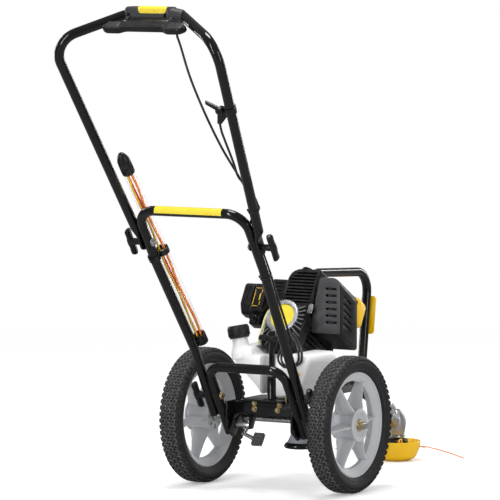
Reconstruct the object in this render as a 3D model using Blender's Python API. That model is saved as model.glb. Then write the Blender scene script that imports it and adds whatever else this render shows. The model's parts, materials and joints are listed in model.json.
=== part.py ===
"""A petrol string trimmer on two wheels, modelled as the separate pieces that are bolted together.

Metres, +X right, +Y forward, +Z up. Places are first given from the ground point under the wheel
axle, and at the end the whole machine is moved so that the middle of its footprint is the origin.
The engine and its drive tube have a frame of their own: its +Y runs down the crank axis.
"""

import math

import bmesh
import bpy
from mathutils import Matrix, Vector

# Clearances
SEAT_GAP = 0.0003
RUNNING_GAP = 0.0005
OVERLAP = 0.002

# Wheels and axle
WHEEL_RADIUS = 0.178
HALF_TRACK = 0.220
TYRE_WIDTH = 0.062
TREAD_WIDTH = 0.042
LUG_HEIGHT = 0.004
LUG_WAVE = 0.0025
TYRE_STEPS = 36
RIM_RADIUS = 0.1365
RIM_WIDTH = 0.042
RIM_LIP = 0.0045
RIM_CREST_RADIUS = 0.113
RIM_CREST_HALF = 0.006
SPOKE_COUNT = 6
SPOKE_PHASE = {"left": 20.5, "right": 26.0}
SPOKE_DEPTH_IN = 0.054
SPOKE_WAIST_RADIUS = 0.072
SPOKE_DEPTH_WAIST = 0.038
SPOKE_DEPTH_OUT = 0.024
SPOKE_EDGE = 0.0046
SPOKE_RIDGE_IN = 0.018
SPOKE_RIDGE_WAIST = 0.013
SPOKE_RIDGE_OUT = 0.009
SPOKE_RIDGE_FLAT = 0.005
HUB_RADIUS = 0.0387
HUB_OUTER = 0.0325
HUB_INNER = 0.037
HUB_FLANGE_RADIUS = 0.0425
HUB_FLANGE = 0.005
HUB_RECESS_RADIUS = 0.031
HUB_RECESS = 0.004
AXLE_RADIUS = 0.008
AXLE_STUB = 0.010
AXLE_COLLAR_RADIUS = 0.014
AXLE_COLLAR_LENGTH = 0.010
AXLE_NUT_WIDTH = 0.024
AXLE_NUT_HEIGHT = 0.014
AXLE_WASHER_RADIUS = 0.0165
AXLE_WASHER_HEIGHT = 0.002

# Frame of welded plates across the axle
CHASSIS_HALF = 0.0965
CHASSIS_PLATE = 0.0035
BEAM_REAR = -0.052
BEAM_FRONT = -0.002
BEAM_BOTTOM = 0.190
BEAM_TOP = 0.231
BEAM_CORNER = 0.005
SIDE_PLATE_OUTLINE = ((-0.088, 0.158), (-0.056, 0.134), (-0.042, 0.136), (-0.026, 0.161), (0.020, 0.161), (0.022, 0.196), (-0.006, 0.229), (-0.088, 0.229))

# Handle tubes and their pivots, right side
TUBE_RADIUS = 0.0125
TUBE_SIDES = 12
BEND_STEP = 22.0
LOWER_PIVOT = (-0.107, 0.245)
BASE_LEG_FOOT = (-0.043, 0.144)
BASE_CROSSBAR_HEIGHT = 0.325
BASE_BEND = 0.042
MIDDLE_LEG_TAIL = 0.060
MIDDLE_KNEE = (0.139, -0.178, 0.372)
MIDDLE_SHOULDER_HEIGHT = 0.600
MIDDLE_TOP = (0.157, -0.430, 0.745)
MIDDLE_BEND = 0.052
KNEE_BEND = 0.150
PIVOT_BELOW_CROSSBAR = 0.085
UPPER_CORNER = (0.2373, -0.700, 1.1764)
UPPER_CORNER_BEND = 0.061
UPPER_BROW = (0.0800, -0.5965, 1.2452)
UPPER_BROW_BEND = 0.042
TAB_THICKNESS = 0.008
TAB_WIDTH = 0.031
TAB_LENGTH = 0.042
TAB_TAIL = 0.021
TAB_TAPER = 0.030

# Clamping bolts and their T-shaped knobs
BOLT_RADIUS = 0.004
BOLT_HEAD_RADIUS = 0.009
BOLT_HEAD_HEIGHT = 0.0045
BOLT_BITE = 0.014
KNOB_STEM_RADIUS = 0.0085
KNOB_STEM_LENGTH = 0.024
LOWER_KNOB_STEM_LENGTH = 0.014
KNOB_BAR_LENGTH = 0.076
KNOB_BAR_WIDTH = 0.021
KNOB_BAR_DEPTH = 0.016

# Housing and press paddle on the crossbar
HOUSING_LEFT = -0.077
HOUSING_RIGHT = 0.052
HOUSING_LIFT = 0.002
HOUSING_SLEEVE_END = 0.088
HOUSING_SLEEVE_RADII = (0.0205, 0.0160)
HOUSING_DEPTH = 0.042
HOUSING_HEIGHT = 0.036
HOUSING_ROUND = 0.009
SCREW_WELL_RADIUS = 0.0055
SCREW_WELL_DEPTH = 0.006
SCREW_WELLS = (-0.062, 0.042)
PADDLE_HALF = 0.120
PADDLE_MIDDLE = 0.004
PADDLE_WING = 0.050
PADDLE_REACH = 0.052
PADDLE_THICKNESS = 0.016
PADDLE_TILT = 32.0
PADDLE_HINGE_RADIUS = 0.006
PADDLE_PIN_RADIUS = 0.0025
PADDLE_DROP = 0.013
PADDLE_BACK = 0.024

# Throttle on the right leg of the upper handle
THROTTLE_HEIGHT = 1.016
THROTTLE_CLAMP_WIDTH = 0.018
THROTTLE_CLAMP_WALL = 0.0028
THROTTLE_ARM = 0.025
THROTTLE_FERRULE_REACH = 0.037
THROTTLE_ARM_DROP = 0.044
THROTTLE_PIVOT_RADIUS = 0.010
THROTTLE_LEVER_LENGTH = 0.041
THROTTLE_LEVER_THICKNESS = 0.005

# Tube that stores spare line beside the left leg
STORE_RADIUS = 0.0142
STORE_WALL = 0.0016
STORE_LOW = 0.378
STORE_HIGH = 0.841
STORE_LOW_X = -0.131
STORE_HIGH_X = -0.163
STORE_CAP_RADIUS = 0.0168
STORE_CAP_LENGTH = 0.062
STORE_FOOT_LENGTH = 0.034
STORE_CAP_GRIP = 0.020
CLIP_BELOW_TAB = 0.012
CLIP_WIDTH = 0.016
CLIP_WALL = 0.003
SPARE_LINE_RADIUS = 0.0017
SPARE_LINE_REACH = 0.0068
SPARE_LINE_END_ROOM = 0.050
SPARE_LINE_RUNS = 3

# Control cables
CABLE_RADIUS = 0.003
TWIN_GAP = 0.0018
CABLE_SIDES = 6
CABLE_STEP = 0.030
CABLE_SPLIT_OVER_PIVOT = 0.024
CABLE_LEAVES = 0.405
TIE_HEIGHTS = (0.757, 0.581)
DRIVE_CABLE_EXIT = 0.066
DRIVE_CABLE_GLAND_RADIUS = 0.0055
DRIVE_CABLE_GLAND_LENGTH = 0.027
DRIVE_CABLE_WAY = ((0.078, -0.602, 1.170), (0.102, -0.594, 1.090), (0.132, -0.572, 1.000), (0.154, -0.530, 0.916), (0.166, -0.474, 0.848))
THROTTLE_CABLE_WAY = ((0.182, -0.524, 0.884), (0.1765, -0.487, 0.842))
CABLES_MEET_HEIGHT = 0.805
CABLE_BEND_OVER_PIVOT = 0.048
CABLE_BEND_LOW = 0.530
ENGINE_CABLE_START = (0.072, -0.064, 0.324)
ENGINE_CABLE_LOOP = ((0.097, -0.047, 0.336), (0.100, -0.047, 0.362), (0.074, -0.018, 0.388))
BASE_CABLE_WAY = ((0.104, -0.150, 0.372), (0.078, -0.112, 0.346))
FAN_ENTRY = (0.030, -0.051)
TIE_WIDTH = 0.006
TIE_WALL = 0.002

# Foot pedal under the left of the frame
PEDAL_PIN = (-0.062, 0.166)
PEDAL_PIN_RADIUS = 0.003
PEDAL_EAR_INNER = (-0.080, -0.040)
PEDAL_EAR_THICKNESS = 0.004
PEDAL_HUB_RADIUS = 0.0075
PEDAL_PAD_CENTRE = (0.008, -0.106, 0.139)
PEDAL_PAD_SIZE = (0.030, 0.036, 0.006)
PEDAL_PAD_TILT = 55.0
PEDAL_BAR = 0.010

# Rest foot under a bracket at the right front of the beam
FOOT_X = 0.057
FOOT_Y = 0.032
FOOT_BRACKET_HALF = 0.016
FOOT_BRACKET_LOW = 0.196
FOOT_BRACKET_TOP = 0.200
FOOT_POST_TOP = 0.206
FOOT_POST_RADIUS = 0.006
FOOT_PROFILE = ((0.0120, 0.180), (0.0185, 0.176), (0.0225, 0.160), (0.0255, 0.142), (0.0295, 0.130), (0.0350, 0.1185))
FOOT_RIM_PROFILE = ((0.0380, 0.1180), (0.0425, 0.1130), (0.0435, 0.1070), (0.0370, 0.1035))

# Swivel post and the carrier that turns on it
SWIVEL_Y = -0.019
POST_RADIUS = 0.008
POST_FOOT = 0.200
POST_TOP = 0.412
SLEEVE_RADIUS = 0.0130
SLEEVE_TOP = 0.285
COLLAR_RADIUS = 0.0125
COLLAR_HEIGHT = 0.007
CARRIER_PLATE = 0.0045
CARRIER_HALF_WIDTH = 0.066
CARRIER_REAR = -0.074
CARRIER_FRONT = 0.050
CARRIER_CORNER = 0.012
CARRIER_BEAM_HALF = 0.022
CARRIER_BEAM_DEPTH = 0.020
CARRIER_BEAM_WALL = 0.003
CARRIER_BEAM_FRONT = 0.372
TUBE_CLAMP_REAR = 0.322
TUBE_CLAMP_FRONT = 0.360
TUBE_CLAMP_HALF = 0.019
TUBE_CLAMP_TOP = 0.302

# Engine frame: crank axis at the recoil starter, and its slope
ENGINE_AT = (0.054, 0.444)
CRANK_SLOPE = 30.0
FAN_LEFT = -0.062
FAN_RIGHT = 0.058
FAN_RIGHT_LOW = 0.042
FAN_BOTTOM = -0.095
FAN_TOP = 0.038
FAN_CORNER = 0.024
STARTER_REAR = 0.006
CASE_REAR = 0.045
CASE_FRONT = 0.140
RING_ACROSS = -0.012
STARTER_LUG_HEIGHTS = (0.384, 0.398)
STARTER_LUG_HALF = 0.013
RING_OUTER = 0.047
RING_INNER = 0.034
RING_PROUD = 0.006
CASE_LEFT = -0.046
CASE_RIGHT = 0.046
CASE_BOTTOM = -0.052
CASE_TOP = 0.041
FIN_COUNT = 4
FIN_DEPTH = 0.010
COVER_LEFT = -0.040
COVER_RIGHT = 0.053
COVER_REAR = 0.024
COVER_FRONT = 0.134
COVER_TOP = 0.148
COVER_SHOULDER = 0.022
COVER_EDGE = 0.006
LOUVRE_COUNT = 9
LOUVRE_DEPTH = 0.007
LOUVRE_WIDTH = 0.0045
GUARD_REAR = 0.106
GUARD_FRONT = 0.199
GUARD_RIGHT = 0.132
GUARD_TO_CLUTCH = 0.0008
GUARD_LEFT_HIGH = 0.071
GUARD_BOTTOM = 0.399
GUARD_TOP = 0.546
GUARD_ROUND = 0.005
GUARD_SLOTS = 6
GUARD_SLOT_LENGTH = 0.033
GUARD_SLOT_WIDTH = 0.0055
GUARD_SLOT_DEPTH = 0.006
GUARD_SLOT_PITCH = 0.0176
GUARD_SLOT_TOP = 0.515
FILTER_LEFT = -0.152
FILTER_SPLIT = -0.122
FILTER_RIGHT = -0.086
FILTER_REAR = 0.008
FILTER_FRONT = 0.066
FILTER_BOTTOM = 0.012
FILTER_TOP = 0.093
INTAKE_REAR = 0.030
INTAKE_FRONT = 0.090
INTAKE_BOTTOM = 0.056
INTAKE_TOP = 0.118
CLUTCH_LEFT = -0.070
CLUTCH_RIGHT = 0.122
CLUTCH_MIDDLE = 0.038
CLUTCH_BOTTOM = -0.055
CLUTCH_SHELF = 0.054
CLUTCH_TOP = 0.130
CLUTCH_DEPTH = 0.042
CLUTCH_CONE_RADIUS = 0.050
CLUTCH_NOSE_RADIUS = 0.020
CLUTCH_NOSE = 0.256
GRIP_AT = (-0.040, -0.068)
GRIP_LENGTH = 0.036

# Drive tube, gear case and head
DRIVE_TUBE_RADIUS = 0.013
HEAD_Y = 0.655
GEAR_BOTTOM = 0.068
GEAR_TOP = 0.140
GEAR_RADIUS = 0.026
GEAR_SLEEVE_RADIUS = 0.019
GEAR_SLEEVE_LENGTH = 0.058
SHIELD_RADIUS = 0.024
SHIELD_THICKNESS = 0.0045
SPINDLE_RADIUS = 0.007
SPINDLE_TOP = 0.082
HEAD_RADIUS = 0.032
HEAD_THICKNESS = 0.011
DISH_RADIUS = 0.066
DISH_FLAT_RADIUS = 0.036
DISH_HEIGHT = 0.054
DISH_LIP = 0.005
DISH_RECESS = 0.006
LINE_RADIUS = 0.0015
LINE_REACH = 0.200
LINE_OFFSET = 0.016
LINE_HEIGHTS = (0.040, 0.034)
LINE_DROP = 0.024

# Fuel tank under the engine
TANK_OUTLINE = (
    (-0.104, 0.328), (-0.113, 0.368), (-0.054, 0.368), (-0.049, 0.346), (0.054, 0.346),
    (0.064, 0.356), (0.120, 0.356), (0.126, 0.338), (0.104, 0.275), (0.052, 0.2383), (-0.020, 0.2383), (-0.034, 0.262),
)
TANK_REAR = -0.040
TANK_FRONT = 0.104
TANK_ROUND = 0.007
TANK_POST_ROOM = 0.024
NECK_AT = (-0.095, -0.016)
NECK_LEAN = 11.0
NECK_RADIUS = 0.020
NECK_RISE = 0.019
CAP_RADIUS = 0.0285
CAP_HEIGHT = 0.034
CAP_RIBS = 14
FUEL_LINE_RADIUS = 0.0035
FUEL_LINE_START = (-0.070, 0.036)
FAN_TO_TANK = 0.002

# Bumper hoop in front of the engine
HOOP_RADIUS = 0.012
HOOP_FRONT = 0.495
HOOP_TOP_FRONT = 0.527
HOOP_FOOT = 0.457
HOOP_BEND = 0.055
HOOP_CLAMP_HALF = 0.018
HOOP_CLAMP_LENGTH = 0.036
HOOP_TAB_START = 0.030
HOOP_TAB_END = 0.066
PLATE_HALF = 0.022
PLATE_LOW = 0.362
PLATE_HIGH = 0.464
PLATE_THICKNESS = 0.003

CRANK_DIRECTION = Vector((0, math.cos(math.radians(CRANK_SLOPE)), -math.sin(math.radians(CRANK_SLOPE))))
ENGINE_TURN = Matrix.Rotation(math.radians(-CRANK_SLOPE), 4, "X")
ENGINE_PLACE = Matrix.Translation((0, *ENGINE_AT)) @ ENGINE_TURN
AXLE_CENTRE = Vector((0, 0, WHEEL_RADIUS))

# Colour, roughness and metallic value of each finish
FINISHES = {
    "black_paint": ((0.018, 0.018, 0.020), 0.25, 0.0),
    "black_plastic": ((0.030, 0.031, 0.034), 0.55, 0.0),
    "grey_plastic": ((0.085, 0.087, 0.092), 0.60, 0.0),
    "tyre_rubber": ((0.035, 0.035, 0.037), 0.85, 0.0),
    "rim_plastic": ((0.46, 0.47, 0.48), 0.50, 0.0),
    "zinc_steel": ((0.62, 0.62, 0.60), 0.35, 1.0),
    "brass_steel": ((0.72, 0.62, 0.36), 0.35, 1.0),
    "aluminium": ((0.66, 0.67, 0.68), 0.45, 1.0),
    "yellow_plastic": ((0.86, 0.60, 0.05), 0.45, 0.0),
    "tank_plastic": ((0.82, 0.83, 0.82), 0.45, 0.0),
    "clear_plastic": ((0.90, 0.88, 0.85), 0.15, 0.0),
    "orange_line": ((0.90, 0.30, 0.06), 0.35, 0.0),
    "pale_plastic": ((0.55, 0.56, 0.60), 0.45, 0.0),
    "cable_black": ((0.025, 0.025, 0.027), 0.50, 0.0),
}

carriers = {}
finishes = {}


def empty_scene():
    """Removes whatever the scene holds."""
    for thing in list(bpy.data.objects):
        bpy.data.objects.remove(thing, do_unlink=True)


def finish(name):
    """The material of one finish, made the first time it is asked for."""
    if name not in finishes:
        colour, roughness, metallic = FINISHES[name]
        made = bpy.data.materials.new(name)
        made.use_nodes = True
        shader = made.node_tree.nodes["Principled BSDF"]
        shader.inputs["Base Color"].default_value = (*colour, 1)
        shader.inputs["Roughness"].default_value = roughness
        shader.inputs["Metallic"].default_value = metallic
        made.diffuse_color = (*colour, 1)
        finishes[name] = made
    return finishes[name]


def carrier(name, at, parent=None):
    """An empty on a joint's axis, or on a fixed body's reference point, that carries that body's pieces."""
    empty = bpy.data.objects.new(name + "_carrier", None)
    bpy.context.scene.collection.objects.link(empty)
    place = Vector(at)
    if parent:
        empty.parent = carriers[parent][0]
        empty.location = place - carriers[parent][1]
    else:
        empty.location = place
    carriers[name] = (empty, place)
    return empty


def as_object(name, shape, on):
    """An object whose origin is its carrier's, from a shape given in the frame of that carrier's pieces."""
    empty, place = carriers[on]
    bmesh.ops.translate(shape, verts=shape.verts, vec=-place)
    mesh = bpy.data.meshes.new(name)
    shape.to_mesh(mesh)
    shape.free()
    made = bpy.data.objects.new(name, mesh)
    made.parent = empty
    bpy.context.scene.collection.objects.link(made)
    return made


def piece(name, shape, look, on, sharp=35.0):
    """One named piece of the machine."""
    made = as_object(name, shape, on)
    made.data.materials.append(finish(look))
    made.data.shade_smooth()
    made.data.set_sharp_from_angle(angle=math.radians(sharp))
    return made


def shaped(target, operation, shape, on):
    """Adds a Boolean of the target with a hidden tool."""
    tool = as_object(f"{target.name}_tool", shape, on)
    tool.hide_render = True
    tool.display_type = "WIRE"
    change = target.modifiers.new(operation.lower(), "BOOLEAN")
    change.operation = operation
    change.solver = "EXACT"
    change.object = tool


def cut(target, on, *shapes):
    """Cuts each shape out of the target."""
    for shape in shapes:
        shaped(target, "DIFFERENCE", shape, on)


def fuse(target, on, *shapes):
    """Joins each shape to the target."""
    for shape in shapes:
        shaped(target, "UNION", shape, on)


def together(*shapes):
    """Shapes that lie apart, as one."""
    whole = bmesh.new()
    for shape in shapes:
        mesh = bpy.data.meshes.new("part_of_shape")
        shape.to_mesh(mesh)
        shape.free()
        whole.from_mesh(mesh)
        bpy.data.meshes.remove(mesh)
    return whole


def outward(shape):
    """Turns every face outward."""
    bmesh.ops.recalc_face_normals(shape, faces=shape.faces)
    return shape


def block(low, high, rounding=0.0, segments=1):
    """A box from its low corner to its high corner, its edges rounded."""
    low, high = Vector(low), Vector(high)
    shape = bmesh.new()
    bmesh.ops.create_cube(shape, size=1)
    bmesh.ops.scale(shape, verts=shape.verts, vec=high - low)
    bmesh.ops.translate(shape, verts=shape.verts, vec=(low + high) / 2)
    if rounding:
        bmesh.ops.bevel(shape, geom=shape.edges, offset=rounding, segments=segments, affect="EDGES")
    return outward(shape)


def prism(outline, axis, low, high, rounding=0.0, ends=True):
    """An outline drawn square to an axis and extruded along it. Its points are (Y, Z), (X, Z) or (X, Y)."""
    def place(u, v, w):
        return {"X": (w, u, v), "Y": (u, w, v), "Z": (u, v, w)}[axis]

    shape = bmesh.new()
    base = shape.faces.new([shape.verts.new(place(u, v, low)) for u, v in outline])
    grown = bmesh.ops.extrude_face_region(shape, geom=[base])
    moved = [part for part in grown["geom"] if isinstance(part, bmesh.types.BMVert)]
    bmesh.ops.translate(shape, verts=moved, vec=Vector(place(0, 0, high - low)))
    if rounding:
        along = Vector(place(0, 0, 1))
        edges = [e for e in shape.edges if ends or abs((e.verts[0].co - e.verts[1].co).normalized().dot(along)) > 0.9]
        bmesh.ops.bevel(shape, geom=edges, offset=rounding, segments=1, affect="EDGES")
    return outward(shape)


def turned(profile, axis="Z", centre=(0, 0, 0), steps=24, closed=False):
    """A turned shape. The profile's points are (radius, place along the axis)."""
    def place(radius, angle, along):
        across, up = radius * math.cos(angle), radius * math.sin(angle)
        return {"X": Vector((along, across, up)), "Y": Vector((across, along, up)), "Z": Vector((across, up, along))}[axis]

    shape = bmesh.new()
    rows = []
    for radius, along in profile:
        count = steps if radius > 0 else 1
        rows.append([shape.verts.new(place(radius, math.tau * k / steps, along) + Vector(centre)) for k in range(count)])
    joined = list(zip(rows, rows[1:])) + ([(rows[-1], rows[0])] if closed else [])
    for low, high in joined:
        for k in range(steps):
            corners = [low[k % len(low)], low[(k + 1) % len(low)], high[(k + 1) % len(high)], high[k % len(high)]]
            shape.faces.new(list(dict.fromkeys(corners)))
    return outward(shape)


def ring(point, side, up, wide, deep, square=1.0, sides=TUBE_SIDES):
    """One cross-section, with flats that lie wide and deep from its middle. square under 1 makes it boxy."""
    grow = 1 / math.cos(math.pi / sides)
    found = []
    for k in range(sides):
        angle = math.tau * (k + 0.5) / sides
        across, rise = math.cos(angle) * grow, math.sin(angle) * grow
        across = math.copysign(abs(across) ** square, across)
        rise = math.copysign(abs(rise) ** square, rise)
        found.append(point + side * wide * across + up * deep * rise)
    return found


def skinned(rows, cap_end=True):
    """A solid through a row of cross-sections, closed at its start and, if asked, at its end."""
    shape = bmesh.new()
    rows = [[shape.verts.new(point) for point in row] for row in rows]
    for low, high in zip(rows, rows[1:]):
        for k, here in enumerate(low):
            after = (k + 1) % len(low)
            shape.faces.new((here, low[after], high[after], high[k]))
    shape.faces.new(list(reversed(rows[0])))
    if cap_end:
        shape.faces.new(rows[-1])
    return outward(shape)


def bent(corners, radii):
    """Points along straight runs joined by arcs, as a tube bender makes them."""
    corners = [Vector(corner) for corner in corners]
    path = [corners[0]]
    for before, here, after, radius in zip(corners, corners[1:], corners[2:], radii):
        into, out = (here - before).normalized(), (after - here).normalized()
        turn = into.angle(out)
        start = here - into * radius * math.tan(turn / 2)
        normal = into.cross(out).normalized()
        centre = start + normal.cross(into) * radius
        steps = max(2, round(math.degrees(turn) / BEND_STEP))
        path += [centre + Matrix.Rotation(turn * k / steps, 3, normal) @ (start - centre) for k in range(steps + 1)]
    return path + [corners[-1]]


def smooth(points, step):
    """Points a step apart on a smooth curve through a route's own points, its two end legs straight."""
    route = [Vector(point) for point in points]
    found = [route[0]]
    for a, b, c, d in zip(route, route[1:], route[2:], route[3:]):
        count = max(2, round((c - b).length / step))
        for k in range(count):
            t = k / count
            found.append(0.5 * (2 * b + (c - a) * t + (2 * a - 5 * b + 4 * c - d) * t**2 + (3 * b - a - 3 * c + d) * t**3))
    return found + route[-2:]


def framed(path, side):
    """(point, side, up) along a path, with the side turned no more than the path makes it."""
    found = []
    for k, point in enumerate(path):
        ahead = (path[min(k + 1, len(path) - 1)] - point).normalized()
        behind = (point - path[max(k - 1, 0)]).normalized()
        along = (ahead + behind).normalized()
        side = (side - along * side.dot(along)).normalized()
        found.append((point, side, along.cross(side)))
    return found


def rod(path, radius, sides=TUBE_SIDES, side=(1, 0, 0)):
    """A round solid along a path, with flats at its radius."""
    return skinned([ring(*place, radius, radius, sides=sides) for place in framed([Vector(p) for p in path], Vector(side))])


def pin(start, end, radius, sides=12):
    """A straight round solid with its corners at its radius, so that it fits a bore of that size."""
    return rod((start, end), radius * math.cos(math.pi / sides), sides, side=(Vector(end) - Vector(start)).orthogonal())


def mirrored(shape):
    """A half shape, open at the middle plane, with its mirror image joined on."""
    copy = bmesh.ops.duplicate(shape, geom=list(shape.verts) + list(shape.edges) + list(shape.faces))
    others = [part for part in copy["geom"] if isinstance(part, bmesh.types.BMVert)]
    bmesh.ops.scale(shape, verts=others, vec=(-1, 1, 1))
    bmesh.ops.remove_doubles(shape, verts=shape.verts, dist=0.00005)
    return outward(shape)


def on_line(start, end, height):
    """The point of a line at a height."""
    start, end = Vector(start), Vector(end)
    return start + (end - start) * (height - start.z) / (end.z - start.z)


# Places that several pieces share
UPPER_PIVOT_HEIGHT = MIDDLE_TOP[2] - PIVOT_BELOW_CROSSBAR
CABLE_SPLIT_HEIGHT = UPPER_PIVOT_HEIGHT + CABLE_SPLIT_OVER_PIVOT
BASE_X = CHASSIS_HALF + CHASSIS_PLATE + SEAT_GAP + TUBE_RADIUS
MIDDLE_LOW_X = BASE_X + 2 * TUBE_RADIUS + SEAT_GAP
KNEE = Vector((MIDDLE_LOW_X, *MIDDLE_KNEE[1:]))
LOWER_PIVOT_AT = Vector((MIDDLE_LOW_X, *LOWER_PIVOT))
MIDDLE_CORNER = Vector(MIDDLE_TOP)
UPPER_PIVOT_AT = on_line(KNEE, MIDDLE_CORNER, UPPER_PIVOT_HEIGHT)
UPPER_PIVOT_AT.x = MIDDLE_CORNER.x
TAB_INNER_X = MIDDLE_CORNER.x + TUBE_RADIUS + SEAT_GAP
TAB_OUTER_X = TAB_INNER_X + TAB_THICKNESS
UPPER_CORNER_AT = Vector(UPPER_CORNER)
LEG_RISE = Vector((0, UPPER_CORNER_AT.y - UPPER_PIVOT_AT.y, UPPER_CORNER_AT.z - UPPER_PIVOT_AT.z)).normalized()
HANDLE_FORWARD = Vector((0, LEG_RISE.z, -LEG_RISE.y))
UPPER_LEG_FOOT = Vector((TAB_INNER_X + TUBE_RADIUS, *UPPER_PIVOT_AT.yz)) + LEG_RISE * (TAB_LENGTH + TAB_TAPER - TAB_TAIL)
BROW_AT = Vector(UPPER_BROW)
PADDLE_HINGE = (BROW_AT.y - PADDLE_BACK, BROW_AT.z - PADDLE_DROP)
DRIVE_CABLE_START = Vector((DRIVE_CABLE_EXIT, BROW_AT.y - 0.002, BROW_AT.z))
CABLE_OFFSET = TUBE_RADIUS + SEAT_GAP * 2 + CABLE_RADIUS
CABLE_TWIN = CABLE_RADIUS + TWIN_GAP
SWIVEL_AT = Vector((0, SWIVEL_Y, BEAM_TOP))
CARRIER_LOW = BEAM_TOP + RUNNING_GAP
CARRIER_TOP = CARRIER_LOW + CARRIER_PLATE
THROTTLE_LEG = on_line(UPPER_LEG_FOOT, UPPER_CORNER_AT, THROTTLE_HEIGHT)
LEG_ALONG = (UPPER_CORNER_AT - UPPER_LEG_FOOT).normalized()
THROTTLE_INWARD = (Vector((-1, 0, 0)) + LEG_ALONG * LEG_ALONG.x).normalized()
THROTTLE_PIVOT = THROTTLE_LEG + THROTTLE_INWARD * THROTTLE_ARM - HANDLE_FORWARD * 0.004
THROTTLE_FERRULE = THROTTLE_LEG + THROTTLE_INWARD * THROTTLE_FERRULE_REACH - LEG_ALONG * THROTTLE_ARM_DROP
TANK_TOP = TANK_OUTLINE[1][1]
NECK_PLACE = Matrix.Translation((*NECK_AT, TANK_TOP)) @ Matrix.Rotation(math.radians(-NECK_LEAN), 4, "Y")


def crank_point(along, height=0.0, across=0.0):
    """A point of the engine's frame, as a place on the machine."""
    return ENGINE_PLACE @ Vector((across, along, height))


def add_carriers():
    """The bodies that move, each on its joint."""
    carrier("frame", (0, 0, 0))
    carrier("wheel_left", AXLE_CENTRE - Vector((HALF_TRACK, 0, 0)), "frame")
    carrier("wheel_right", AXLE_CENTRE + Vector((HALF_TRACK, 0, 0)), "frame")
    carrier("pedal", (0, *PEDAL_PIN), "frame")
    carrier("middle", (0, *LOWER_PIVOT), "frame")
    carrier("upper", (0, *UPPER_PIVOT_AT.yz), "middle")
    carrier("paddle", (0, *PADDLE_HINGE), "upper")
    carrier("throttle", THROTTLE_PIVOT, "upper")
    carrier("store_cap", store_point(STORE_HIGH), "middle")
    carrier("power", SWIVEL_AT, "frame")
    carrier("fuel_cap", NECK_PLACE @ Vector((0, 0, NECK_RISE)), "power")
    carrier("head", (0, HEAD_Y, 0), "power")
    for side, sign in (("left", -1), ("right", 1)):
        carrier(f"lower_knob_{side}", (sign * (MIDDLE_LOW_X + TUBE_RADIUS), *LOWER_PIVOT), "frame")
        carrier(f"upper_knob_{side}", (sign * TAB_OUTER_X, *UPPER_PIVOT_AT.yz), "middle")
    engine = carrier("engine", (0, 0, 0), "power")
    engine.location = Vector((0, *ENGINE_AT)) - SWIVEL_AT
    engine.rotation_euler = (math.radians(-CRANK_SLOPE), 0, 0)
    carrier("grip", (GRIP_AT[0], 0, GRIP_AT[1]), "engine")


def add_tyre(name, on):
    """A tyre with a rounded casing and three rows of tread blocks that lean to and fro."""
    bead = RIM_RADIUS + SEAT_GAP
    half, tread = TYRE_WIDTH / 2, TREAD_WIDTH / 2
    ground = WHEEL_RADIUS - LUG_HEIGHT
    row = tread / 3
    profile = [(bead, 0.019), (bead + 0.008, half - 0.004), (bead + 0.020, half), (ground - 0.009, half - 0.002)]
    profile += [(ground, tread), (ground, row)]
    profile += [(radius, -along) for radius, along in reversed(profile)]
    shape = turned(profile, "X", steps=TYRE_STEPS, closed=True)
    for corner in shape.verts:
        flat = math.hypot(corner.co.y, corner.co.z)
        if abs(flat - ground) < 1e-5:
            step = round(math.atan2(corner.co.z, corner.co.y) / math.tau * TYRE_STEPS)
            corner.co.x += LUG_WAVE * (1 if step % 2 else -1)
    shape.normal_update()
    blocks = []
    for face in shape.faces:
        middle = face.calc_center_median()
        if math.hypot(middle.y, middle.z) < ground * math.cos(math.pi / TYRE_STEPS) - 1e-4 or abs(middle.x) > tread:
            continue
        step = math.floor(math.atan2(middle.z, middle.y) / math.tau * TYRE_STEPS)
        if (step + (abs(middle.x) > row)) % 2:
            blocks.append(face)
    raised = bmesh.ops.extrude_discrete_faces(shape, faces=blocks)["faces"]
    for face in raised:
        middle = face.calc_center_median()
        for corner in face.verts:
            corner.co.x = middle.x + (corner.co.x - middle.x) * 0.86
            flat = Vector((0, corner.co.y, corner.co.z))
            inward = Vector((0, middle.y, middle.z)) - flat
            flat = (flat + inward * 0.12).normalized() * WHEEL_RADIUS
            corner.co.y, corner.co.z = flat.y, flat.z
    bmesh.ops.translate(shape, verts=shape.verts, vec=carriers[on][1])
    piece(name, outward(shape), "tyre_rubber", on, sharp=25)


def spoke(angle):
    """One spoke, deep along the axle and ridged down its middle, from inside the hub into the band."""
    stations = (
        (HUB_RADIUS - 0.006, SPOKE_DEPTH_IN, SPOKE_RIDGE_IN),
        (SPOKE_WAIST_RADIUS, SPOKE_DEPTH_WAIST, SPOKE_RIDGE_WAIST),
        (RIM_RADIUS - 0.002, SPOKE_DEPTH_OUT, SPOKE_RIDGE_OUT),
    )
    rows = []
    for radius, depth, ridge in stations:
        half = [(depth / 2, -SPOKE_EDGE / 2), (depth / 2, SPOKE_EDGE / 2)]
        half += [(SPOKE_RIDGE_FLAT / 2, ridge / 2), (-SPOKE_RIDGE_FLAT / 2, ridge / 2)]
        outline = half + [(-x, -y) for x, y in half]
        rows.append([Matrix.Rotation(angle, 3, "X") @ Vector((x, y, radius)) for x, y in outline])
    return skinned(rows)


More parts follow.
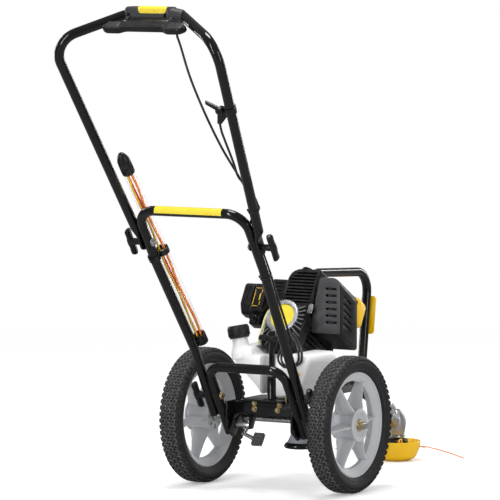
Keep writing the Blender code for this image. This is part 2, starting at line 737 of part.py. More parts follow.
def add_rim(side, sign):
    """A moulded wheel: band with its crest inside, hub with its bore and flange, and the spokes between."""
    on = f"wheel_{side}"
    half = RIM_WIDTH / 2
    band = [(RIM_RADIUS, half), (RIM_RADIUS - RIM_LIP, half), (RIM_CREST_RADIUS, RIM_CREST_HALF)]
    band += [(radius, -along) for radius, along in reversed(band)]
    bore = AXLE_RADIUS + SEAT_GAP
    hub = [(bore, -HUB_INNER), (HUB_RADIUS - 0.002, -HUB_INNER), (HUB_RADIUS, 0.002 - HUB_INNER)]
    hub += [(HUB_RADIUS, HUB_OUTER - HUB_FLANGE), (HUB_FLANGE_RADIUS, HUB_OUTER - HUB_FLANGE + 0.001)]
    hub += [(HUB_FLANGE_RADIUS, HUB_OUTER - 0.001), (HUB_FLANGE_RADIUS - 0.002, HUB_OUTER)]
    hub += [(HUB_RECESS_RADIUS, HUB_OUTER), (HUB_RECESS_RADIUS - 0.002, HUB_OUTER - HUB_RECESS)]
    hub.append((bore, HUB_OUTER - HUB_RECESS))
    hub = [(radius, sign * along) for radius, along in hub]
    spokes = [spoke(math.radians(SPOKE_PHASE[side] + 360 * k / SPOKE_COUNT)) for k in range(SPOKE_COUNT)]
    shapes = [turned(band, "X", steps=TYRE_STEPS, closed=True), turned(hub, "X", steps=24, closed=True), together(*spokes)]
    for shape in shapes:
        bmesh.ops.translate(shape, verts=shape.verts, vec=carriers[on][1])
    rim = piece(f"rim_{side}", shapes[0], "rim_plastic", on)
    fuse(rim, on, shapes[2], shapes[1])


def add_wheels():
    for side, sign in (("left", -1), ("right", 1)):
        add_tyre(f"tyre_{side}", f"wheel_{side}")
        add_rim(side, sign)


def add_axle():
    """The axle with a collar inside each hub, and the flanged nut that keeps each wheel on it."""
    face = HALF_TRACK + HUB_OUTER - HUB_RECESS + SEAT_GAP
    end = face + AXLE_NUT_HEIGHT + AXLE_STUB
    collar = HALF_TRACK - HUB_INNER - RUNNING_GAP
    half = [(0, end), (AXLE_RADIUS, end), (AXLE_RADIUS, collar), (AXLE_COLLAR_RADIUS, collar)]
    half += [(AXLE_COLLAR_RADIUS, collar - AXLE_COLLAR_LENGTH), (AXLE_RADIUS, collar - AXLE_COLLAR_LENGTH)]
    profile = half + [(radius, -along) for radius, along in reversed(half)]
    piece("axle", turned(profile, "X", AXLE_CENTRE, 16), "zinc_steel", "frame")
    for side, sign in (("left", -1), ("right", 1)):
        points = [(0, 0), (AXLE_NUT_WIDTH / 2, 0), (AXLE_NUT_WIDTH / 2, AXLE_NUT_HEIGHT), (0, AXLE_NUT_HEIGHT)]
        shape = turned([(r, sign * (face + x)) for r, x in points], "X", AXLE_CENTRE, steps=6)
        nut = piece(f"axle_nut_{side}", shape, "brass_steel", "frame")
        points = [(0, 0), (AXLE_WASHER_RADIUS, 0), (AXLE_WASHER_RADIUS, AXLE_WASHER_HEIGHT), (0, AXLE_WASHER_HEIGHT)]
        fuse(nut, "frame", turned([(r, sign * (face + x)) for r, x in points], "X", AXLE_CENTRE, steps=16))
        bore = [(0, face - OVERLAP), (AXLE_RADIUS + SEAT_GAP, face - OVERLAP), (AXLE_RADIUS + SEAT_GAP, end + OVERLAP)]
        bore.append((0, end + OVERLAP))
        cut(nut, "frame", turned([(r, sign * x) for r, x in bore], "X", AXLE_CENTRE, 16))


def add_chassis():
    """The box beam, its two side plates with the axle holes, and the pedal's ears and pin."""
    beam = block((-CHASSIS_HALF, BEAM_REAR, BEAM_BOTTOM), (CHASSIS_HALF, BEAM_FRONT, BEAM_TOP), BEAM_CORNER)
    chassis = piece("crossmember", beam, "black_paint", "frame")
    for sign in (-1, 1):
        inner, outer = sorted((sign * (CHASSIS_HALF - OVERLAP), sign * (CHASSIS_HALF + CHASSIS_PLATE)))
        fuse(chassis, "frame", prism(SIDE_PLATE_OUTLINE, "X", inner, outer))
    ear = [(PEDAL_PIN[0] - 0.009, PEDAL_PIN[1] - 0.009), (PEDAL_PIN[0] + 0.009, PEDAL_PIN[1] - 0.009), (BEAM_REAR + 0.018, BEAM_BOTTOM + OVERLAP), (BEAM_REAR + 0.001, BEAM_BOTTOM + OVERLAP + 0.004)]
    ear.append((PEDAL_PIN[0] - 0.009, BEAM_BOTTOM - 0.004))
    left, right = PEDAL_EAR_INNER
    fuse(chassis, "frame", prism(ear, "X", left - PEDAL_EAR_THICKNESS, left), prism(ear, "X", right, right + PEDAL_EAR_THICKNESS))
    fuse(chassis, "frame", pin((left - OVERLAP, *PEDAL_PIN), (right + OVERLAP, *PEDAL_PIN), PEDAL_PIN_RADIUS, 8))
    hole = CHASSIS_HALF + CHASSIS_PLATE + OVERLAP
    cut(chassis, "frame", rod(((-hole, 0, WHEEL_RADIUS), (hole, 0, WHEEL_RADIUS)), AXLE_RADIUS + SEAT_GAP, 16, side=(0, 1, 0)))
    cut(chassis, "frame", rod(((0, SWIVEL_Y, POST_FOOT), (0, SWIVEL_Y, BEAM_TOP + OVERLAP)), POST_RADIUS + SEAT_GAP, 16))
    half = FOOT_BRACKET_HALF
    bracket = block((FOOT_X - half, BEAM_FRONT - 0.003, FOOT_BRACKET_LOW), (FOOT_X + half, FOOT_Y + half, FOOT_BRACKET_TOP))
    fuse(chassis, "frame", bracket)
    hole = ((FOOT_X, FOOT_Y, FOOT_BRACKET_LOW - OVERLAP), (FOOT_X, FOOT_Y, FOOT_BRACKET_TOP + OVERLAP))
    cut(chassis, "frame", rod(hole, FOOT_POST_RADIUS + SEAT_GAP, 20))


def add_base_loop():
    """The low hoop that stands on the side plates."""
    pivot, foot = Vector((BASE_X, *LOWER_PIVOT)), Vector((BASE_X, *BASE_LEG_FOOT))
    corner = on_line(foot, pivot, BASE_CROSSBAR_HEIGHT)
    path = bent([foot, corner, (0, corner.y, corner.z)], [BASE_BEND])
    rows = [ring(*place, TUBE_RADIUS, TUBE_RADIUS) for place in framed(path, Vector((1, 0, 0)))]
    loop = piece("base_loop", mirrored(skinned(rows, cap_end=False)), "black_paint", "frame")
    reach = BASE_X + 2 * TUBE_RADIUS
    cut(loop, "frame", rod(((-reach, *LOWER_PIVOT), (reach, *LOWER_PIVOT)), BOLT_RADIUS + SEAT_GAP, 8, side=(0, 1, 0)))


def middle_path():
    """The middle line of the right half of the middle section, from its foot to the crossbar."""
    down = (LOWER_PIVOT_AT - KNEE).normalized()
    foot = LOWER_PIVOT_AT + down * MIDDLE_LEG_TAIL
    shoulder = on_line(KNEE, MIDDLE_CORNER, MIDDLE_SHOULDER_HEIGHT)
    shoulder.x = MIDDLE_CORNER.x
    corners = [foot, KNEE, shoulder, MIDDLE_CORNER, (0, *MIDDLE_CORNER.yz)]
    return bent(corners, [KNEE_BEND, KNEE_BEND, MIDDLE_BEND])


def middle_tube(radius):
    """The middle section as a solid of a radius, both halves in one."""
    rows = [ring(*place, radius, radius) for place in framed(middle_path(), Vector((1, 0, 0)))]
    return mirrored(skinned(rows, cap_end=False))


def at_height(path, height):
    """The point of a rising path at a height."""
    for low, high in zip(path, path[1:]):
        if low.z <= height <= high.z:
            return on_line(low, high, height)
    return path[-1]


def add_middle_handle():
    """The middle section, whose legs lie outside the low hoop."""
    handle = piece("middle_handle", middle_tube(TUBE_RADIUS), "black_paint", "middle")
    for pivot in (LOWER_PIVOT, UPPER_PIVOT_AT.yz):
        reach = MIDDLE_CORNER.x + 2 * TUBE_RADIUS
        cut(handle, "middle", rod(((-reach, *pivot), (reach, *pivot)), BOLT_RADIUS + SEAT_GAP, 8, side=(0, 1, 0)))


def upper_path():
    """The middle line of the round part of the upper handle, from the right leg to the middle."""
    return bent([UPPER_LEG_FOOT, UPPER_CORNER_AT, BROW_AT, (0, *BROW_AT.yz)], [UPPER_CORNER_BEND, UPPER_BROW_BEND])


def upper_tube(radius):
    """The round part of the upper handle as a solid of a radius, both halves in one."""
    across = Vector((1, 0, 0))
    return mirrored(skinned([ring(*place, radius, radius) for place in framed(upper_path(), across)], cap_end=False))


def add_upper_handle():
    """The upper section: flattened at its feet, straight legs, and an arched top."""
    across = Vector((1, 0, 0))
    foot = Vector((TAB_INNER_X + TAB_THICKNESS / 2, *UPPER_PIVOT_AT.yz)) - LEG_RISE * TAB_TAIL
    rows = []
    for along, width in ((0, 0.45), (0.004, 0.76), (0.011, 1.0), (TAB_LENGTH, 1.0)):
        rows.append(ring(foot + LEG_RISE * along, across, LEG_RISE.cross(across), TAB_THICKNESS / 2, width * TAB_WIDTH / 2, 0.5))
    halfway = foot.lerp(UPPER_LEG_FOOT, (TAB_LENGTH + TAB_TAPER / 2) / (TAB_LENGTH + TAB_TAPER))
    halfway.x = TAB_INNER_X + (TUBE_RADIUS + TAB_THICKNESS / 2) / 2
    rows.append(ring(halfway, across, LEG_RISE.cross(across), (TUBE_RADIUS + TAB_THICKNESS / 2) / 2, (TUBE_RADIUS + TAB_WIDTH / 2) / 2, 0.8))
    rows += [ring(*place, TUBE_RADIUS, TUBE_RADIUS) for place in framed(upper_path(), across)]
    handle = piece("upper_handle", mirrored(skinned(rows, cap_end=False)), "black_paint", "upper")
    reach = TAB_OUTER_X + OVERLAP
    cut(handle, "upper", rod(((-reach, *UPPER_PIVOT_AT.yz), (reach, *UPPER_PIVOT_AT.yz)), BOLT_RADIUS + SEAT_GAP, 8, side=(0, 1, 0)))


def add_bolts_and_knobs():
    """At each pivot a bolt from the inner side, and the knob that screws onto it outside."""
    joints = (
        ("lower", LOWER_PIVOT, BASE_X - TUBE_RADIUS, MIDDLE_LOW_X + TUBE_RADIUS, LOWER_KNOB_STEM_LENGTH, "frame", "brass_steel"),
        ("upper", UPPER_PIVOT_AT.yz, MIDDLE_CORNER.x - TUBE_RADIUS, TAB_OUTER_X, KNOB_STEM_LENGTH, "middle", "zinc_steel"),
    )
    for level, pivot, inner, outer, stem, on, look in joints:
        for side, sign in (("left", -1), ("right", 1)):
            head = [(0, -SEAT_GAP - BOLT_HEAD_HEIGHT), (BOLT_HEAD_RADIUS, -SEAT_GAP - BOLT_HEAD_HEIGHT), (BOLT_HEAD_RADIUS, -SEAT_GAP)]
            head += [(BOLT_RADIUS, -SEAT_GAP), (BOLT_RADIUS, outer - inner + BOLT_BITE), (0, outer - inner + BOLT_BITE)]
            shape = turned([(r, sign * (inner + x)) for r, x in head], "X", (0, *pivot), steps=8 if level == "upper" else 6)
            piece(f"{level}_bolt_{side}", shape, look, on)
            add_knob(f"{level}_knob_{side}", pivot, sign, outer + SEAT_GAP, stem)


def add_knob(name, pivot, sign, start, stem):
    """A T-shaped knob: a stem with a blind hole for the bolt, and a bar with a bulging back."""
    lean = math.atan2(-LEG_RISE.y, LEG_RISE.z)
    turn = Matrix.Rotation(lean, 3, "X")
    middle = Vector((0, *pivot))
    rows = []
    for place, depth, width in ((-1, 0.45, 0.55), (-0.88, 0.62, 0.80), (-0.45, 0.88, 1.0), (0, 1.0, 1.0), (0.45, 0.88, 1.0), (0.88, 0.62, 0.80), (1, 0.45, 0.55)):
        thick = KNOB_BAR_DEPTH * depth
        point = middle + turn @ Vector((0, 0, place * KNOB_BAR_LENGTH / 2)) + Vector((sign * (start + stem + thick / 2), 0, 0))
        rows.append(ring(point, Vector((1, 0, 0)), turn @ Vector((0, 1, 0)), thick / 2 * 0.96, width * KNOB_BAR_WIDTH / 2, 0.7, 8))
    knob = piece(name, skinned(rows), "black_plastic", name)
    profile = [(0, stem + KNOB_BAR_DEPTH / 2), (KNOB_STEM_RADIUS, stem + KNOB_BAR_DEPTH / 2), (KNOB_STEM_RADIUS, 0), (0, 0)]
    fuse(knob, name, turned([(r, sign * (start + x)) for r, x in profile], "X", middle, steps=12))
    deep = start + BOLT_BITE + SEAT_GAP
    cut(knob, name, rod(((sign * (start - OVERLAP), *pivot), (sign * deep, *pivot)), BOLT_RADIUS + SEAT_GAP, 8, side=(0, 1, 0)))


def add_control_housing():
    """The moulded housing round the crossbar, its sleeve, two screw wells, and ears for the paddle."""
    y, z = BROW_AT.y, BROW_AT.z + HOUSING_LIFT
    depth, height = HOUSING_DEPTH / 2, HOUSING_HEIGHT / 2
    body = block((HOUSING_LEFT, y - depth, z - height), (HOUSING_RIGHT, y + depth, z + height), HOUSING_ROUND, 2)
    housing = piece("control_housing", body, "grey_plastic", "upper")
    wide, narrow = HOUSING_SLEEVE_RADII
    start, end = HOUSING_RIGHT - HOUSING_ROUND, HOUSING_SLEEVE_END
    back, up = Vector((0, 1, 0)), Vector((0, 0, 1))
    slope = (BROW_AT - UPPER_CORNER_AT).normalized()
    drop = slope * ((BROW_AT.x - end) / slope.x)
    rows = [ring(Vector((start, y, z)), back, up, wide, height - 0.001, 0.8)]
    rows.append(ring(Vector((start + (end - start) * 0.4, y, z)), back, up, wide, height - 0.001, 0.8))
    rows.append(ring(Vector((end, y, BROW_AT.z)) + Vector((0, -drop.y, -drop.z)), back, up, narrow, narrow))
    fuse(housing, "upper", skinned(rows))
    hinge_y, hinge_z = PADDLE_HINGE
    for x in (HOUSING_LEFT + 0.012, HOUSING_RIGHT + 0.008):
        ear = [(hinge_y - 0.008, hinge_z - 0.006), (hinge_y, hinge_z - 0.009), (hinge_y + 0.010, hinge_z - 0.004)]
        ear += [(y, z - height + 0.006), (y - depth + 0.004, z - 0.004), (hinge_y - 0.008, hinge_z + 0.006)]
        fuse(housing, "upper", prism(ear, "X", x, x + 0.006))
    fuse(housing, "upper", pin((HOUSING_LEFT + 0.014, *PADDLE_HINGE), (HOUSING_RIGHT + 0.012, *PADDLE_HINGE), PADDLE_PIN_RADIUS, 8))
    gland = DRIVE_CABLE_START - Vector((0, 0, DRIVE_CABLE_GLAND_LENGTH))
    fuse(housing, "upper", rod((DRIVE_CABLE_START, gland), DRIVE_CABLE_GLAND_RADIUS, 10))
    cut(housing, "upper", upper_tube(TUBE_RADIUS + SEAT_GAP))
    mouth, floor = y - depth - OVERLAP, y - depth + SCREW_WELL_DEPTH
    well = [(0, mouth), (SCREW_WELL_RADIUS, mouth), (SCREW_WELL_RADIUS, floor), (0, floor)]
    wells = [turned(well, "Y", (x, 0, z + 0.002), steps=10) for x in SCREW_WELLS]
    cut(housing, "upper", together(*wells))


def add_paddle():
    """The dog-bone paddle behind the housing, pressed by either thumb."""
    hinge_y, hinge_z = PADDLE_HINGE
    root, edge = hinge_y - 0.014, hinge_y - PADDLE_REACH
    half, wing = PADDLE_HALF, PADDLE_HALF - PADDLE_WING
    right = [(wing - 0.012, root), (wing, root - 0.002), (half - 0.014, root - 0.007), (half, root - 0.018)]
    right += [(half, edge + 0.012), (half - 0.012, edge), (wing, edge), (wing - 0.014, edge + 0.010)]
    outline = [(PADDLE_MIDDLE + x, y) for x, y in right] + [(PADDLE_MIDDLE - x, y) for x, y in reversed(right)]
    thick = PADDLE_THICKNESS / 2
    plate = prism(outline, "Z", hinge_z - thick, hinge_z + thick, 0.003)
    hinge = Vector((0, *PADDLE_HINGE))
    tilt = Matrix.Rotation(math.radians(PADDLE_TILT), 3, "X")
    bmesh.ops.rotate(plate, cent=hinge, matrix=tilt, verts=plate.verts)
    paddle = piece("paddle_lever", plate, "grey_plastic", "paddle")
    left, right = HOUSING_LEFT + 0.018 + RUNNING_GAP, HOUSING_RIGHT + 0.008 - RUNNING_GAP
    web = block((left, root - 0.004, hinge_z - 0.005), (right, hinge_y, hinge_z + 0.005))
    bmesh.ops.rotate(web, cent=hinge, matrix=tilt, verts=web.verts)
    fuse(paddle, "paddle", web)
    barrel = ((left, hinge_y, hinge_z), (right, hinge_y, hinge_z))
    fuse(paddle, "paddle", rod(barrel, PADDLE_HINGE_RADIUS, 10, side=(0, 0, 1)))
    bore = ((left - OVERLAP, hinge_y, hinge_z), (right + OVERLAP, hinge_y, hinge_z))
    cut(paddle, "paddle", rod(bore, PADDLE_PIN_RADIUS + RUNNING_GAP, 8, side=(0, 0, 1)))


def add_throttle():
    """The clamp on the leg with the lever's pivot boss, and the bent lever that turns on it."""
    half = THROTTLE_CLAMP_WIDTH / 2
    low, high = THROTTLE_LEG - LEG_ALONG * half, THROTTLE_LEG + LEG_ALONG * half
    bracket = piece("throttle_bracket", rod((low, high), TUBE_RADIUS + THROTTLE_CLAMP_WALL), "black_plastic", "upper")
    normal = LEG_ALONG.cross(THROTTLE_INWARD).normalized()
    boss = THROTTLE_PIVOT
    arm = [boss + LEG_ALONG * 0.010, boss + THROTTLE_INWARD * 0.008, THROTTLE_FERRULE + THROTTLE_INWARD * 0.006]
    arm += [THROTTLE_FERRULE - THROTTLE_INWARD * 0.006]
    arm += [THROTTLE_LEG - LEG_ALONG * (half - 0.002), THROTTLE_LEG + LEG_ALONG * (half - 0.002)]
    arm = [point - normal * (point - boss).dot(normal) for point in arm]
    fuse(bracket, "upper", skinned([[p - normal * 0.004 for p in arm], [p + normal * 0.002 for p in arm]]))
    reach = LEG_ALONG * THROTTLE_ARM_DROP
    cut(bracket, "upper", rod((low - reach, high + reach), TUBE_RADIUS + SEAT_GAP))
    fuse(bracket, "upper", pin(boss, boss + normal * 0.0125, PADDLE_PIN_RADIUS, 8))
    base = boss + normal * (0.002 + RUNNING_GAP)
    lever_end = (THROTTLE_INWARD * 0.86 + LEG_ALONG * 0.50) * THROTTLE_LEVER_LENGTH
    wide = LEG_ALONG * 0.006
    blade = [base - wide * 1.3 - THROTTLE_INWARD * 0.006, base + wide * 1.3 - THROTTLE_INWARD * 0.006, base + lever_end + wide * 0.8, base + lever_end - wide * 0.8]
    lever = skinned([blade, [p + normal * THROTTLE_LEVER_THICKNESS for p in blade]])
    lever = piece("throttle_lever", lever, "black_plastic", "throttle")
    fuse(lever, "throttle", pin(base, base + normal * 0.009, THROTTLE_PIVOT_RADIUS, 12))
    cut(lever, "throttle", rod((base - normal * OVERLAP, base + normal * 0.02), PADDLE_PIN_RADIUS + RUNNING_GAP, 8, side=LEG_ALONG))


def store_point(height):
    """A point on the axis of the storage tube, which lies inboard and in front of the left leg."""
    leg = on_line(KNEE, MIDDLE_CORNER, height)
    lean = HANDLE_FORWARD * (TUBE_RADIUS + STORE_CAP_RADIUS + RUNNING_GAP)
    across = STORE_LOW_X + (STORE_HIGH_X - STORE_LOW_X) * (height - STORE_LOW) / (STORE_HIGH - STORE_LOW)
    return Vector((across, leg.y + lean.y, leg.z + lean.z))


def add_line_store():
    """The clear tube, its two caps, the clip that holds it to the leg, and the folded line inside."""
    low, high = store_point(STORE_LOW), store_point(STORE_HIGH)
    along = (high - low).normalized()
    tube = piece("storage_tube", pin(low, high, STORE_RADIUS, 16), "clear_plastic", "middle")
    cut(tube, "middle", pin(low - along * OVERLAP, high + along * OVERLAP, STORE_RADIUS - STORE_WALL, 16))
    for name, start, way, length, on in (("storage_foot", low, -along, STORE_FOOT_LENGTH, "middle"), ("storage_cap", high, along, STORE_CAP_LENGTH, "store_cap")):
        stations = ((-STORE_CAP_GRIP, 1.0), (length * 0.2, 1.0), (length * 0.45, 0.86), (length - STORE_CAP_GRIP, 0.45))
        side = way.orthogonal().normalized()
        rows = [ring(start + way * place, side, way.cross(side), STORE_CAP_RADIUS * share, STORE_CAP_RADIUS * share, sides=14) for place, share in stations]
        cap = piece(name, skinned(rows), "black_plastic", on)
        cut(cap, on, rod((start - way * (STORE_CAP_GRIP + OVERLAP), start + way * SEAT_GAP), STORE_RADIUS + SEAT_GAP, 16, side=side))
    add_storage_clip(along)
    reach = SPARE_LINE_REACH
    side = along.orthogonal().normalized()
    across = along.cross(side)
    spots = [side * (reach * math.cos(math.tau * k / SPARE_LINE_RUNS)) + across * (reach * math.sin(math.tau * k / SPARE_LINE_RUNS)) for k in range(SPARE_LINE_RUNS)]
    bottom, top = low + along * 0.016, high - along * SPARE_LINE_END_ROOM
    route = []
    for k, spot in enumerate(spots):
        foot = low if k == 0 else bottom
        ends = [foot + spot, top + spot] if k % 2 == 0 else [top + spot, foot + spot]
        route += ends
        if k + 1 < len(spots):
            beyond = along if k % 2 == 0 else -along
            middle = (spot + spots[k + 1]) / 2
            radius = (spot - spots[k + 1]).length / 2
            hub = (top if k % 2 == 0 else bottom) + middle
            outward_side = (spot - middle).normalized()
            for step in range(1, 5):
                angle = math.pi * step / 5
                route.append(hub + outward_side * radius * math.cos(angle) + beyond * radius * math.sin(angle))
    piece("spare_line", rod(route, SPARE_LINE_RADIUS, 6, side=side), "orange_line", "middle")


def add_storage_clip(along):
    """One moulded clip with a hole for the leg and a hole for the storage tube."""
    height = UPPER_PIVOT_HEIGHT - TAB_TAIL - CLIP_BELOW_TAB - CLIP_WIDTH / 2
    leg = at_height(middle_path(), height)
    leg.x = -leg.x
    tube = store_point(height)
    tube = tube - along * (tube - leg).dot(along)
    way = (tube - leg).normalized()
    half = along * CLIP_WIDTH / 2
    clip = piece("storage_clip", rod((leg - half, leg + half), TUBE_RADIUS + CLIP_WALL), "black_plastic", "middle")
    fuse(clip, "middle", rod((tube - half, tube + half), STORE_RADIUS + CLIP_WALL, 16))
    thick = way.cross(along).normalized() * 0.005
    web = [leg + way * 0.008 - thick, tube - way * 0.008 - thick, tube - way * 0.008 + thick, leg + way * 0.008 + thick]
    fuse(clip, "middle", skinned([[p - half * 0.9 for p in web], [p + half * 0.9 for p in web]]))
    cut(clip, "middle", middle_tube(TUBE_RADIUS + SEAT_GAP))
    cut(clip, "middle", rod((tube - half * 2, tube + half * 2), STORE_RADIUS + SEAT_GAP, 16))


def add_pedal():
    """The pedal's arm, turning on the pin between the ears, and its ribbed pad."""
    y, z = PEDAL_PIN
    left, right = PEDAL_EAR_INNER[0] + RUNNING_GAP, PEDAL_EAR_INNER[1] - RUNNING_GAP
    arm = piece("pedal_arm", rod(((left, y, z), (right, y, z)), PEDAL_HUB_RADIUS, 12, side=(0, 0, 1)), "grey_plastic", "pedal")
    pad = Vector(PEDAL_PAD_CENTRE)
    tilt = Matrix.Translation(pad) @ Matrix.Rotation(math.radians(PEDAL_PAD_TILT), 4, "X")
    wide, deep, thick = (size / 2 for size in PEDAL_PAD_SIZE)
    back = block((-wide, -deep, -thick - SEAT_GAP - 0.004), (wide, deep, -thick - SEAT_GAP))
    bmesh.ops.transform(back, matrix=tilt, verts=back.verts)
    start = Vector((right - 0.007, y, z))
    knee = Vector((right - 0.007, y - 0.018, z - 0.020))
    end = pad + tilt.to_3x3() @ Vector((-wide * 0.4, 0, -thick - 0.006))
    fuse(arm, "pedal", skinned([ring(*place, PEDAL_BAR / 2, PEDAL_BAR / 2, 0.6, 8) for place in framed([start, knee, end], Vector((1, 0, 0)))]))
    fuse(arm, "pedal", back)
    cut(arm, "pedal", rod(((left - OVERLAP, y, z), (right + OVERLAP, y, z)), PEDAL_PIN_RADIUS + RUNNING_GAP, 8, side=(0, 0, 1)))
    top = block((-wide, -deep, -thick), (wide, deep, thick), 0.002)
    bmesh.ops.transform(top, matrix=tilt, verts=top.verts)
    rubber = piece("pedal_pad", top, "grey_plastic", "pedal")
    grooves = [block((-wide - OVERLAP, y0 - 0.0015, thick - 0.0015), (wide + OVERLAP, y0 + 0.0015, thick + OVERLAP)) for y0 in (-0.010, 0, 0.010)]
    grooves = together(*grooves)
    bmesh.ops.transform(grooves, matrix=tilt, verts=grooves.verts)
    cut(rubber, "pedal", grooves)


def add_rest_foot():
    """The bell-shaped foot on its post, with a flared rim below."""
    low = FOOT_PROFILE[-1][1]
    profile = [(0, FOOT_POST_TOP), (FOOT_POST_RADIUS, FOOT_POST_TOP), (FOOT_POST_RADIUS, FOOT_PROFILE[0][1]), *FOOT_PROFILE, (0, low)]
    piece("rest_foot_bell", turned(profile, "Z", (FOOT_X, FOOT_Y, 0), 20), "pale_plastic", "frame")
    bolt = 0.010
    rim = [(0, low - SEAT_GAP), (FOOT_PROFILE[-1][0], low - SEAT_GAP), *FOOT_RIM_PROFILE, (bolt, FOOT_RIM_PROFILE[-1][1] + 0.004), (0, FOOT_RIM_PROFILE[-1][1] + 0.004)]
    piece("rest_foot_rim", turned(rim, "Z", (FOOT_X, FOOT_Y, 0), 24), "black_plastic", "frame")


def add_swivel():
    """The post that stands in the beam, and the carrier with its sleeve, beam and tube clamp."""
    collar = SLEEVE_TOP + RUNNING_GAP
    profile = [(0, POST_FOOT + SEAT_GAP), (POST_RADIUS, POST_FOOT + SEAT_GAP), (POST_RADIUS, collar), (COLLAR_RADIUS, collar), (COLLAR_RADIUS, collar + COLLAR_HEIGHT)]
    profile += [(POST_RADIUS, collar + COLLAR_HEIGHT), (POST_RADIUS, POST_TOP), (0, POST_TOP)]
    piece("swivel_post", turned(profile, "Z", (0, SWIVEL_Y, 0), 16), "black_paint", "frame")
    half = CARRIER_HALF_WIDTH
    plate = [(-half, CARRIER_REAR), (half, CARRIER_REAR), (half, CARRIER_FRONT), (-half, CARRIER_FRONT)]
    frame = piece("carrier_frame", prism(plate, "Z", CARRIER_LOW, CARRIER_TOP, CARRIER_CORNER, ends=False), "black_paint", "power")
    beam_half, wall = CARRIER_BEAM_HALF, CARRIER_BEAM_WALL
    low = CARRIER_TOP - CARRIER_BEAM_DEPTH
    channel = [(-beam_half, low), (-beam_half + wall, low), (-beam_half + wall, CARRIER_TOP - wall), (beam_half - wall, CARRIER_TOP - wall), (beam_half - wall, low), (beam_half, low), (beam_half, CARRIER_TOP), (-beam_half, CARRIER_TOP)]
    beam = prism(channel, "Y", BEAM_FRONT + 0.034, CARRIER_BEAM_FRONT)
    clamp = block((-TUBE_CLAMP_HALF, TUBE_CLAMP_REAR, CARRIER_TOP - 0.0015), (TUBE_CLAMP_HALF, TUBE_CLAMP_FRONT, TUBE_CLAMP_TOP))
    sleeve = turned([(0, CARRIER_LOW + 0.001), (SLEEVE_RADIUS, CARRIER_LOW + 0.001), (SLEEVE_RADIUS, SLEEVE_TOP), (0, SLEEVE_TOP)], "Z", (0, SWIVEL_Y, 0), 16)
    fuse(frame, "power", beam, clamp, sleeve)
    cut(frame, "power", rod(((0, SWIVEL_Y, CARRIER_LOW - OVERLAP), (0, SWIVEL_Y, SLEEVE_TOP + OVERLAP)), POST_RADIUS + RUNNING_GAP, 16))
    cut(frame, "power", rod((crank_point(0.26), crank_point(0.50)), DRIVE_TUBE_RADIUS + SEAT_GAP, 16))


def add_starter():
    """The fan housing with its lug for the post, the bright starter ring, and the pull grip."""
    corner = FAN_CORNER
    outline = [(FAN_LEFT, FAN_BOTTOM + corner), (FAN_LEFT + corner, FAN_BOTTOM), (FAN_RIGHT_LOW - corner, FAN_BOTTOM), (FAN_RIGHT_LOW, FAN_BOTTOM + corner)]
    outline += [(FAN_RIGHT, FAN_TOP - corner * 1.4), (FAN_RIGHT - corner * 0.8, FAN_TOP), (FAN_LEFT + corner, FAN_TOP), (FAN_LEFT, FAN_TOP - corner)]
    fan = piece("starter_housing", prism(outline, "Y", STARTER_REAR, CASE_REAR - SEAT_GAP, 0.004), "black_plastic", "engine")
    low, high = STARTER_LUG_HEIGHTS
    rear = SWIVEL_Y - STARTER_LUG_HALF - 0.002
    lug = block((-STARTER_LUG_HALF, rear, low), (STARTER_LUG_HALF, ENGINE_AT[0] + STARTER_REAR, high))
    bore = rod(((0, SWIVEL_Y, low - OVERLAP), (0, SWIVEL_Y, POST_TOP + OVERLAP)), POST_RADIUS + RUNNING_GAP, 16)
    back = ENGINE_PLACE.inverted()
    for shape in (lug, bore):
        bmesh.ops.transform(shape, matrix=back, verts=shape.verts)
    fuse(fan, "engine", lug)
    cut(fan, "engine", bore)
    face = STARTER_REAR - SEAT_GAP
    ring_profile = [(0, face), (RING_OUTER, face), (RING_OUTER, face - RING_PROUD + 0.002), (RING_OUTER - 0.002, face - RING_PROUD), (RING_INNER + 0.002, face - RING_PROUD), (RING_INNER, face - 0.003), (0, face - 0.003)]
    piece("starter_ring", turned(ring_profile, "Y", (RING_ACROSS, 0, 0), steps=24), "aluminium", "engine")
    across, height = GRIP_AT
    middle = Vector((across, face - 0.012, height))
    rows = [ring(middle + Vector((place * GRIP_LENGTH / 2, 0, 0)), Vector((0, 0, 1)), Vector((0, 1, 0)), 0.008 * share, 0.0065 * share, 0.8, 8) for place, share in ((-1, 0.7), (-0.8, 1), (0, 1), (0.8, 1), (1, 0.7))]
    grip = piece("starter_grip", skinned(rows), "black_plastic", "grip")
    fuse(grip, "grip", turned([(0, face), (0.0055, face), (0.0055, face - 0.012), (0, face - 0.012)], "Y", (across, 0, height), 8))


def add_crankcase():
    """The crankcase, finned on its right side."""
    pitch = (CASE_TOP - CASE_BOTTOM) / FIN_COUNT
    outline = [(CASE_LEFT, CASE_BOTTOM), (CASE_RIGHT, CASE_BOTTOM)]
    for k in range(FIN_COUNT):
        low = CASE_BOTTOM + k * pitch
        outline += [(CASE_RIGHT, low + pitch * 0.45), (CASE_RIGHT - FIN_DEPTH, low + pitch * 0.50), (CASE_RIGHT - FIN_DEPTH, low + pitch * 0.90)]
        outline.append((CASE_RIGHT, low + pitch * 0.95))
    outline += [(CASE_RIGHT, CASE_TOP), (CASE_LEFT, CASE_TOP)]
    piece("crankcase", prism(outline, "Y", CASE_REAR, CASE_FRONT), "black_plastic", "engine")


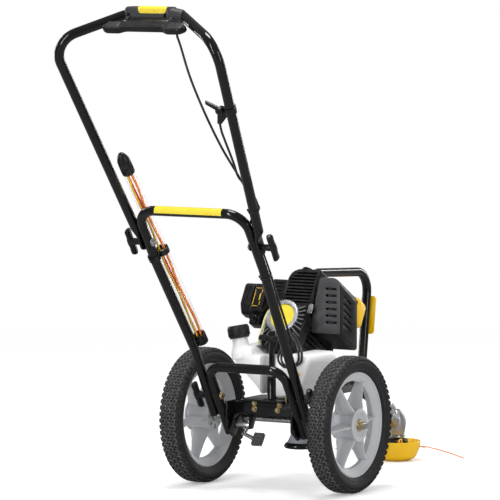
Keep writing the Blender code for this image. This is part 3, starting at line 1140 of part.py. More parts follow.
def add_top_cover():
    """The cylinder's cover, one shoulder cut back, with louvres across its rear face."""
    low = CASE_TOP + SEAT_GAP
    outline = [(COVER_LEFT, low), (COVER_RIGHT, low), (COVER_RIGHT, COVER_TOP - 0.010), (COVER_RIGHT - 0.010, COVER_TOP), (COVER_LEFT + COVER_SHOULDER, COVER_TOP)]
    outline += [(COVER_LEFT + COVER_SHOULDER * 0.3, COVER_TOP - COVER_SHOULDER * 0.4), (COVER_LEFT, COVER_TOP - COVER_SHOULDER * 1.1)]
    cover = piece("top_cover", prism(outline, "Y", COVER_REAR, COVER_FRONT, COVER_EDGE), "black_plastic", "engine")
    pitch = (COVER_TOP - low - 0.012) / LOUVRE_COUNT
    slots = []
    for k in range(LOUVRE_COUNT):
        middle = low + 0.006 + pitch * (k + 0.5)
        left = COVER_LEFT + 0.007 + max(0.0, middle + 0.004 - COVER_TOP + COVER_SHOULDER * 1.1)
        slots.append(block((left, COVER_REAR - OVERLAP, middle - LOUVRE_WIDTH / 2), (COVER_RIGHT - 0.009, COVER_REAR + LOUVRE_DEPTH, middle + LOUVRE_WIDTH / 2)))
    cut(cover, "engine", together(*slots))


def in_machine(shape):
    """Turns a shape of the engine's frame into the machine's."""
    bmesh.ops.transform(shape, matrix=ENGINE_PLACE, verts=shape.verts)
    return shape


def add_muffler_guard():
    """The slotted guard over the muffler: upright at the rear and front, its top and bottom sloping with the engine."""
    rear, front, right = GUARD_REAR, GUARD_FRONT, GUARD_RIGHT
    drop = (front - rear) * math.tan(math.radians(CRANK_SLOPE))
    corners = [(CLUTCH_MIDDLE + GUARD_TO_CLUTCH, GUARD_BOTTOM), (right, GUARD_BOTTOM)]
    corners += [(right, GUARD_TOP - 0.012), (right - 0.014, GUARD_TOP), (GUARD_LEFT_HIGH, GUARD_TOP)]
    body = skinned([[Vector((x, rear, z)) for x, z in corners], [Vector((x, front, z - drop)) for x, z in corners]])
    bmesh.ops.bevel(body, geom=body.edges, offset=GUARD_ROUND, segments=1, affect="EDGES")
    guard = piece("muffler_guard", outward(body), "grey_plastic", "power")
    fan_room = block((0, -OVERLAP, FAN_BOTTOM), (FAN_RIGHT + SEAT_GAP, CASE_REAR, FAN_TOP + 0.001))
    case_room = block((0, CASE_REAR - OVERLAP, CASE_BOTTOM), (CASE_RIGHT + SEAT_GAP, CASE_FRONT + SEAT_GAP, CASE_TOP))
    cover_room = block((0, COVER_REAR - OVERLAP, CASE_TOP - OVERLAP), (COVER_RIGHT + SEAT_GAP, COVER_FRONT + OVERLAP, COVER_TOP))
    cut(guard, "power", in_machine(fan_room), in_machine(case_room), in_machine(cover_room))
    left = GUARD_LEFT_HIGH + 0.018
    slots = []
    for k in range(GUARD_SLOTS):
        middle = GUARD_SLOT_TOP - GUARD_SLOT_PITCH * k
        low, high = middle - GUARD_SLOT_WIDTH / 2, middle + GUARD_SLOT_WIDTH / 2
        slots.append(block((left, rear - OVERLAP, low), (left + GUARD_SLOT_LENGTH, rear + GUARD_SLOT_DEPTH, high)))
        if k:
            slots.append(block((right - GUARD_SLOT_DEPTH, rear + 0.020, low - 0.012), (right + OVERLAP, rear + 0.060, high - 0.012)))
    cut(guard, "power", together(*slots))


def add_air_filter():
    """The filter's base with its slotted intake box, and the cover clipped to its left."""
    base_block = block((FILTER_SPLIT + SEAT_GAP, FILTER_REAR, FILTER_BOTTOM), (FILTER_RIGHT, FILTER_FRONT, FILTER_TOP), 0.005)
    base = piece("air_filter_base", base_block, "black_plastic", "engine")
    fuse(base, "engine", block((FILTER_RIGHT - OVERLAP, INTAKE_REAR, INTAKE_BOTTOM), (COVER_LEFT - SEAT_GAP, INTAKE_FRONT, INTAKE_TOP), 0.003))
    carburettor = (FILTER_SPLIT + 0.002, FILTER_REAR + 0.012, FILTER_BOTTOM - 0.030)
    fuse(base, "engine", block(carburettor, (FILTER_RIGHT - 0.002, FILTER_FRONT - 0.012, FILTER_BOTTOM + 0.004), 0.004))
    slots = [block((COVER_LEFT - 0.038, INTAKE_REAR - OVERLAP, INTAKE_TOP - rise), (COVER_LEFT - 0.014, INTAKE_REAR + 0.004, INTAKE_TOP - rise + 0.004)) for rise in (0.014, 0.026, 0.038)]
    cut(base, "engine", together(*slots))
    profile = [(FILTER_REAR - 0.002, FILTER_BOTTOM + 0.020), (FILTER_REAR + 0.016, FILTER_BOTTOM - 0.002), (FILTER_FRONT - 0.012, FILTER_BOTTOM - 0.002), (FILTER_FRONT + 0.002, FILTER_BOTTOM + 0.016)]
    profile += [(FILTER_FRONT + 0.002, FILTER_TOP - 0.010), (FILTER_FRONT - 0.010, FILTER_TOP + 0.002), (FILTER_REAR + 0.006, FILTER_TOP + 0.002), (FILTER_REAR - 0.002, FILTER_TOP - 0.006)]
    piece("air_filter_cover", prism(profile, "X", FILTER_LEFT, FILTER_SPLIT, 0.004), "black_plastic", "engine")


def add_drive():
    """The yellow clutch housing at the front of the engine, and the drive tube from it."""
    low, high = CASE_FRONT + SEAT_GAP, CASE_FRONT + SEAT_GAP + CLUTCH_DEPTH
    plate = [(CLUTCH_LEFT, CLUTCH_BOTTOM + 0.030), (CLUTCH_LEFT + 0.030, CLUTCH_BOTTOM)]
    plate += [(CLUTCH_MIDDLE - 0.020, CLUTCH_BOTTOM), (CLUTCH_MIDDLE, CLUTCH_BOTTOM + 0.025)]
    plate += [(CLUTCH_MIDDLE, CLUTCH_SHELF), (CLUTCH_RIGHT, CLUTCH_SHELF), (CLUTCH_RIGHT, CLUTCH_TOP - 0.014)]
    plate += [(CLUTCH_RIGHT - 0.016, CLUTCH_TOP), (CLUTCH_LEFT + 0.024, CLUTCH_TOP), (CLUTCH_LEFT, CLUTCH_TOP - 0.044)]
    housing = piece("clutch_housing", prism(plate, "Y", low, high, 0.006), "yellow_plastic", "engine")
    cone = [(0, high - OVERLAP), (CLUTCH_CONE_RADIUS, high - OVERLAP), (CLUTCH_CONE_RADIUS, high + 0.010), (CLUTCH_NOSE_RADIUS, CLUTCH_NOSE - 0.026), (CLUTCH_NOSE_RADIUS, CLUTCH_NOSE), (0, CLUTCH_NOSE)]
    fuse(housing, "engine", turned(cone, "Y", steps=20))
    tube_start = CLUTCH_NOSE - 0.028
    cut(housing, "engine", rod(((0, tube_start - SEAT_GAP, 0), (0, CLUTCH_NOSE + OVERLAP, 0)), DRIVE_TUBE_RADIUS + SEAT_GAP, 16))
    tube_end = gear_sleeve_end() - 0.014
    piece("drive_tube", pin((0, tube_start, 0), (0, tube_end, 0), DRIVE_TUBE_RADIUS, 16), "black_paint", "engine")


def gear_sleeve_end():
    """How far down the crank axis the gear case lies."""
    return (HEAD_Y - ENGINE_AT[0]) / math.cos(math.radians(CRANK_SLOPE))


def add_gear_case():
    """The cast gear case: an upright body, the sloping sleeve for the tube, and the shield under it."""
    middle = (GEAR_TOP + GEAR_BOTTOM) / 2
    profile = [(0, GEAR_BOTTOM), (GEAR_RADIUS - 0.008, GEAR_BOTTOM), (GEAR_RADIUS - 0.003, GEAR_BOTTOM + 0.010), (GEAR_RADIUS, middle), (GEAR_RADIUS - 0.004, middle + 0.020), (GEAR_RADIUS - 0.012, GEAR_TOP - 0.004), (GEAR_RADIUS - 0.018, GEAR_TOP), (0, GEAR_TOP)]
    case = piece("gear_case", turned(profile, "Z", (0, HEAD_Y, 0), 16), "aluminium", "power")
    end = gear_sleeve_end()
    sleeve = rod((crank_point(end - GEAR_SLEEVE_LENGTH), crank_point(end)), GEAR_SLEEVE_RADIUS, 16)
    lug = block((-0.007, HEAD_Y - 0.042, 0.118), (0.007, HEAD_Y - 0.014, 0.152), 0.002)
    fuse(case, "power", sleeve, lug)
    cut(case, "power", rod((crank_point(end - GEAR_SLEEVE_LENGTH - OVERLAP), crank_point(end - 0.014 + SEAT_GAP)), DRIVE_TUBE_RADIUS + SEAT_GAP, 16))
    cut(case, "power", rod(((0, HEAD_Y, GEAR_BOTTOM - OVERLAP), (0, HEAD_Y, SPINDLE_TOP + RUNNING_GAP)), SPINDLE_RADIUS + RUNNING_GAP, 16))
    top = GEAR_BOTTOM - SEAT_GAP
    shield = [(SPINDLE_RADIUS + 0.002, top), (SHIELD_RADIUS, top), (SHIELD_RADIUS, top - SHIELD_THICKNESS + 0.001), (SHIELD_RADIUS - 0.001, top - SHIELD_THICKNESS), (SPINDLE_RADIUS + 0.002, top - SHIELD_THICKNESS)]
    piece("head_shield", turned(shield, "Z", (0, HEAD_Y, 0), 16, closed=True), "zinc_steel", "power")


def add_head():
    """The turning head: a plate on the spindle, the ground dish, and two lines threaded through it."""
    seat = DISH_HEIGHT - DISH_RECESS
    low = seat + SEAT_GAP
    profile = [(0, low), (HEAD_RADIUS, low), (HEAD_RADIUS, low + HEAD_THICKNESS - 0.004), (HEAD_RADIUS - 0.004, low + HEAD_THICKNESS), (SPINDLE_RADIUS, low + HEAD_THICKNESS), (SPINDLE_RADIUS, SPINDLE_TOP), (0, SPINDLE_TOP)]
    piece("head_plate", turned(profile, "Z", (0, HEAD_Y, 0), 20), "black_plastic", "head")
    lip = DISH_RADIUS - DISH_LIP
    span = DISH_RADIUS - DISH_FLAT_RADIUS
    profile = [(0, 0), (DISH_FLAT_RADIUS, 0), (DISH_FLAT_RADIUS + span * 0.45, DISH_HEIGHT * 0.16), (DISH_FLAT_RADIUS + span * 0.80, DISH_HEIGHT * 0.46), (DISH_RADIUS - 0.001, DISH_HEIGHT * 0.78)]
    profile += [(DISH_RADIUS, DISH_HEIGHT - 0.003), (DISH_RADIUS - 0.002, DISH_HEIGHT), (lip, DISH_HEIGHT), (lip - 0.003, seat), (0, seat)]
    dish = piece("ground_dish", turned(profile, "Z", (0, HEAD_Y, 0), 32), "yellow_plastic", "head")
    for name, height, turn in (("cutting_line_across", LINE_HEIGHTS[0], 0), ("cutting_line_along", LINE_HEIGHTS[1], 90)):
        place = Matrix.Translation((0, HEAD_Y, 0)) @ Matrix.Rotation(math.radians(turn), 4, "Z")
        bore = rod(((-DISH_RADIUS - OVERLAP, LINE_OFFSET, height), (DISH_RADIUS + OVERLAP, LINE_OFFSET, height)), LINE_RADIUS + SEAT_GAP, 6, side=(0, 0, 1))
        bmesh.ops.transform(bore, matrix=place, verts=bore.verts)
        cut(dish, "head", bore)
        right = [(x * LINE_REACH, LINE_OFFSET, height - LINE_DROP * max(0.0, (x - 0.36) / 0.64) ** 1.5) for x in (0.36, 0.50, 0.65, 0.82, 1.0)]
        route = [(-x, y, z) for x, y, z in reversed(right)] + right
        line = rod(route, LINE_RADIUS, 6, side=(0, 0, 1))
        bmesh.ops.transform(line, matrix=place, verts=line.verts)
        piece(name, line, "orange_line", "head")


def add_tank():
    """The fuel tank, hollowed behind for the post, with its neck, ribbed cap and fuel line."""
    body = prism(TANK_OUTLINE, "Y", TANK_REAR, TANK_FRONT, TANK_ROUND)
    tank = piece("fuel_tank", body, "tank_plastic", "power")
    neck = turned([(0, -0.018), (NECK_RADIUS + 0.002, -0.018), (NECK_RADIUS, NECK_RISE), (0, NECK_RISE)], "Z", steps=16)
    bmesh.ops.transform(neck, matrix=NECK_PLACE, verts=neck.verts)
    fuse(tank, "power", neck)
    cut(tank, "power", block((-TANK_POST_ROOM, TANK_REAR - OVERLAP, 0.23), (TANK_POST_ROOM, SWIVEL_Y + TANK_POST_ROOM, 0.38)))
    room = FAN_TO_TANK
    cut(tank, "power", in_machine(block((FAN_LEFT - room, -0.01, FAN_BOTTOM - room), (FAN_RIGHT + room, 0.25, 0.10))))
    cut(tank, "power", block((-CARRIER_HALF_WIDTH - OVERLAP, CARRIER_REAR, 0.23), (CARRIER_HALF_WIDTH + OVERLAP, CARRIER_FRONT + OVERLAP, CARRIER_TOP + SEAT_GAP)))
    rows = []
    low = NECK_RISE + SEAT_GAP
    for height, share in ((low, 0.94), (low + 0.003, 1.0), (low + CAP_HEIGHT - 0.004, 1.0), (low + CAP_HEIGHT, 0.90)):
        row = []
        for k in range(2 * CAP_RIBS):
            angle = math.tau * k / (2 * CAP_RIBS)
            radius = CAP_RADIUS * share - (0.0018 if k % 2 else 0.0)
            row.append(NECK_PLACE @ Vector((radius * math.cos(angle), radius * math.sin(angle), height)))
        rows.append(row)
    piece("fuel_cap", skinned(rows), "black_plastic", "fuel_cap", sharp=50)
    start = Vector((*FUEL_LINE_START, TANK_TOP + SEAT_GAP))
    end = crank_point(INTAKE_REAR + 0.012, INTAKE_BOTTOM - SEAT_GAP, FILTER_RIGHT + 0.009)
    drop = crank_point(0, 0.016) - crank_point(0)
    route = [start, start + Vector((0, 0, 0.014)), start + Vector((-0.001, 0.018, 0.042)), start + Vector((-0.003, 0.042, 0.072)), end - drop, end]
    piece("fuel_line", rod(smooth(route, 0.012), FUEL_LINE_RADIUS, 8), "yellow_plastic", "power")


def add_hoop():
    """The bumper hoop over the front, flattened onto the cover, clamped on the tube, with its plate."""
    across = Vector((1, 0, 0))
    seat = COVER_TOP + SEAT_GAP + TAB_THICKNESS / 2
    start, end = crank_point(HOOP_TAB_START, seat), crank_point(HOOP_TAB_END, seat)
    along = (end - start).normalized()
    rows = []
    for place, width in ((0, 0.45), (0.004, 0.8), (0.010, 1.0)):
        rows.append(ring(start + along * place, across, along.cross(across), width * 0.015, TAB_THICKNESS / 2, 0.5))
    rows.append(ring(end, across, along.cross(across), 0.015, TAB_THICKNESS / 2, 0.5))
    tube_height = ENGINE_AT[1] - (HOOP_FOOT - ENGINE_AT[0]) * math.tan(math.radians(CRANK_SLOPE))
    corner = Vector((0, HOOP_FRONT, HOOP_TOP_FRONT))
    foot = Vector((0, HOOP_FOOT, tube_height + 0.030))
    path = bent([end + Vector((0, 0.034, 0.001)), corner, foot], [HOOP_BEND])
    rows += [ring(*place, HOOP_RADIUS, HOOP_RADIUS) for place in framed(path, across)]
    hoop = piece("bumper_hoop", skinned(rows), "black_paint", "power")
    half = HOOP_CLAMP_HALF
    low, high = tube_height - 0.022, tube_height + 0.036
    fuse(hoop, "power", block((-half, HOOP_FOOT - HOOP_CLAMP_LENGTH / 2, low), (half, HOOP_FOOT + HOOP_CLAMP_LENGTH / 2, high), 0.002))
    cut(hoop, "power", rod((crank_point(0.38), crank_point(0.66)), DRIVE_TUBE_RADIUS + SEAT_GAP, 16))
    front = HOOP_RADIUS + SEAT_GAP
    plate = prism([(-PLATE_HALF, PLATE_LOW), (PLATE_HALF, PLATE_LOW), (PLATE_HALF, PLATE_HIGH), (-PLATE_HALF, PLATE_HIGH)], "Y", front, front + PLATE_THICKNESS, 0.006, ends=False)
    leg = (corner - foot).normalized()
    lean = Vector((0, 0, 1)).rotation_difference(leg).to_matrix()
    bmesh.ops.rotate(plate, cent=(0, 0, PLATE_LOW), matrix=lean, verts=plate.verts)
    bmesh.ops.translate(plate, verts=plate.verts, vec=on_line(foot, corner, PLATE_LOW) - Vector((0, 0, PLATE_LOW)))
    piece("bumper_plate", plate, "yellow_plastic", "power")


def leg_front(height, across=0.0):
    """A point against the front of the right middle leg, as a cable lies."""
    leg = on_line(KNEE, MIDDLE_CORNER, height)
    return Vector((MIDDLE_CORNER.x + across, *leg.yz)) + HANDLE_FORWARD * CABLE_OFFSET


def upper_leg_front(height, across=0.0):
    """A point against the front of the right upper leg."""
    leg = on_line(UPPER_LEG_FOOT, UPPER_CORNER_AT, height)
    return leg + Vector((across, 0, 0)) + HANDLE_FORWARD * CABLE_OFFSET


def strand(route, across=0.0):
    """One cable along a route, shifted sideways."""
    return rod(smooth([Vector(point) + Vector((across, 0, 0)) for point in route], CABLE_STEP), CABLE_RADIUS, CABLE_SIDES)


def sleeve(start, end):
    """A flat sleeve round the two cables, between two points."""
    places = framed([Vector(start), Vector(end)], Vector((1, 0, 0)))
    return skinned([ring(*place, CABLE_TWIN + CABLE_RADIUS + 0.001, CABLE_RADIUS + 0.001, 0.7, 8) for place in places])


def tie(leg, along):
    """A tie strap round a leg, with a bridge over the two cables on its front."""
    half, side, forward = along * TIE_WIDTH / 2, Vector((1, 0, 0)), HANDLE_FORWARD
    outer = TUBE_RADIUS + SEAT_GAP + TIE_WALL
    over = outer + CABLE_RADIUS
    wide = CABLE_TWIN + CABLE_RADIUS + 0.003
    bridge = [side * wide + forward * 0.008, side * wide + forward * over, forward * over - side * wide, forward * 0.008 - side * wide]
    return rod((leg - half, leg + half), outer), skinned([[leg + p - half for p in bridge], [leg + p + half for p in bridge]])


def add_upper_cables():
    """The two cables of the upper handle, tied to its right leg."""
    start = DRIVE_CABLE_START - Vector((0, 0, DRIVE_CABLE_GLAND_LENGTH + SEAT_GAP))
    meet = on_line(UPPER_LEG_FOOT, UPPER_CORNER_AT, CABLES_MEET_HEIGHT)
    meet += HANDLE_FORWARD * CABLE_OFFSET - Vector((TUBE_RADIUS + 0.002, 0, 0))
    twin = Vector((CABLE_TWIN, 0, 0))
    route = [start, start - Vector((0, 0, 0.022)), *DRIVE_CABLE_WAY, meet - twin]
    route += [upper_leg_front(TIE_HEIGHTS[0], -CABLE_TWIN)]
    bend = UPPER_PIVOT_HEIGHT + CABLE_BEND_OVER_PIVOT
    route += [leg_front(bend, -CABLE_TWIN) + HANDLE_FORWARD * 0.003, leg_front(CABLE_SPLIT_HEIGHT, -CABLE_TWIN)]
    drive = piece("drive_cable", strand(route), "cable_black", "upper")
    leg = on_line(UPPER_LEG_FOOT, UPPER_CORNER_AT, TIE_HEIGHTS[0])
    fuse(drive, "upper", *tie(leg, LEG_ALONG))
    reach = LEG_ALONG * TIE_WIDTH * 3
    cut(drive, "upper", rod((leg - reach, leg + reach), TUBE_RADIUS + SEAT_GAP))
    ferrule = THROTTLE_FERRULE - LEG_ALONG * 0.0015 - HANDLE_FORWARD * 0.004
    route = [ferrule, ferrule - LEG_ALONG * 0.024, *THROTTLE_CABLE_WAY]
    route += [meet + twin, upper_leg_front(TIE_HEIGHTS[0], CABLE_TWIN)]
    route += [leg_front(bend, CABLE_TWIN) + HANDLE_FORWARD * 0.003, leg_front(CABLE_SPLIT_HEIGHT, CABLE_TWIN)]
    piece("throttle_cable", strand(route), "cable_black", "upper")
    through = upper_leg_front(TIE_HEIGHTS[0], CABLE_TWIN)
    cut(drive, "upper", rod((through - reach, through + reach), CABLE_RADIUS + TWIN_GAP, CABLE_SIDES))


def add_lower_cables():
    """The same two cables on down the middle leg, and then free to the engine."""
    route = [leg_front(CABLE_SPLIT_HEIGHT) - LEG_RISE * SEAT_GAP * 2] + [leg_front(height) for height in (UPPER_PIVOT_HEIGHT, TIE_HEIGHTS[1])]
    route += [leg_front(CABLE_BEND_LOW, -0.004), leg_front(CABLE_LEAVES, -0.009)]
    loom = piece("cable_pair", strand(route, -CABLE_TWIN), "cable_black", "middle")
    fuse(loom, "middle", strand(route, CABLE_TWIN))
    shoulder = on_line(KNEE, MIDDLE_CORNER, MIDDLE_SHOULDER_HEIGHT)
    shoulder.x = MIDDLE_CORNER.x
    leg = on_line(KNEE, shoulder, TIE_HEIGHTS[1])
    along = (shoulder - KNEE).normalized()
    fuse(loom, "middle", *tie(leg, along))
    cut(loom, "middle", rod((leg - along * TIE_WIDTH * 2, leg + along * TIE_WIDTH * 2), TUBE_RADIUS + SEAT_GAP))
    top = route[-1] + (route[-1] - route[-2]).normalized() * SEAT_GAP * 2
    joint = Vector(ENGINE_CABLE_START)
    way = Vector((0, 0.97, -0.26)).normalized()
    leaving = (route[-1] - route[-2]).normalized()
    lead = [top, top + leaving * 0.014, *BASE_CABLE_WAY, joint - way * 0.016, joint]
    base = piece("base_cable", strand(lead, -CABLE_TWIN), "cable_black", "frame")
    fuse(base, "frame", strand(lead, CABLE_TWIN), sleeve(joint - way * 0.013, joint - way * 0.001))
    start = joint + way * SEAT_GAP * 2
    back = crank_point(0.014) - crank_point(0)
    ends = [crank_point(STARTER_REAR - SEAT_GAP, FAN_ENTRY[1], FAN_ENTRY[0] + across) for across in (0, 0.010)]
    runs = []
    for end, across in zip(ends, (-CABLE_TWIN, CABLE_TWIN)):
        shift = Vector((across, 0, 0))
        loop = [Vector(point) + shift for point in ENGINE_CABLE_LOOP]
        runs.append([start + shift, start + shift + way * 0.010, *loop, end - back, end])
    engine = piece("engine_cable", strand(runs[0]), "cable_black", "power")
    fuse(engine, "power", strand(runs[1]), sleeve(start + way * 0.001, start + way * 0.009))


def centre_footprint():
    """Moves the machine so that the middle of its outline, seen from above, is the origin."""
    bpy.context.view_layer.update()
    graph = bpy.context.evaluated_depsgraph_get()
    lengths = []
    for thing in bpy.context.scene.objects:
        if thing.type == "MESH" and not thing.hide_render:
            seen = thing.evaluated_get(graph)
            lengths += [(seen.matrix_world @ Vector(corner)).y for corner in seen.bound_box]
    forward = -round((min(lengths) + max(lengths)) / 2, 4)
    carriers["frame"][0].location = (0, forward, 0)
    print("the axle lies at y", forward)


def main():
    empty_scene()
    add_carriers()
    add_wheels()
    add_axle()
    add_chassis()
    add_base_loop()
    add_middle_handle()
    add_upper_handle()
    add_bolts_and_knobs()
    add_control_housing()
    add_paddle()
    add_throttle()
    add_line_store()
    add_pedal()
    add_rest_foot()
    add_swivel()
    add_starter()
    add_crankcase()
    add_top_cover()
    add_muffler_guard()
    add_air_filter()
    add_drive()
    add_gear_case()
    add_head()
    add_tank()
    add_hoop()
    add_upper_cables()
    add_lower_cables()
    centre_footprint()


main()
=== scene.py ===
"""The finished look of a petrol string trimmer on two wheels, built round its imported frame.

Metres, +X right, +Y forward, +Z up. The sub-assemblies give their places from the ground point under
the wheel axle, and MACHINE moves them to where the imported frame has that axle. The engine has a frame
of its own, whose +Y runs down the crank axis.
"""

import json
import logging
import math
from dataclasses import dataclass
from enum import Enum
from typing import Callable, Iterable, Sequence

import bpy
from mathutils import Matrix, Vector
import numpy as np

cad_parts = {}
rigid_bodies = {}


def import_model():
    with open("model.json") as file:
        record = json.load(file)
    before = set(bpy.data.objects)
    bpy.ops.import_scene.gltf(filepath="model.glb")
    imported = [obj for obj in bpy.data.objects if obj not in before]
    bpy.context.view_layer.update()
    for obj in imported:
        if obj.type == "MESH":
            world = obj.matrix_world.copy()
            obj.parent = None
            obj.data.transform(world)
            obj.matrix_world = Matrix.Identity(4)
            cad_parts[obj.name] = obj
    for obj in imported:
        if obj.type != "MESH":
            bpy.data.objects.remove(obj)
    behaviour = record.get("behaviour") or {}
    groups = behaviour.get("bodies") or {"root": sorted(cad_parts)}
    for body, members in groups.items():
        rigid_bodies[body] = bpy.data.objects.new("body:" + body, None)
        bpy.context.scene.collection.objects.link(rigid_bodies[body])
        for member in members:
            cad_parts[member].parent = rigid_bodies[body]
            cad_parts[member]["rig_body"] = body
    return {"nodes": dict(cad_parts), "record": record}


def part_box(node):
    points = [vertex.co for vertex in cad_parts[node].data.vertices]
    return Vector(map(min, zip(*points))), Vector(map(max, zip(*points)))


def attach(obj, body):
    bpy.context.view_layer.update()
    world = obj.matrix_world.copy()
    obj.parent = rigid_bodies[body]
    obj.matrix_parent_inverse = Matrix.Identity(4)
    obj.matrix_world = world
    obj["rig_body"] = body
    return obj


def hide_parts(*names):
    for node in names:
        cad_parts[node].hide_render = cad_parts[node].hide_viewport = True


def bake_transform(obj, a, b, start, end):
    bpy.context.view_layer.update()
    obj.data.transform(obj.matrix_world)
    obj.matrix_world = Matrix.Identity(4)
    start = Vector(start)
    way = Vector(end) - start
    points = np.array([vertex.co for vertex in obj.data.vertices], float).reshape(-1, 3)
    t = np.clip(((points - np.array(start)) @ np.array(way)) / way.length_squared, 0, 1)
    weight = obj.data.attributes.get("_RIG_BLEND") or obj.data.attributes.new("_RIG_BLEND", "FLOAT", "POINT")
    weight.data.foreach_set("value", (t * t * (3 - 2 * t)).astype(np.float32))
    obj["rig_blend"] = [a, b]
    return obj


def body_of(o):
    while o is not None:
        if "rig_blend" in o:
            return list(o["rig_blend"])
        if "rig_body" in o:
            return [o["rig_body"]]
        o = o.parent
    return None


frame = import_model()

LOG = logging.getLogger("trimmer")
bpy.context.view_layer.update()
AXLE_LOW, AXLE_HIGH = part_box("axle")
MACHINE = Matrix.Translation((0, (AXLE_LOW.y + AXLE_HIGH.y) / 2, 0))
QUARTER = math.radians(90)
CRANK_SLOPE = math.radians(30.0)
CRANK_Y, CRANK_Z = 0.054, 0.444  # where the crank axis leaves the fan housing
ENGINE = MACHINE @ Matrix.Translation((0, CRANK_Y, CRANK_Z)) @ Matrix.Rotation(-CRANK_SLOPE, 4, "X")
FROM_ENGINE = MACHINE.inverted() @ ENGINE
POST_Y = -0.019  # the swivel post's middle
HEAD_Y = 0.655  # the line head's middle
FIT = 0.0003  # the gap between pieces that touch
MERGE = 0.00001  # points closer than this are one
RIGHT, FRONT, UP = Vector((1, 0, 0)).freeze(), Vector((0, 1, 0)).freeze(), Vector((0, 0, 1)).freeze()
REAR = Vector((0, -1, 0)).freeze()
WHITE = (1.0, 1.0, 1.0)
DUST_COLOUR = (0.42, 0.4, 0.36)

Colour = tuple[float, float, float]
Sizes = tuple[float, ...]
Point = Sequence[float]
Outline = Sequence[tuple[float, float]]
Thing = bpy.types.Object
Tree = bpy.types.NodeTree
Node = bpy.types.Node
Socket = bpy.types.NodeSocket


# Node trees


class Wiring:
    """Adds and joins the nodes of one material, world or node group."""

    def __init__(self, tree: Tree) -> None:
        """Starts on an empty tree.

        Args:
            tree: the node tree to fill.
        """
        self.tree = tree
        tree.nodes.clear()

    def add(self, kind: str, settings: dict | None = None, **sockets: object) -> Node:
        """Adds a node, and sets or joins its inputs.

        Args:
            kind: the node's type name without its ShaderNode prefix.
            settings: the node's own properties.
            sockets: a value or an output socket for each named input, with _ for a space.

        Returns:
            The node.
        """
        prefix = "" if kind.startswith("Node") else "ShaderNode"
        node = self.tree.nodes.new(prefix + kind)
        for name, value in (settings or {}).items():
            setattr(node, name, value)
        for name, value in sockets.items():
            self.feed(node, int(name[1:]) if name[1:].isdigit() else name.replace("_", " "), value)
        return node

    def feed(self, node: Node, socket: str | int, value: object) -> None:
        """Gives one input a value or joins an output to it.

        Args:
            node: the node.
            socket: the input's name or number.
            value: a number, a colour or an output socket.
        """
        target = node.inputs[socket]
        if isinstance(value, Socket):
            self.tree.links.new(value, target)
        elif isinstance(value, tuple) and len(value) == 3 and target.type == "RGBA":
            target.default_value = (*value, 1.0)
        else:
            target.default_value = value

    def math(self, operation: str, first: object, second: object = 0.0) -> Socket:
        """A sum of two values.

        Args:
            operation: the Math node's operation.
            first: the first value or socket.
            second: the second value or socket.

        Returns:
            The result's socket.
        """
        return self.add("Math", {"operation": operation}, i0=first, i1=second).outputs[0]

    def blend(self, share: object, first: object, second: object, kind: str = "MIX") -> Socket:
        """Two colours mixed.

        Args:
            share: how much of the second colour.
            first: the first colour or socket.
            second: the second colour or socket.
            kind: the blend type.

        Returns:
            The colour's socket.
        """
        node = self.add("Mix", {"data_type": "RGBA", "blend_type": kind})
        for socket, value in ((0, share), (6, first), (7, second)):
            self.feed(node, socket, value)
        return node.outputs[2]

    def ramp(self, value: object, low: float, high: float, out_low: float = 0.0, out_high: float = 1.0) -> Socket:
        """A value stretched from one range to another, and kept inside it.

        Args:
            value: the value's socket.
            low: where the range starts.
            high: where it ends.
            out_low: the result at the start.
            out_high: the result at the end.

        Returns:
            The result's socket.
        """
        return self.add("MapRange", i0=value, i1=low, i2=high, i3=out_low, i4=out_high).outputs[0]


class Effect(Enum):
    """The surface effects that several materials share."""

    GRAIN = "moulded grain"
    WEAR = "edge wear"
    DUST = "settled dust"


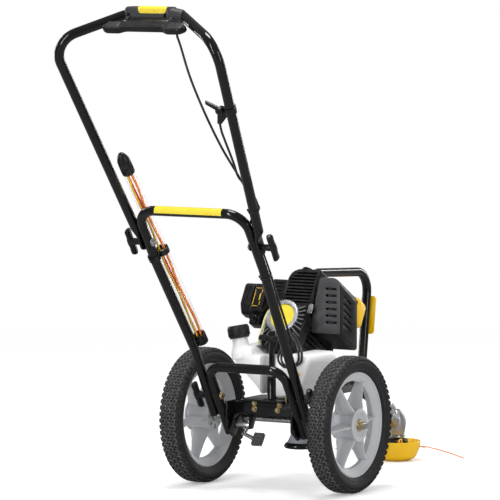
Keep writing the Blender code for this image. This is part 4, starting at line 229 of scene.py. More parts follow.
class EffectBook:
    """Builds each shared node group the first time that a material asks for it."""

    made: dict[Effect, Tree] = {}

    @classmethod
    def get(cls, effect: Effect) -> Tree:
        """The node group of an effect.

        Args:
            effect: which one.

        Returns:
            The node group.
        """
        if effect not in cls.made:
            builder = {Effect.GRAIN: cls.grain, Effect.WEAR: cls.wear, Effect.DUST: cls.dust}[effect]
            cls.made[effect] = builder(effect.value)
        return cls.made[effect]

    @staticmethod
    def group(name: str, inputs: dict[str, float], outputs: Iterable[str]) -> tuple[Tree, Wiring, Node, Node]:
        """An empty group with number sockets.

        Args:
            name: the group's name.
            inputs: each input's name and its value.
            outputs: the outputs' names.

        Returns:
            The tree, its wiring, its input node and its output node.
        """
        tree = bpy.data.node_groups.new(name, "ShaderNodeTree")
        for title, value in inputs.items():
            tree.interface.new_socket(title, in_out="INPUT", socket_type="NodeSocketFloat").default_value = value
        for title in outputs:
            tree.interface.new_socket(title, in_out="OUTPUT", socket_type="NodeSocketFloat")
        wiring = Wiring(tree)
        return tree, wiring, wiring.add("NodeGroupInput"), wiring.add("NodeGroupOutput")

    @classmethod
    def grain(cls, name: str) -> Tree:
        """The fine texture of a moulded or painted surface, and the slow change of its tone.

        Args:
            name: the group's name.

        Returns:
            The group, whose outputs are Height and Tone.
        """
        tree, wiring, given, out = cls.group(name, {"Scale": 1800.0, "Patches": 18.0}, ("Height", "Tone"))
        place = wiring.add("TexCoord").outputs["Object"]
        fine = wiring.add("TexNoise", Vector=place, Scale=given.outputs["Scale"], Detail=2.0, Roughness=0.6)
        slow = wiring.add("TexNoise", Vector=place, Scale=given.outputs["Patches"], Detail=4.0, Roughness=0.55)
        wiring.feed(out, "Height", fine.outputs["Fac"])
        wiring.feed(out, "Tone", wiring.ramp(slow.outputs["Fac"], 0.3, 0.7))
        return tree

    @classmethod
    def wear(cls, name: str) -> Tree:
        """Where edges are marked, as wear on metal, paint and the label and as a painted highlight on plastic and
        rubber: near a corner, and broken up by noise.

        Args:
            name: the group's name.

        Returns:
            The group, whose output is Mask.
        """
        tree, wiring, given, out = cls.group(name, {"Radius": 0.001, "Patches": 60.0}, ("Mask",))
        place = wiring.add("TexCoord").outputs["Object"]
        rounded = wiring.add("Bevel", {"samples": 4}, Radius=given.outputs["Radius"]).outputs[0]
        plain = wiring.add("NewGeometry").outputs["Normal"]
        match = wiring.add("VectorMath", {"operation": "DOT_PRODUCT"}, i0=rounded, i1=plain).outputs["Value"]
        edge = wiring.ramp(match, 0.995, 0.9)
        noise = wiring.add("TexNoise", Vector=place, Scale=given.outputs["Patches"], Detail=5.0, Roughness=0.7)
        wiring.feed(out, "Mask", wiring.math("MULTIPLY", edge, wiring.ramp(noise.outputs["Fac"], 0.45, 0.62)))
        return tree

    @classmethod
    def dust(cls, name: str) -> Tree:
        """Dust that lies thinly on what faces up.

        Args:
            name: the group's name.

        Returns:
            The group, whose output is Mask.
        """
        tree, wiring, given, out = cls.group(name, {"Patches": 40.0, "Amount": 0.2}, ("Mask",))
        place = wiring.add("TexCoord").outputs["Object"]
        facing = wiring.add("SeparateXYZ", Vector=wiring.add("NewGeometry").outputs["Normal"]).outputs["Z"]
        noise = wiring.add("TexNoise", Vector=place, Scale=given.outputs["Patches"], Detail=6.0, Roughness=0.65)
        lying = wiring.math("MULTIPLY", wiring.ramp(facing, 0.1, 1.0), wiring.ramp(noise.outputs["Fac"], 0.35, 0.75))
        wiring.feed(out, "Mask", wiring.math("MULTIPLY", lying, given.outputs["Amount"]))
        return tree


# Finishes


@dataclass(frozen=True)
class Finish:
    """An opaque finish: a colour that drifts slowly, a fine grain, edges marked by wear and by a painted highlight,
    and a little dust.
    """

    name: str
    colour: Colour
    second: Colour
    roughness: float = 0.5
    roughness_drift: float = 0.06
    metallic: float = 0.0
    specular: float = 0.5
    coat: float = 0.0
    coat_roughness: float = 0.08
    grain: float = 1800.0
    grain_depth: float = 0.00004
    patches: float = 18.0
    wear: float = 0.0
    wear_colour: Colour = (0.3, 0.3, 0.3)
    dust: float = 0.0
    rounding: float = 0.0006
    slot: str = ""

    def make(self) -> bpy.types.Material:
        """Builds the material.

        Returns:
            The new material.
        """
        material = bpy.data.materials.new(self.name)
        material.use_nodes = True
        wiring = Wiring(material.node_tree)
        shader = self.shader(wiring)
        colour, roughness = self.surface(wiring)
        wiring.feed(shader, "Base Color", colour)
        wiring.feed(shader, "Roughness", roughness)
        wiring.feed(shader, "Normal", self.relief(wiring))
        wiring.add("OutputMaterial", Surface=shader.outputs[0])
        material.diffuse_color = (*self.colour, 1)
        return material

    def shader(self, wiring: Wiring) -> Node:
        """The Principled BSDF with the values that are the same all over."""
        return wiring.add(
            "BsdfPrincipled", Metallic=self.metallic, Specular_IOR_Level=self.specular, Coat_Weight=self.coat,
            Coat_Roughness=self.coat_roughness,
        )

    def effect(self, wiring: Wiring, effect: Effect, **values: float) -> Node:
        """Places a shared effect with this finish's values."""
        node = wiring.add("Group", {"node_tree": EffectBook.get(effect)})
        for name, value in values.items():
            wiring.feed(node, name, value)
        return node

    def surface(self, wiring: Wiring) -> tuple[Socket, Socket]:
        """The colour and roughness over the surface.

        Args:
            wiring: the material's nodes.

        Returns:
            The sockets of the colour and of the roughness.
        """
        tone = self.effect(wiring, Effect.GRAIN, Scale=self.grain, Patches=self.patches).outputs["Tone"]
        colour = wiring.blend(tone, self.colour, self.second)
        roughness = wiring.ramp(
            tone, 0.0, 1.0, self.roughness - self.roughness_drift, self.roughness + self.roughness_drift,
        )
        # Edge mask: rubbed wear on the metals, the paint and the label; on the plastics and the rubber its lighter
        # colour is a painted highlight.
        if self.wear:
            mask = self.effect(wiring, Effect.WEAR, Radius=0.0012, Patches=70.0).outputs["Mask"]
            colour = wiring.blend(wiring.math("MULTIPLY", mask, self.wear), colour, self.wear_colour)
        if self.dust:
            mask = self.effect(wiring, Effect.DUST, Patches=35.0, Amount=self.dust).outputs["Mask"]
            colour = wiring.blend(mask, colour, DUST_COLOUR)
        return colour, roughness

    def relief(self, wiring: Wiring) -> Socket:
        """The grain as a bump, over edges that are rounded a little."""
        height = self.effect(wiring, Effect.GRAIN, Scale=self.grain, Patches=self.patches).outputs["Height"]
        rounded = wiring.add("Bevel", {"samples": 4}, Radius=self.rounding).outputs[0]
        return wiring.add("Bump", Strength=1.0, Distance=self.grain_depth, Height=height, Normal=rounded).outputs[0]


@dataclass(frozen=True)
class MilkyFinish(Finish):
    """The pale, slightly see-through plastic of a fuel tank."""

    depth: float = 0.012

    def shader(self, wiring: Wiring) -> Node:
        """The shader with light that soaks in."""
        node = super().shader(wiring)
        node.inputs["Subsurface Weight"].default_value = 0.35
        node.inputs["Subsurface Radius"].default_value = (1.0, 0.95, 0.9)
        node.inputs["Subsurface Scale"].default_value = self.depth
        return node


@dataclass(frozen=True)
class ClearFinish(Finish):
    """Clear tube plastic."""

    def shader(self, wiring: Wiring) -> Node:
        """The shader of a clear, thin wall."""
        node = super().shader(wiring)
        node.inputs["Transmission Weight"].default_value = 1.0
        node.inputs["IOR"].default_value = 1.12
        return node


def nylon(shade: str, colour: Colour, second: Colour) -> Finish:
    """The finish of a nylon line in one shade."""
    return Finish(
        f"{shade} nylon line", colour, second, 0.3, 0.05, coat=0.2, grain=600.0, grain_depth=0.00002, rounding=0.0002,
        slot="orange_line",
    )


class Look(Enum):
    """The finishes of the machine's pieces."""

    BLACK_PAINT = Finish(
        "gloss black paint", (0.003, 0.003, 0.004), (0.005, 0.005, 0.006), 0.14, 0.03, specular=0.5, coat=0.15,
        grain=420.0, grain_depth=0.000006, wear=0.5, wear_colour=(0.1, 0.1, 0.1), dust=0.02,
    )
    BLACK_PLASTIC = Finish(
        "black moulded plastic", (0.005, 0.005, 0.006), (0.009, 0.009, 0.011), 0.32, 0.07, specular=0.42,
        grain=1500.0, grain_depth=0.00003, wear=0.45, wear_colour=(0.12, 0.12, 0.13), dust=0.03,
    )
    GREY_PLASTIC = Finish(
        "dark grey plastic", (0.038, 0.038, 0.042), (0.048, 0.049, 0.053), 0.46, 0.06, specular=0.36, grain=1300.0,
        grain_depth=0.00007, wear=0.4, wear_colour=(0.16, 0.16, 0.17), dust=0.05,
    )
    # The guard's rear face in a lighter grey as a painted sheen; its other faces take black plastic as painted shade.
    GUARD_GREY = Finish(
        "guard plastic, rear face painted lit", (0.06, 0.061, 0.065), (0.074, 0.075, 0.079), 0.5, 0.06, specular=0.36, grain=1300.0,
        grain_depth=0.00007, wear=0.4, wear_colour=(0.22, 0.22, 0.23), dust=0.05, slot="grey_plastic",
    )
    TYRE_RUBBER = Finish(
        "tyre rubber", (0.012, 0.012, 0.013), (0.02, 0.02, 0.022), 0.62, 0.08, specular=0.36, grain=900.0,
        grain_depth=0.0001, wear=0.8, wear_colour=(0.16, 0.16, 0.16), dust=0.05,
    )
    # Lighter rubber for the chamfers round the tread blocks' tops: a painted highlight.
    WORN_RUBBER = Finish(
        "tyre rubber with painted edge highlight", (0.085, 0.085, 0.088), (0.125, 0.125, 0.128), 0.55, 0.08, specular=0.4, grain=900.0,
        grain_depth=0.0001, wear=0.6, wear_colour=(0.24, 0.24, 0.24), dust=0.08,
    )
    FUEL_HOSE = Finish(
        "pale fuel hose", (0.78, 0.74, 0.3), (0.84, 0.8, 0.4), 0.25, 0.05, coat=0.3, grain=700.0, grain_depth=0.00002,
        rounding=0.0002, slot="yellow_plastic",
    )
    RIM_PLASTIC = Finish(
        "light grey wheel plastic", (0.44, 0.45, 0.47), (0.5, 0.51, 0.53), 0.48, 0.05, specular=0.4, grain=1100.0,
        grain_depth=0.00006, wear=0.3, wear_colour=(0.62, 0.62, 0.63), dust=0.06,
    )
    ZINC_STEEL = Finish(
        "zinc plated steel", (0.6, 0.62, 0.62), (0.72, 0.73, 0.71), 0.3, 0.08, 1.0, grain=700.0, grain_depth=0.00003,
        patches=90.0, wear=0.3, wear_colour=(0.8, 0.8, 0.8),
    )
    BRASS_STEEL = Finish(
        "yellow passivated steel", (0.62, 0.45, 0.2), (0.78, 0.66, 0.42), 0.28, 0.08, 1.0, grain=700.0,
        grain_depth=0.00003, patches=120.0, wear=0.3, wear_colour=(0.85, 0.8, 0.65),
    )
    ALUMINIUM = Finish(
        "cast aluminium", (0.55, 0.56, 0.57), (0.66, 0.67, 0.68), 0.46, 0.08, 1.0, grain=500.0, grain_depth=0.00012,
        patches=60.0, wear=0.4, wear_colour=(0.85, 0.85, 0.86),
    )
    YELLOW_PLASTIC = Finish(
        "yellow plastic", (0.88, 0.5, 0.004), (0.93, 0.57, 0.008), 0.34, 0.05, specular=0.45, coat=0.2, grain=900.0,
        grain_depth=0.00003, wear=0.25, wear_colour=(0.95, 0.72, 0.25), dust=0.03,
    )
    TANK_PLASTIC = MilkyFinish(
        "milky tank plastic", (0.9, 0.9, 0.9), (0.95, 0.95, 0.95), 0.4, 0.05, grain=800.0, grain_depth=0.00005,
        patches=9.0, rounding=0.0015,
    )
    CLEAR_PLASTIC = ClearFinish(
        "clear tube plastic", (0.96, 0.95, 0.94), (1.0, 1.0, 1.0), 0.06, 0.02, grain=200.0, grain_depth=0.00001,
        rounding=0.0002,
    )
    ORANGE_LINE = nylon("orange", (0.85, 0.2, 0.02), (0.92, 0.28, 0.05))
    RED_LINE = nylon("red", (0.62, 0.03, 0.02), (0.72, 0.05, 0.03))
    YELLOW_LINE = nylon("yellow", (0.85, 0.6, 0.03), (0.9, 0.66, 0.06))
    PALE_LINE = nylon("pale", (0.8, 0.55, 0.48), (0.86, 0.62, 0.54))
    # Also paints the outer faces of the starter housing's ribs grey, as a highlight.
    PAD_GREY = Finish(
        "grey grip rubber and painted rib highlight", (0.115, 0.118, 0.125), (0.145, 0.148, 0.155), 0.6, 0.06, specular=0.36, grain=1300.0,
        grain_depth=0.00006, wear=0.3, wear_colour=(0.25, 0.25, 0.26),
    )
    PALE_PLASTIC = Finish(
        "blue-grey plastic", (0.26, 0.27, 0.31), (0.32, 0.33, 0.37), 0.36, 0.06, grain=1000.0, grain_depth=0.00005,
        wear=0.2, wear_colour=(0.5, 0.5, 0.52),
    )
    LABEL = Finish(
        "plain yellow label", (0.86, 0.66, 0.03), (0.92, 0.74, 0.06), 0.3, 0.05, coat=0.3, grain=1200.0,
        grain_depth=0.00001, patches=40.0, wear=0.3, wear_colour=(0.5, 0.45, 0.35), slot="yellow_plastic",
    )
    CABLE_BLACK = Finish(
        "cable sheath", (0.014, 0.014, 0.015), (0.022, 0.022, 0.024), 0.38, 0.06, grain=900.0, grain_depth=0.00004,
        rounding=0.0002,
    )

    @property
    def slot(self) -> str:
        """The record's material slot that the look belongs to."""
        return self.value.slot or self.name.lower()


class Palette:
    """Keeps one material for each look."""

    made: dict[Look, bpy.types.Material] = {}

    @classmethod
    def get(cls, look: Look) -> bpy.types.Material:
        """The material of a look, built the first time."""
        if look not in cls.made:
            cls.made[look] = look.value.make()
        return cls.made[look]


# Modelling steps


class Bench:
    """The modelling steps that the sub-assemblies share."""

    @staticmethod
    def clear() -> None:
        """Deselects everything."""
        bpy.ops.object.select_all(action="DESELECT")

    @staticmethod
    def only(thing: Thing) -> None:
        """Selects one object and makes it active."""
        Bench.clear()
        thing.select_set(True)
        bpy.context.view_layer.objects.active = thing

    @staticmethod
    def link(name: str, data: bpy.types.ID) -> Thing:
        """A new object in the scene."""
        made = bpy.data.objects.new(name, data)
        bpy.context.scene.collection.objects.link(made)
        return made

    @staticmethod
    def apply(thing: Thing, kind: str, **settings: object) -> None:
        """Adds a modifier and applies it at once.

        Args:
            thing: the object.
            kind: the modifier's type.
            settings: its properties.
        """
        change = thing.modifiers.new(kind.lower(), kind)
        for name, value in settings.items():
            setattr(change, name, value)
        Bench.only(thing)
        bpy.ops.object.modifier_apply(modifier=change.name)

    @staticmethod
    def bevel(thing: Thing, width: float, degrees: float, segments: int = 2) -> None:
        """Rounds the edges that are sharper than an angle."""
        angle = math.radians(degrees)
        Bench.apply(thing, "BEVEL", width=width, segments=segments, limit_method="ANGLE", angle_limit=angle)

    @staticmethod
    def edit(thing: Thing, *steps: Callable[[], object]) -> None:
        """Runs edit-mode steps on everything in an object.

        Args:
            thing: the object.
            steps: the steps, in order.
        """
        Bench.only(thing)
        bpy.ops.object.mode_set(mode="EDIT")
        bpy.ops.mesh.select_all(action="SELECT")
        for step in steps:
            step()
        bpy.ops.object.mode_set(mode="OBJECT")

    @staticmethod
    def outwards(thing: Thing) -> None:
        """Turns every face of a closed shape outwards, after its doubles are merged."""
        Bench.edit(
            thing, lambda: bpy.ops.mesh.remove_doubles(threshold=MERGE),
            lambda: bpy.ops.mesh.normals_make_consistent(inside=False),
        )

    @staticmethod
    def smooth(thing: Thing, angle: float = 35.0) -> None:
        """Shades an object smooth, with sharp edges past an angle in degrees."""
        Bench.only(thing)
        bpy.ops.object.shade_smooth_by_angle(angle=math.radians(angle))

    @staticmethod
    def place(thing: Thing, matrix: Matrix) -> None:
        """Moves the mesh itself, so that the object stays at the origin."""
        thing.data.transform(matrix @ thing.matrix_world)
        thing.matrix_world = Matrix.Identity(4)
        thing.data.update()

    @staticmethod
    def lathe(name: str, profile: Outline, steps: int = 48, closed: bool = False) -> Thing:
        """Grows a turned form ring by ring up the Z axis.

        Args:
            name: the object's name.
            profile: (radius, height) points; a radius of 0 ends in a filled ring.
            steps: points round each ring.
            closed: makes a ring of the profile, with its last point joined to its first.

        Returns:
            The object.
        """
        Bench.clear()
        profile = [*profile, profile[0]] if closed else profile
        radius, height = profile[0]
        bpy.ops.mesh.primitive_circle_add(vertices=steps, radius=radius, fill_type="NOTHING", location=(0, 0, height))
        made = bpy.context.object
        made.name = name
        Bench.place(made, Matrix.Identity(4))
        Bench.only(made)
        bpy.ops.object.mode_set(mode="EDIT")
        bpy.ops.mesh.select_all(action="SELECT")
        if not closed:
            bpy.ops.mesh.edge_face_add()
        for (here, low), (there, high) in zip(profile, profile[1:]):
            bpy.ops.mesh.extrude_edges_move(TRANSFORM_OT_translate={"value": (0, 0, high - low)})
            bpy.ops.transform.resize(value=(there / here, there / here, 1), center_override=(0, 0, high))
        if closed:
            bpy.ops.mesh.select_all(action="SELECT")
            bpy.ops.mesh.remove_doubles(threshold=MERGE)
        else:
            bpy.ops.mesh.edge_face_add()
        bpy.ops.mesh.select_all(action="SELECT")
        bpy.ops.mesh.normals_make_consistent(inside=False)
        bpy.ops.object.mode_set(mode="OBJECT")
        return made

    @staticmethod
    def box(name: str, low: Point, high: Point, rounding: float = 0.0, segments: int = 3) -> Thing:
        """A block from corner to corner with bevelled edges.

        Args:
            name: the object's name.
            low: its lowest corner.
            high: its highest corner.
            rounding: the width of the bevel, or none.
            segments: faces across the bevel.

        Returns:
            The block.
        """
        Bench.clear()
        low, high = Vector(low), Vector(high)
        bpy.ops.mesh.primitive_cube_add(size=1, location=(low + high) / 2)
        made = bpy.context.object
        made.name = name
        made.scale = high - low
        bpy.context.view_layer.update()
        Bench.place(made, Matrix.Identity(4))
        if rounding:
            Bench.edit(made, lambda: bpy.ops.mesh.bevel(offset=rounding, segments=segments, affect="EDGES"))
        return made

    @staticmethod
    def copies(name: str, pattern: Thing, places: Iterable[Matrix]) -> Thing:
        """One object made of copies of a pattern, which is then removed.

        Args:
            name: the new object's name.
            pattern: what is repeated.
            places: a matrix for each copy.

        Returns:
            The joined copies.
        """
        Bench.clear()
        made = []
        for place in places:
            mesh = pattern.data.copy()
            mesh.transform(place)
            copy = Bench.link(name, mesh)
            copy.select_set(True)
            made.append(copy)
        bpy.context.view_layer.objects.active = made[0]
        bpy.ops.object.join()
        bpy.data.objects.remove(pattern)
        made[0].name = name
        return made[0]

    @staticmethod
    def around(name: str, pattern: Thing, count: int) -> Thing:
        """Copies of a pattern spread evenly about the Z axis."""
        return Bench.copies(name, pattern, [Matrix.Rotation(math.tau * k / count, 4, "Z") for k in range(count)])

    @staticmethod
    def join(first: Thing, *others: Thing, name: str = "") -> Thing:
        """Joins objects into the first, and may give it a new name.

        Args:
            first: the object that stays.
            others: the ones that become part of it.
            name: its new name, or the old one where this is empty.

        Returns:
            The first object.
        """
        Bench.only(first)
        for other in others:
            other.select_set(True)
        bpy.ops.object.join()
        first.name = name or first.name
        return first

    @staticmethod
    def tube(name: str, path: Sequence[Vector], radius: float, sides: int = 24) -> Thing:
        """A round tube along a path, closed at both ends.

        Args:
            name: the object's name.
            path: the points of its middle line.
            radius: its radius.
            sides: points round it.

        Returns:
            The mesh object.
        """
        curve = bpy.data.curves.new(name, "CURVE")
        curve.dimensions = "3D"
        curve.bevel_depth = radius
        curve.bevel_resolution = max(1, sides // 4 - 1)
        curve.use_fill_caps = True
        curve.twist_mode = "MINIMUM"
        spline = curve.splines.new("POLY")
        spline.points.add(len(path) - 1)
        for point, at in zip(spline.points, path):
            point.co = (*at, 1)
        Bench.only(Bench.link(name, curve))
        bpy.ops.object.convert(target="MESH")
        made = bpy.context.object
        Bench.outwards(made)
        return made

    @staticmethod
    def loft(name: str, rows: Sequence[Sequence[Vector]]) -> Thing:
        """Extrudes a face from one cross-section to the next.

        Args:
            name: the object's name.
            rows: cross-sections with the same number of points.

        Returns:
            The closed object.
        """
        Bench.clear()
        count = len(rows[0])
        bpy.ops.mesh.primitive_circle_add(vertices=count, radius=1, fill_type="NGON")
        made = bpy.context.object
        made.name = name
        for corner, place in zip(made.data.vertices, rows[0]):
            corner.co = place
        below = list(rows[0])
        for row in rows[1:]:
            bpy.ops.object.mode_set(mode="EDIT")
            bpy.ops.mesh.extrude_region_move()
            bpy.ops.object.mode_set(mode="OBJECT")
            fresh = made.data.vertices[len(made.data.vertices) - count:]
            pairs = [min(range(count), key=lambda k: (below[k] - corner.co).length_squared) for corner in fresh]
            for corner, k in zip(fresh, pairs):
                corner.co = row[k]
            below = list(row)
        Bench.edit(made, lambda: bpy.ops.mesh.normals_make_consistent(inside=False))
        return made

    @staticmethod
    def plate(
        name: str, outline: Outline, axis: str, low: float, high: float, rounding: float = 0.0, segments: int = 2,
    ) -> Thing:
        """An outline extruded along an axis, with its edges rounded.

        Args:
            name: the object's name.
            outline: corners in the plane across the axis.
            axis: X, Y or Z.
            low: where it starts along the axis.
            high: where it ends.
            rounding: the bevel's width.
            segments: the bevel's steps.

        Returns:
            The object.
        """
        def at(a: float, b: float, along: float) -> Vector:
            """A corner in space."""
            return {"X": Vector((along, a, b)), "Y": Vector((a, along, b)), "Z": Vector((a, b, along))}[axis]

        made = Bench.loft(name, [[at(a, b, along) for a, b in outline] for along in (low, high)])
        if rounding:
            Bench.bevel(made, rounding, 25, segments)
        return made

    @staticmethod
    def boolean(target: Thing, *tools: Thing, operation: str = "DIFFERENCE") -> None:
        """Cuts tools out of a target, or joins them to it, and removes them."""
        for tool in tools:
            Bench.apply(target, "BOOLEAN", operation=operation, solver="EXACT", object=tool)
            bpy.data.objects.remove(tool)

    @staticmethod
    def turned(name: str, profile: Outline, centre: Point, axis: Point, steps: int = 32) -> Thing:
        """A turned form about an axis through a centre.

        Args:
            name: the object's name.
            profile: (radius, place along the axis) points.
            centre: a point of the axis.
            axis: the axis's direction.
            steps: points round it.

        Returns:
            The object.
        """
        made = Bench.lathe(name, profile, steps)
        turn = UP.rotation_difference(Vector(axis).normalized()).to_matrix().to_4x4()
        Bench.place(made, Matrix.Translation(Vector(centre)) @ turn)
        return made

    @staticmethod
    def second(thing: Thing, look: Look, where: Callable[[bpy.types.MeshPolygon], bool]) -> None:
        """Gives the faces that a test picks a second look."""
        thing.data.materials.append(Palette.get(look))
        for face in thing.data.polygons:
            if where(face):
                face.material_index = len(thing.data.materials) - 1

    @staticmethod
    def finish(
        thing: Thing, look: Look, body: str, node: str = "", where: Matrix | None = MACHINE, slot: str = "",
        angle: float = 35.0,
    ) -> None:
        """Puts a piece in its place and gives it its look and its body.

        Args:
            thing: the piece.
            look: its finish.
            body: the CAD body that it rides on.
            node: the CAD node that it stands for.
            where: what moves it into the machine; None where it already stands there.
            slot: the record's material slot, if it isn't the look's own; not used.
            angle: edges sharper than this stay sharp.
        """
        if where is not None:
            Bench.place(thing, where)
        Bench.smooth(thing, angle)
        thing.data.materials.clear()
        thing.data.materials.append(Palette.get(look))
        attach(thing, body)
        if node:
            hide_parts(node)
        slot or look.slot
        LOG.info("%s rides on %s", thing.name, body)


def bent(corners: Sequence[Point], radii: Sequence[float], step: float = 4.0) -> list[Vector]:
    """Points along straight runs joined by arcs, as a tube bender makes them.

    Args:
        corners: the corners of the run.
        radii: the bend radius at each corner between the ends.
        step: degrees between the points of an arc.

    Returns:
        The points.
    """
    places = [Vector(corner) for corner in corners]
    path = [places[0]]
    for before, here, after, radius in zip(places, places[1:], places[2:], radii):
        into, out = (here - before).normalized(), (after - here).normalized()
        turn = into.angle(out)
        start = here - into * radius * math.tan(turn / 2)
        normal = into.cross(out).normalized()
        centre = start + normal.cross(into) * radius
        count = max(2, round(math.degrees(turn) / step))
        path += [centre + Matrix.Rotation(turn * k / count, 3, normal) @ (start - centre) for k in range(count + 1)]
    return path + [places[-1]]


def ring(
    point: Vector, side: Vector, up: Vector, wide: float, deep: float, square: float = 1.0, sides: int = 32,
) -> list[Vector]:
    """One cross-section of a rod.

    Args:
        point: its middle.
        side: the direction of its width.
        up: the direction of its depth.
        wide: half its width.
        deep: half its depth.
        square: 1 for an ellipse, less for a boxier form.
        sides: its number of points.

    Returns:
        The points.
    """
    found = []
    for k in range(sides):
        across, rise = math.cos(math.tau * (k + 0.5) / sides), math.sin(math.tau * (k + 0.5) / sides)
        across = math.copysign(abs(across) ** square, across)
        rise = math.copysign(abs(rise) ** square, rise)
        found.append(point + side * wide * across + up * deep * rise)
    return found


def framed(path: Sequence[Vector], side: Vector) -> list[tuple[Vector, Vector, Vector]]:
    """A middle line with the directions across it.

    Args:
        path: the middle line.
        side: the first direction across.

    Returns:
        (point, side, up) for each point.
    """
    found = []
    for k, point in enumerate(path):
        ahead = (path[min(k + 1, len(path) - 1)] - point).normalized()
        behind = (point - path[max(k - 1, 0)]).normalized()
        along = (ahead + behind).normalized()
        side = (side - along * side.dot(along)).normalized()
        found.append((point, side, along.cross(side)))
    return found


def smoothed(route: Sequence[Point], step: float) -> list[Vector]:
    """Points on a smooth curve through a route, its two end legs straight.

    Args:
        route: the places that the curve passes.
        step: the distance between its points.

    Returns:
        The points.
    """
    places = [Vector(point) for point in route]
    found = [places[0]]
    for a, b, c, d in zip(places, places[1:], places[2:], places[3:]):
        count = max(2, round((c - b).length / step))
        for k in range(count):
            t = k / count
            second, third = 2 * a - 5 * b + 4 * c - d, 3 * b - a - 3 * c + d
            found.append(0.5 * (2 * b + (c - a) * t + second * t**2 + third * t**3))
    return found + places[-2:]


def mirrored(half: Sequence[Point], *middle: Point) -> list[Point]:
    """Sections on both sides of a middle.

    Args:
        half: the sections of one side, from the middle out, each with its place first.
        middle: a section in the middle, if there is one.

    Returns:
        The sections from end to end.
    """
    return [(-place, *rest) for place, *rest in reversed(half)] + [*middle, *half]


def on_line(start: Vector, end: Vector, height: float) -> Vector:
    """The point of a line at a height."""
    return start + (end - start) * (height - start.z) / (end.z - start.z)


def crank(along: float, height: float = 0.0, across: float = 0.0) -> Vector:
    """A point of the engine's frame, in the machine's."""
    return FROM_ENGINE @ Vector((across, along, height))


def oblong(left: float, low: float, right: float, high: float) -> list[tuple[float, float]]:
    """The four corners of an upright rectangle."""
    return [(left, low), (right, low), (right, high), (left, high)]


def rounded(corners: Outline, radius: float, steps: int = 5) -> list[tuple[float, float]]:
    """An outline with its corners turned into arcs.

    Args:
        corners: the outline's corners.
        radius: the arcs' radius.
        steps: points on each arc after its first.

    Returns:
        The outline.
    """
    found = []
    for k, here in enumerate(corners):
        a, b, c = (Vector((*place, 0)) for place in (corners[k - 1], here, corners[(k + 1) % len(corners)]))
        reach = min(radius, (a - b).length * 0.45, (c - b).length * 0.45)
        start, end = b + (a - b).normalized() * reach, b + (c - b).normalized() * reach
        for step in range(steps + 1):
            t = step / steps
            point = start * (1 - t) ** 2 + b * 2 * t * (1 - t) + end * t**2
            found.append((point.x, point.y))
    return found


# Stage


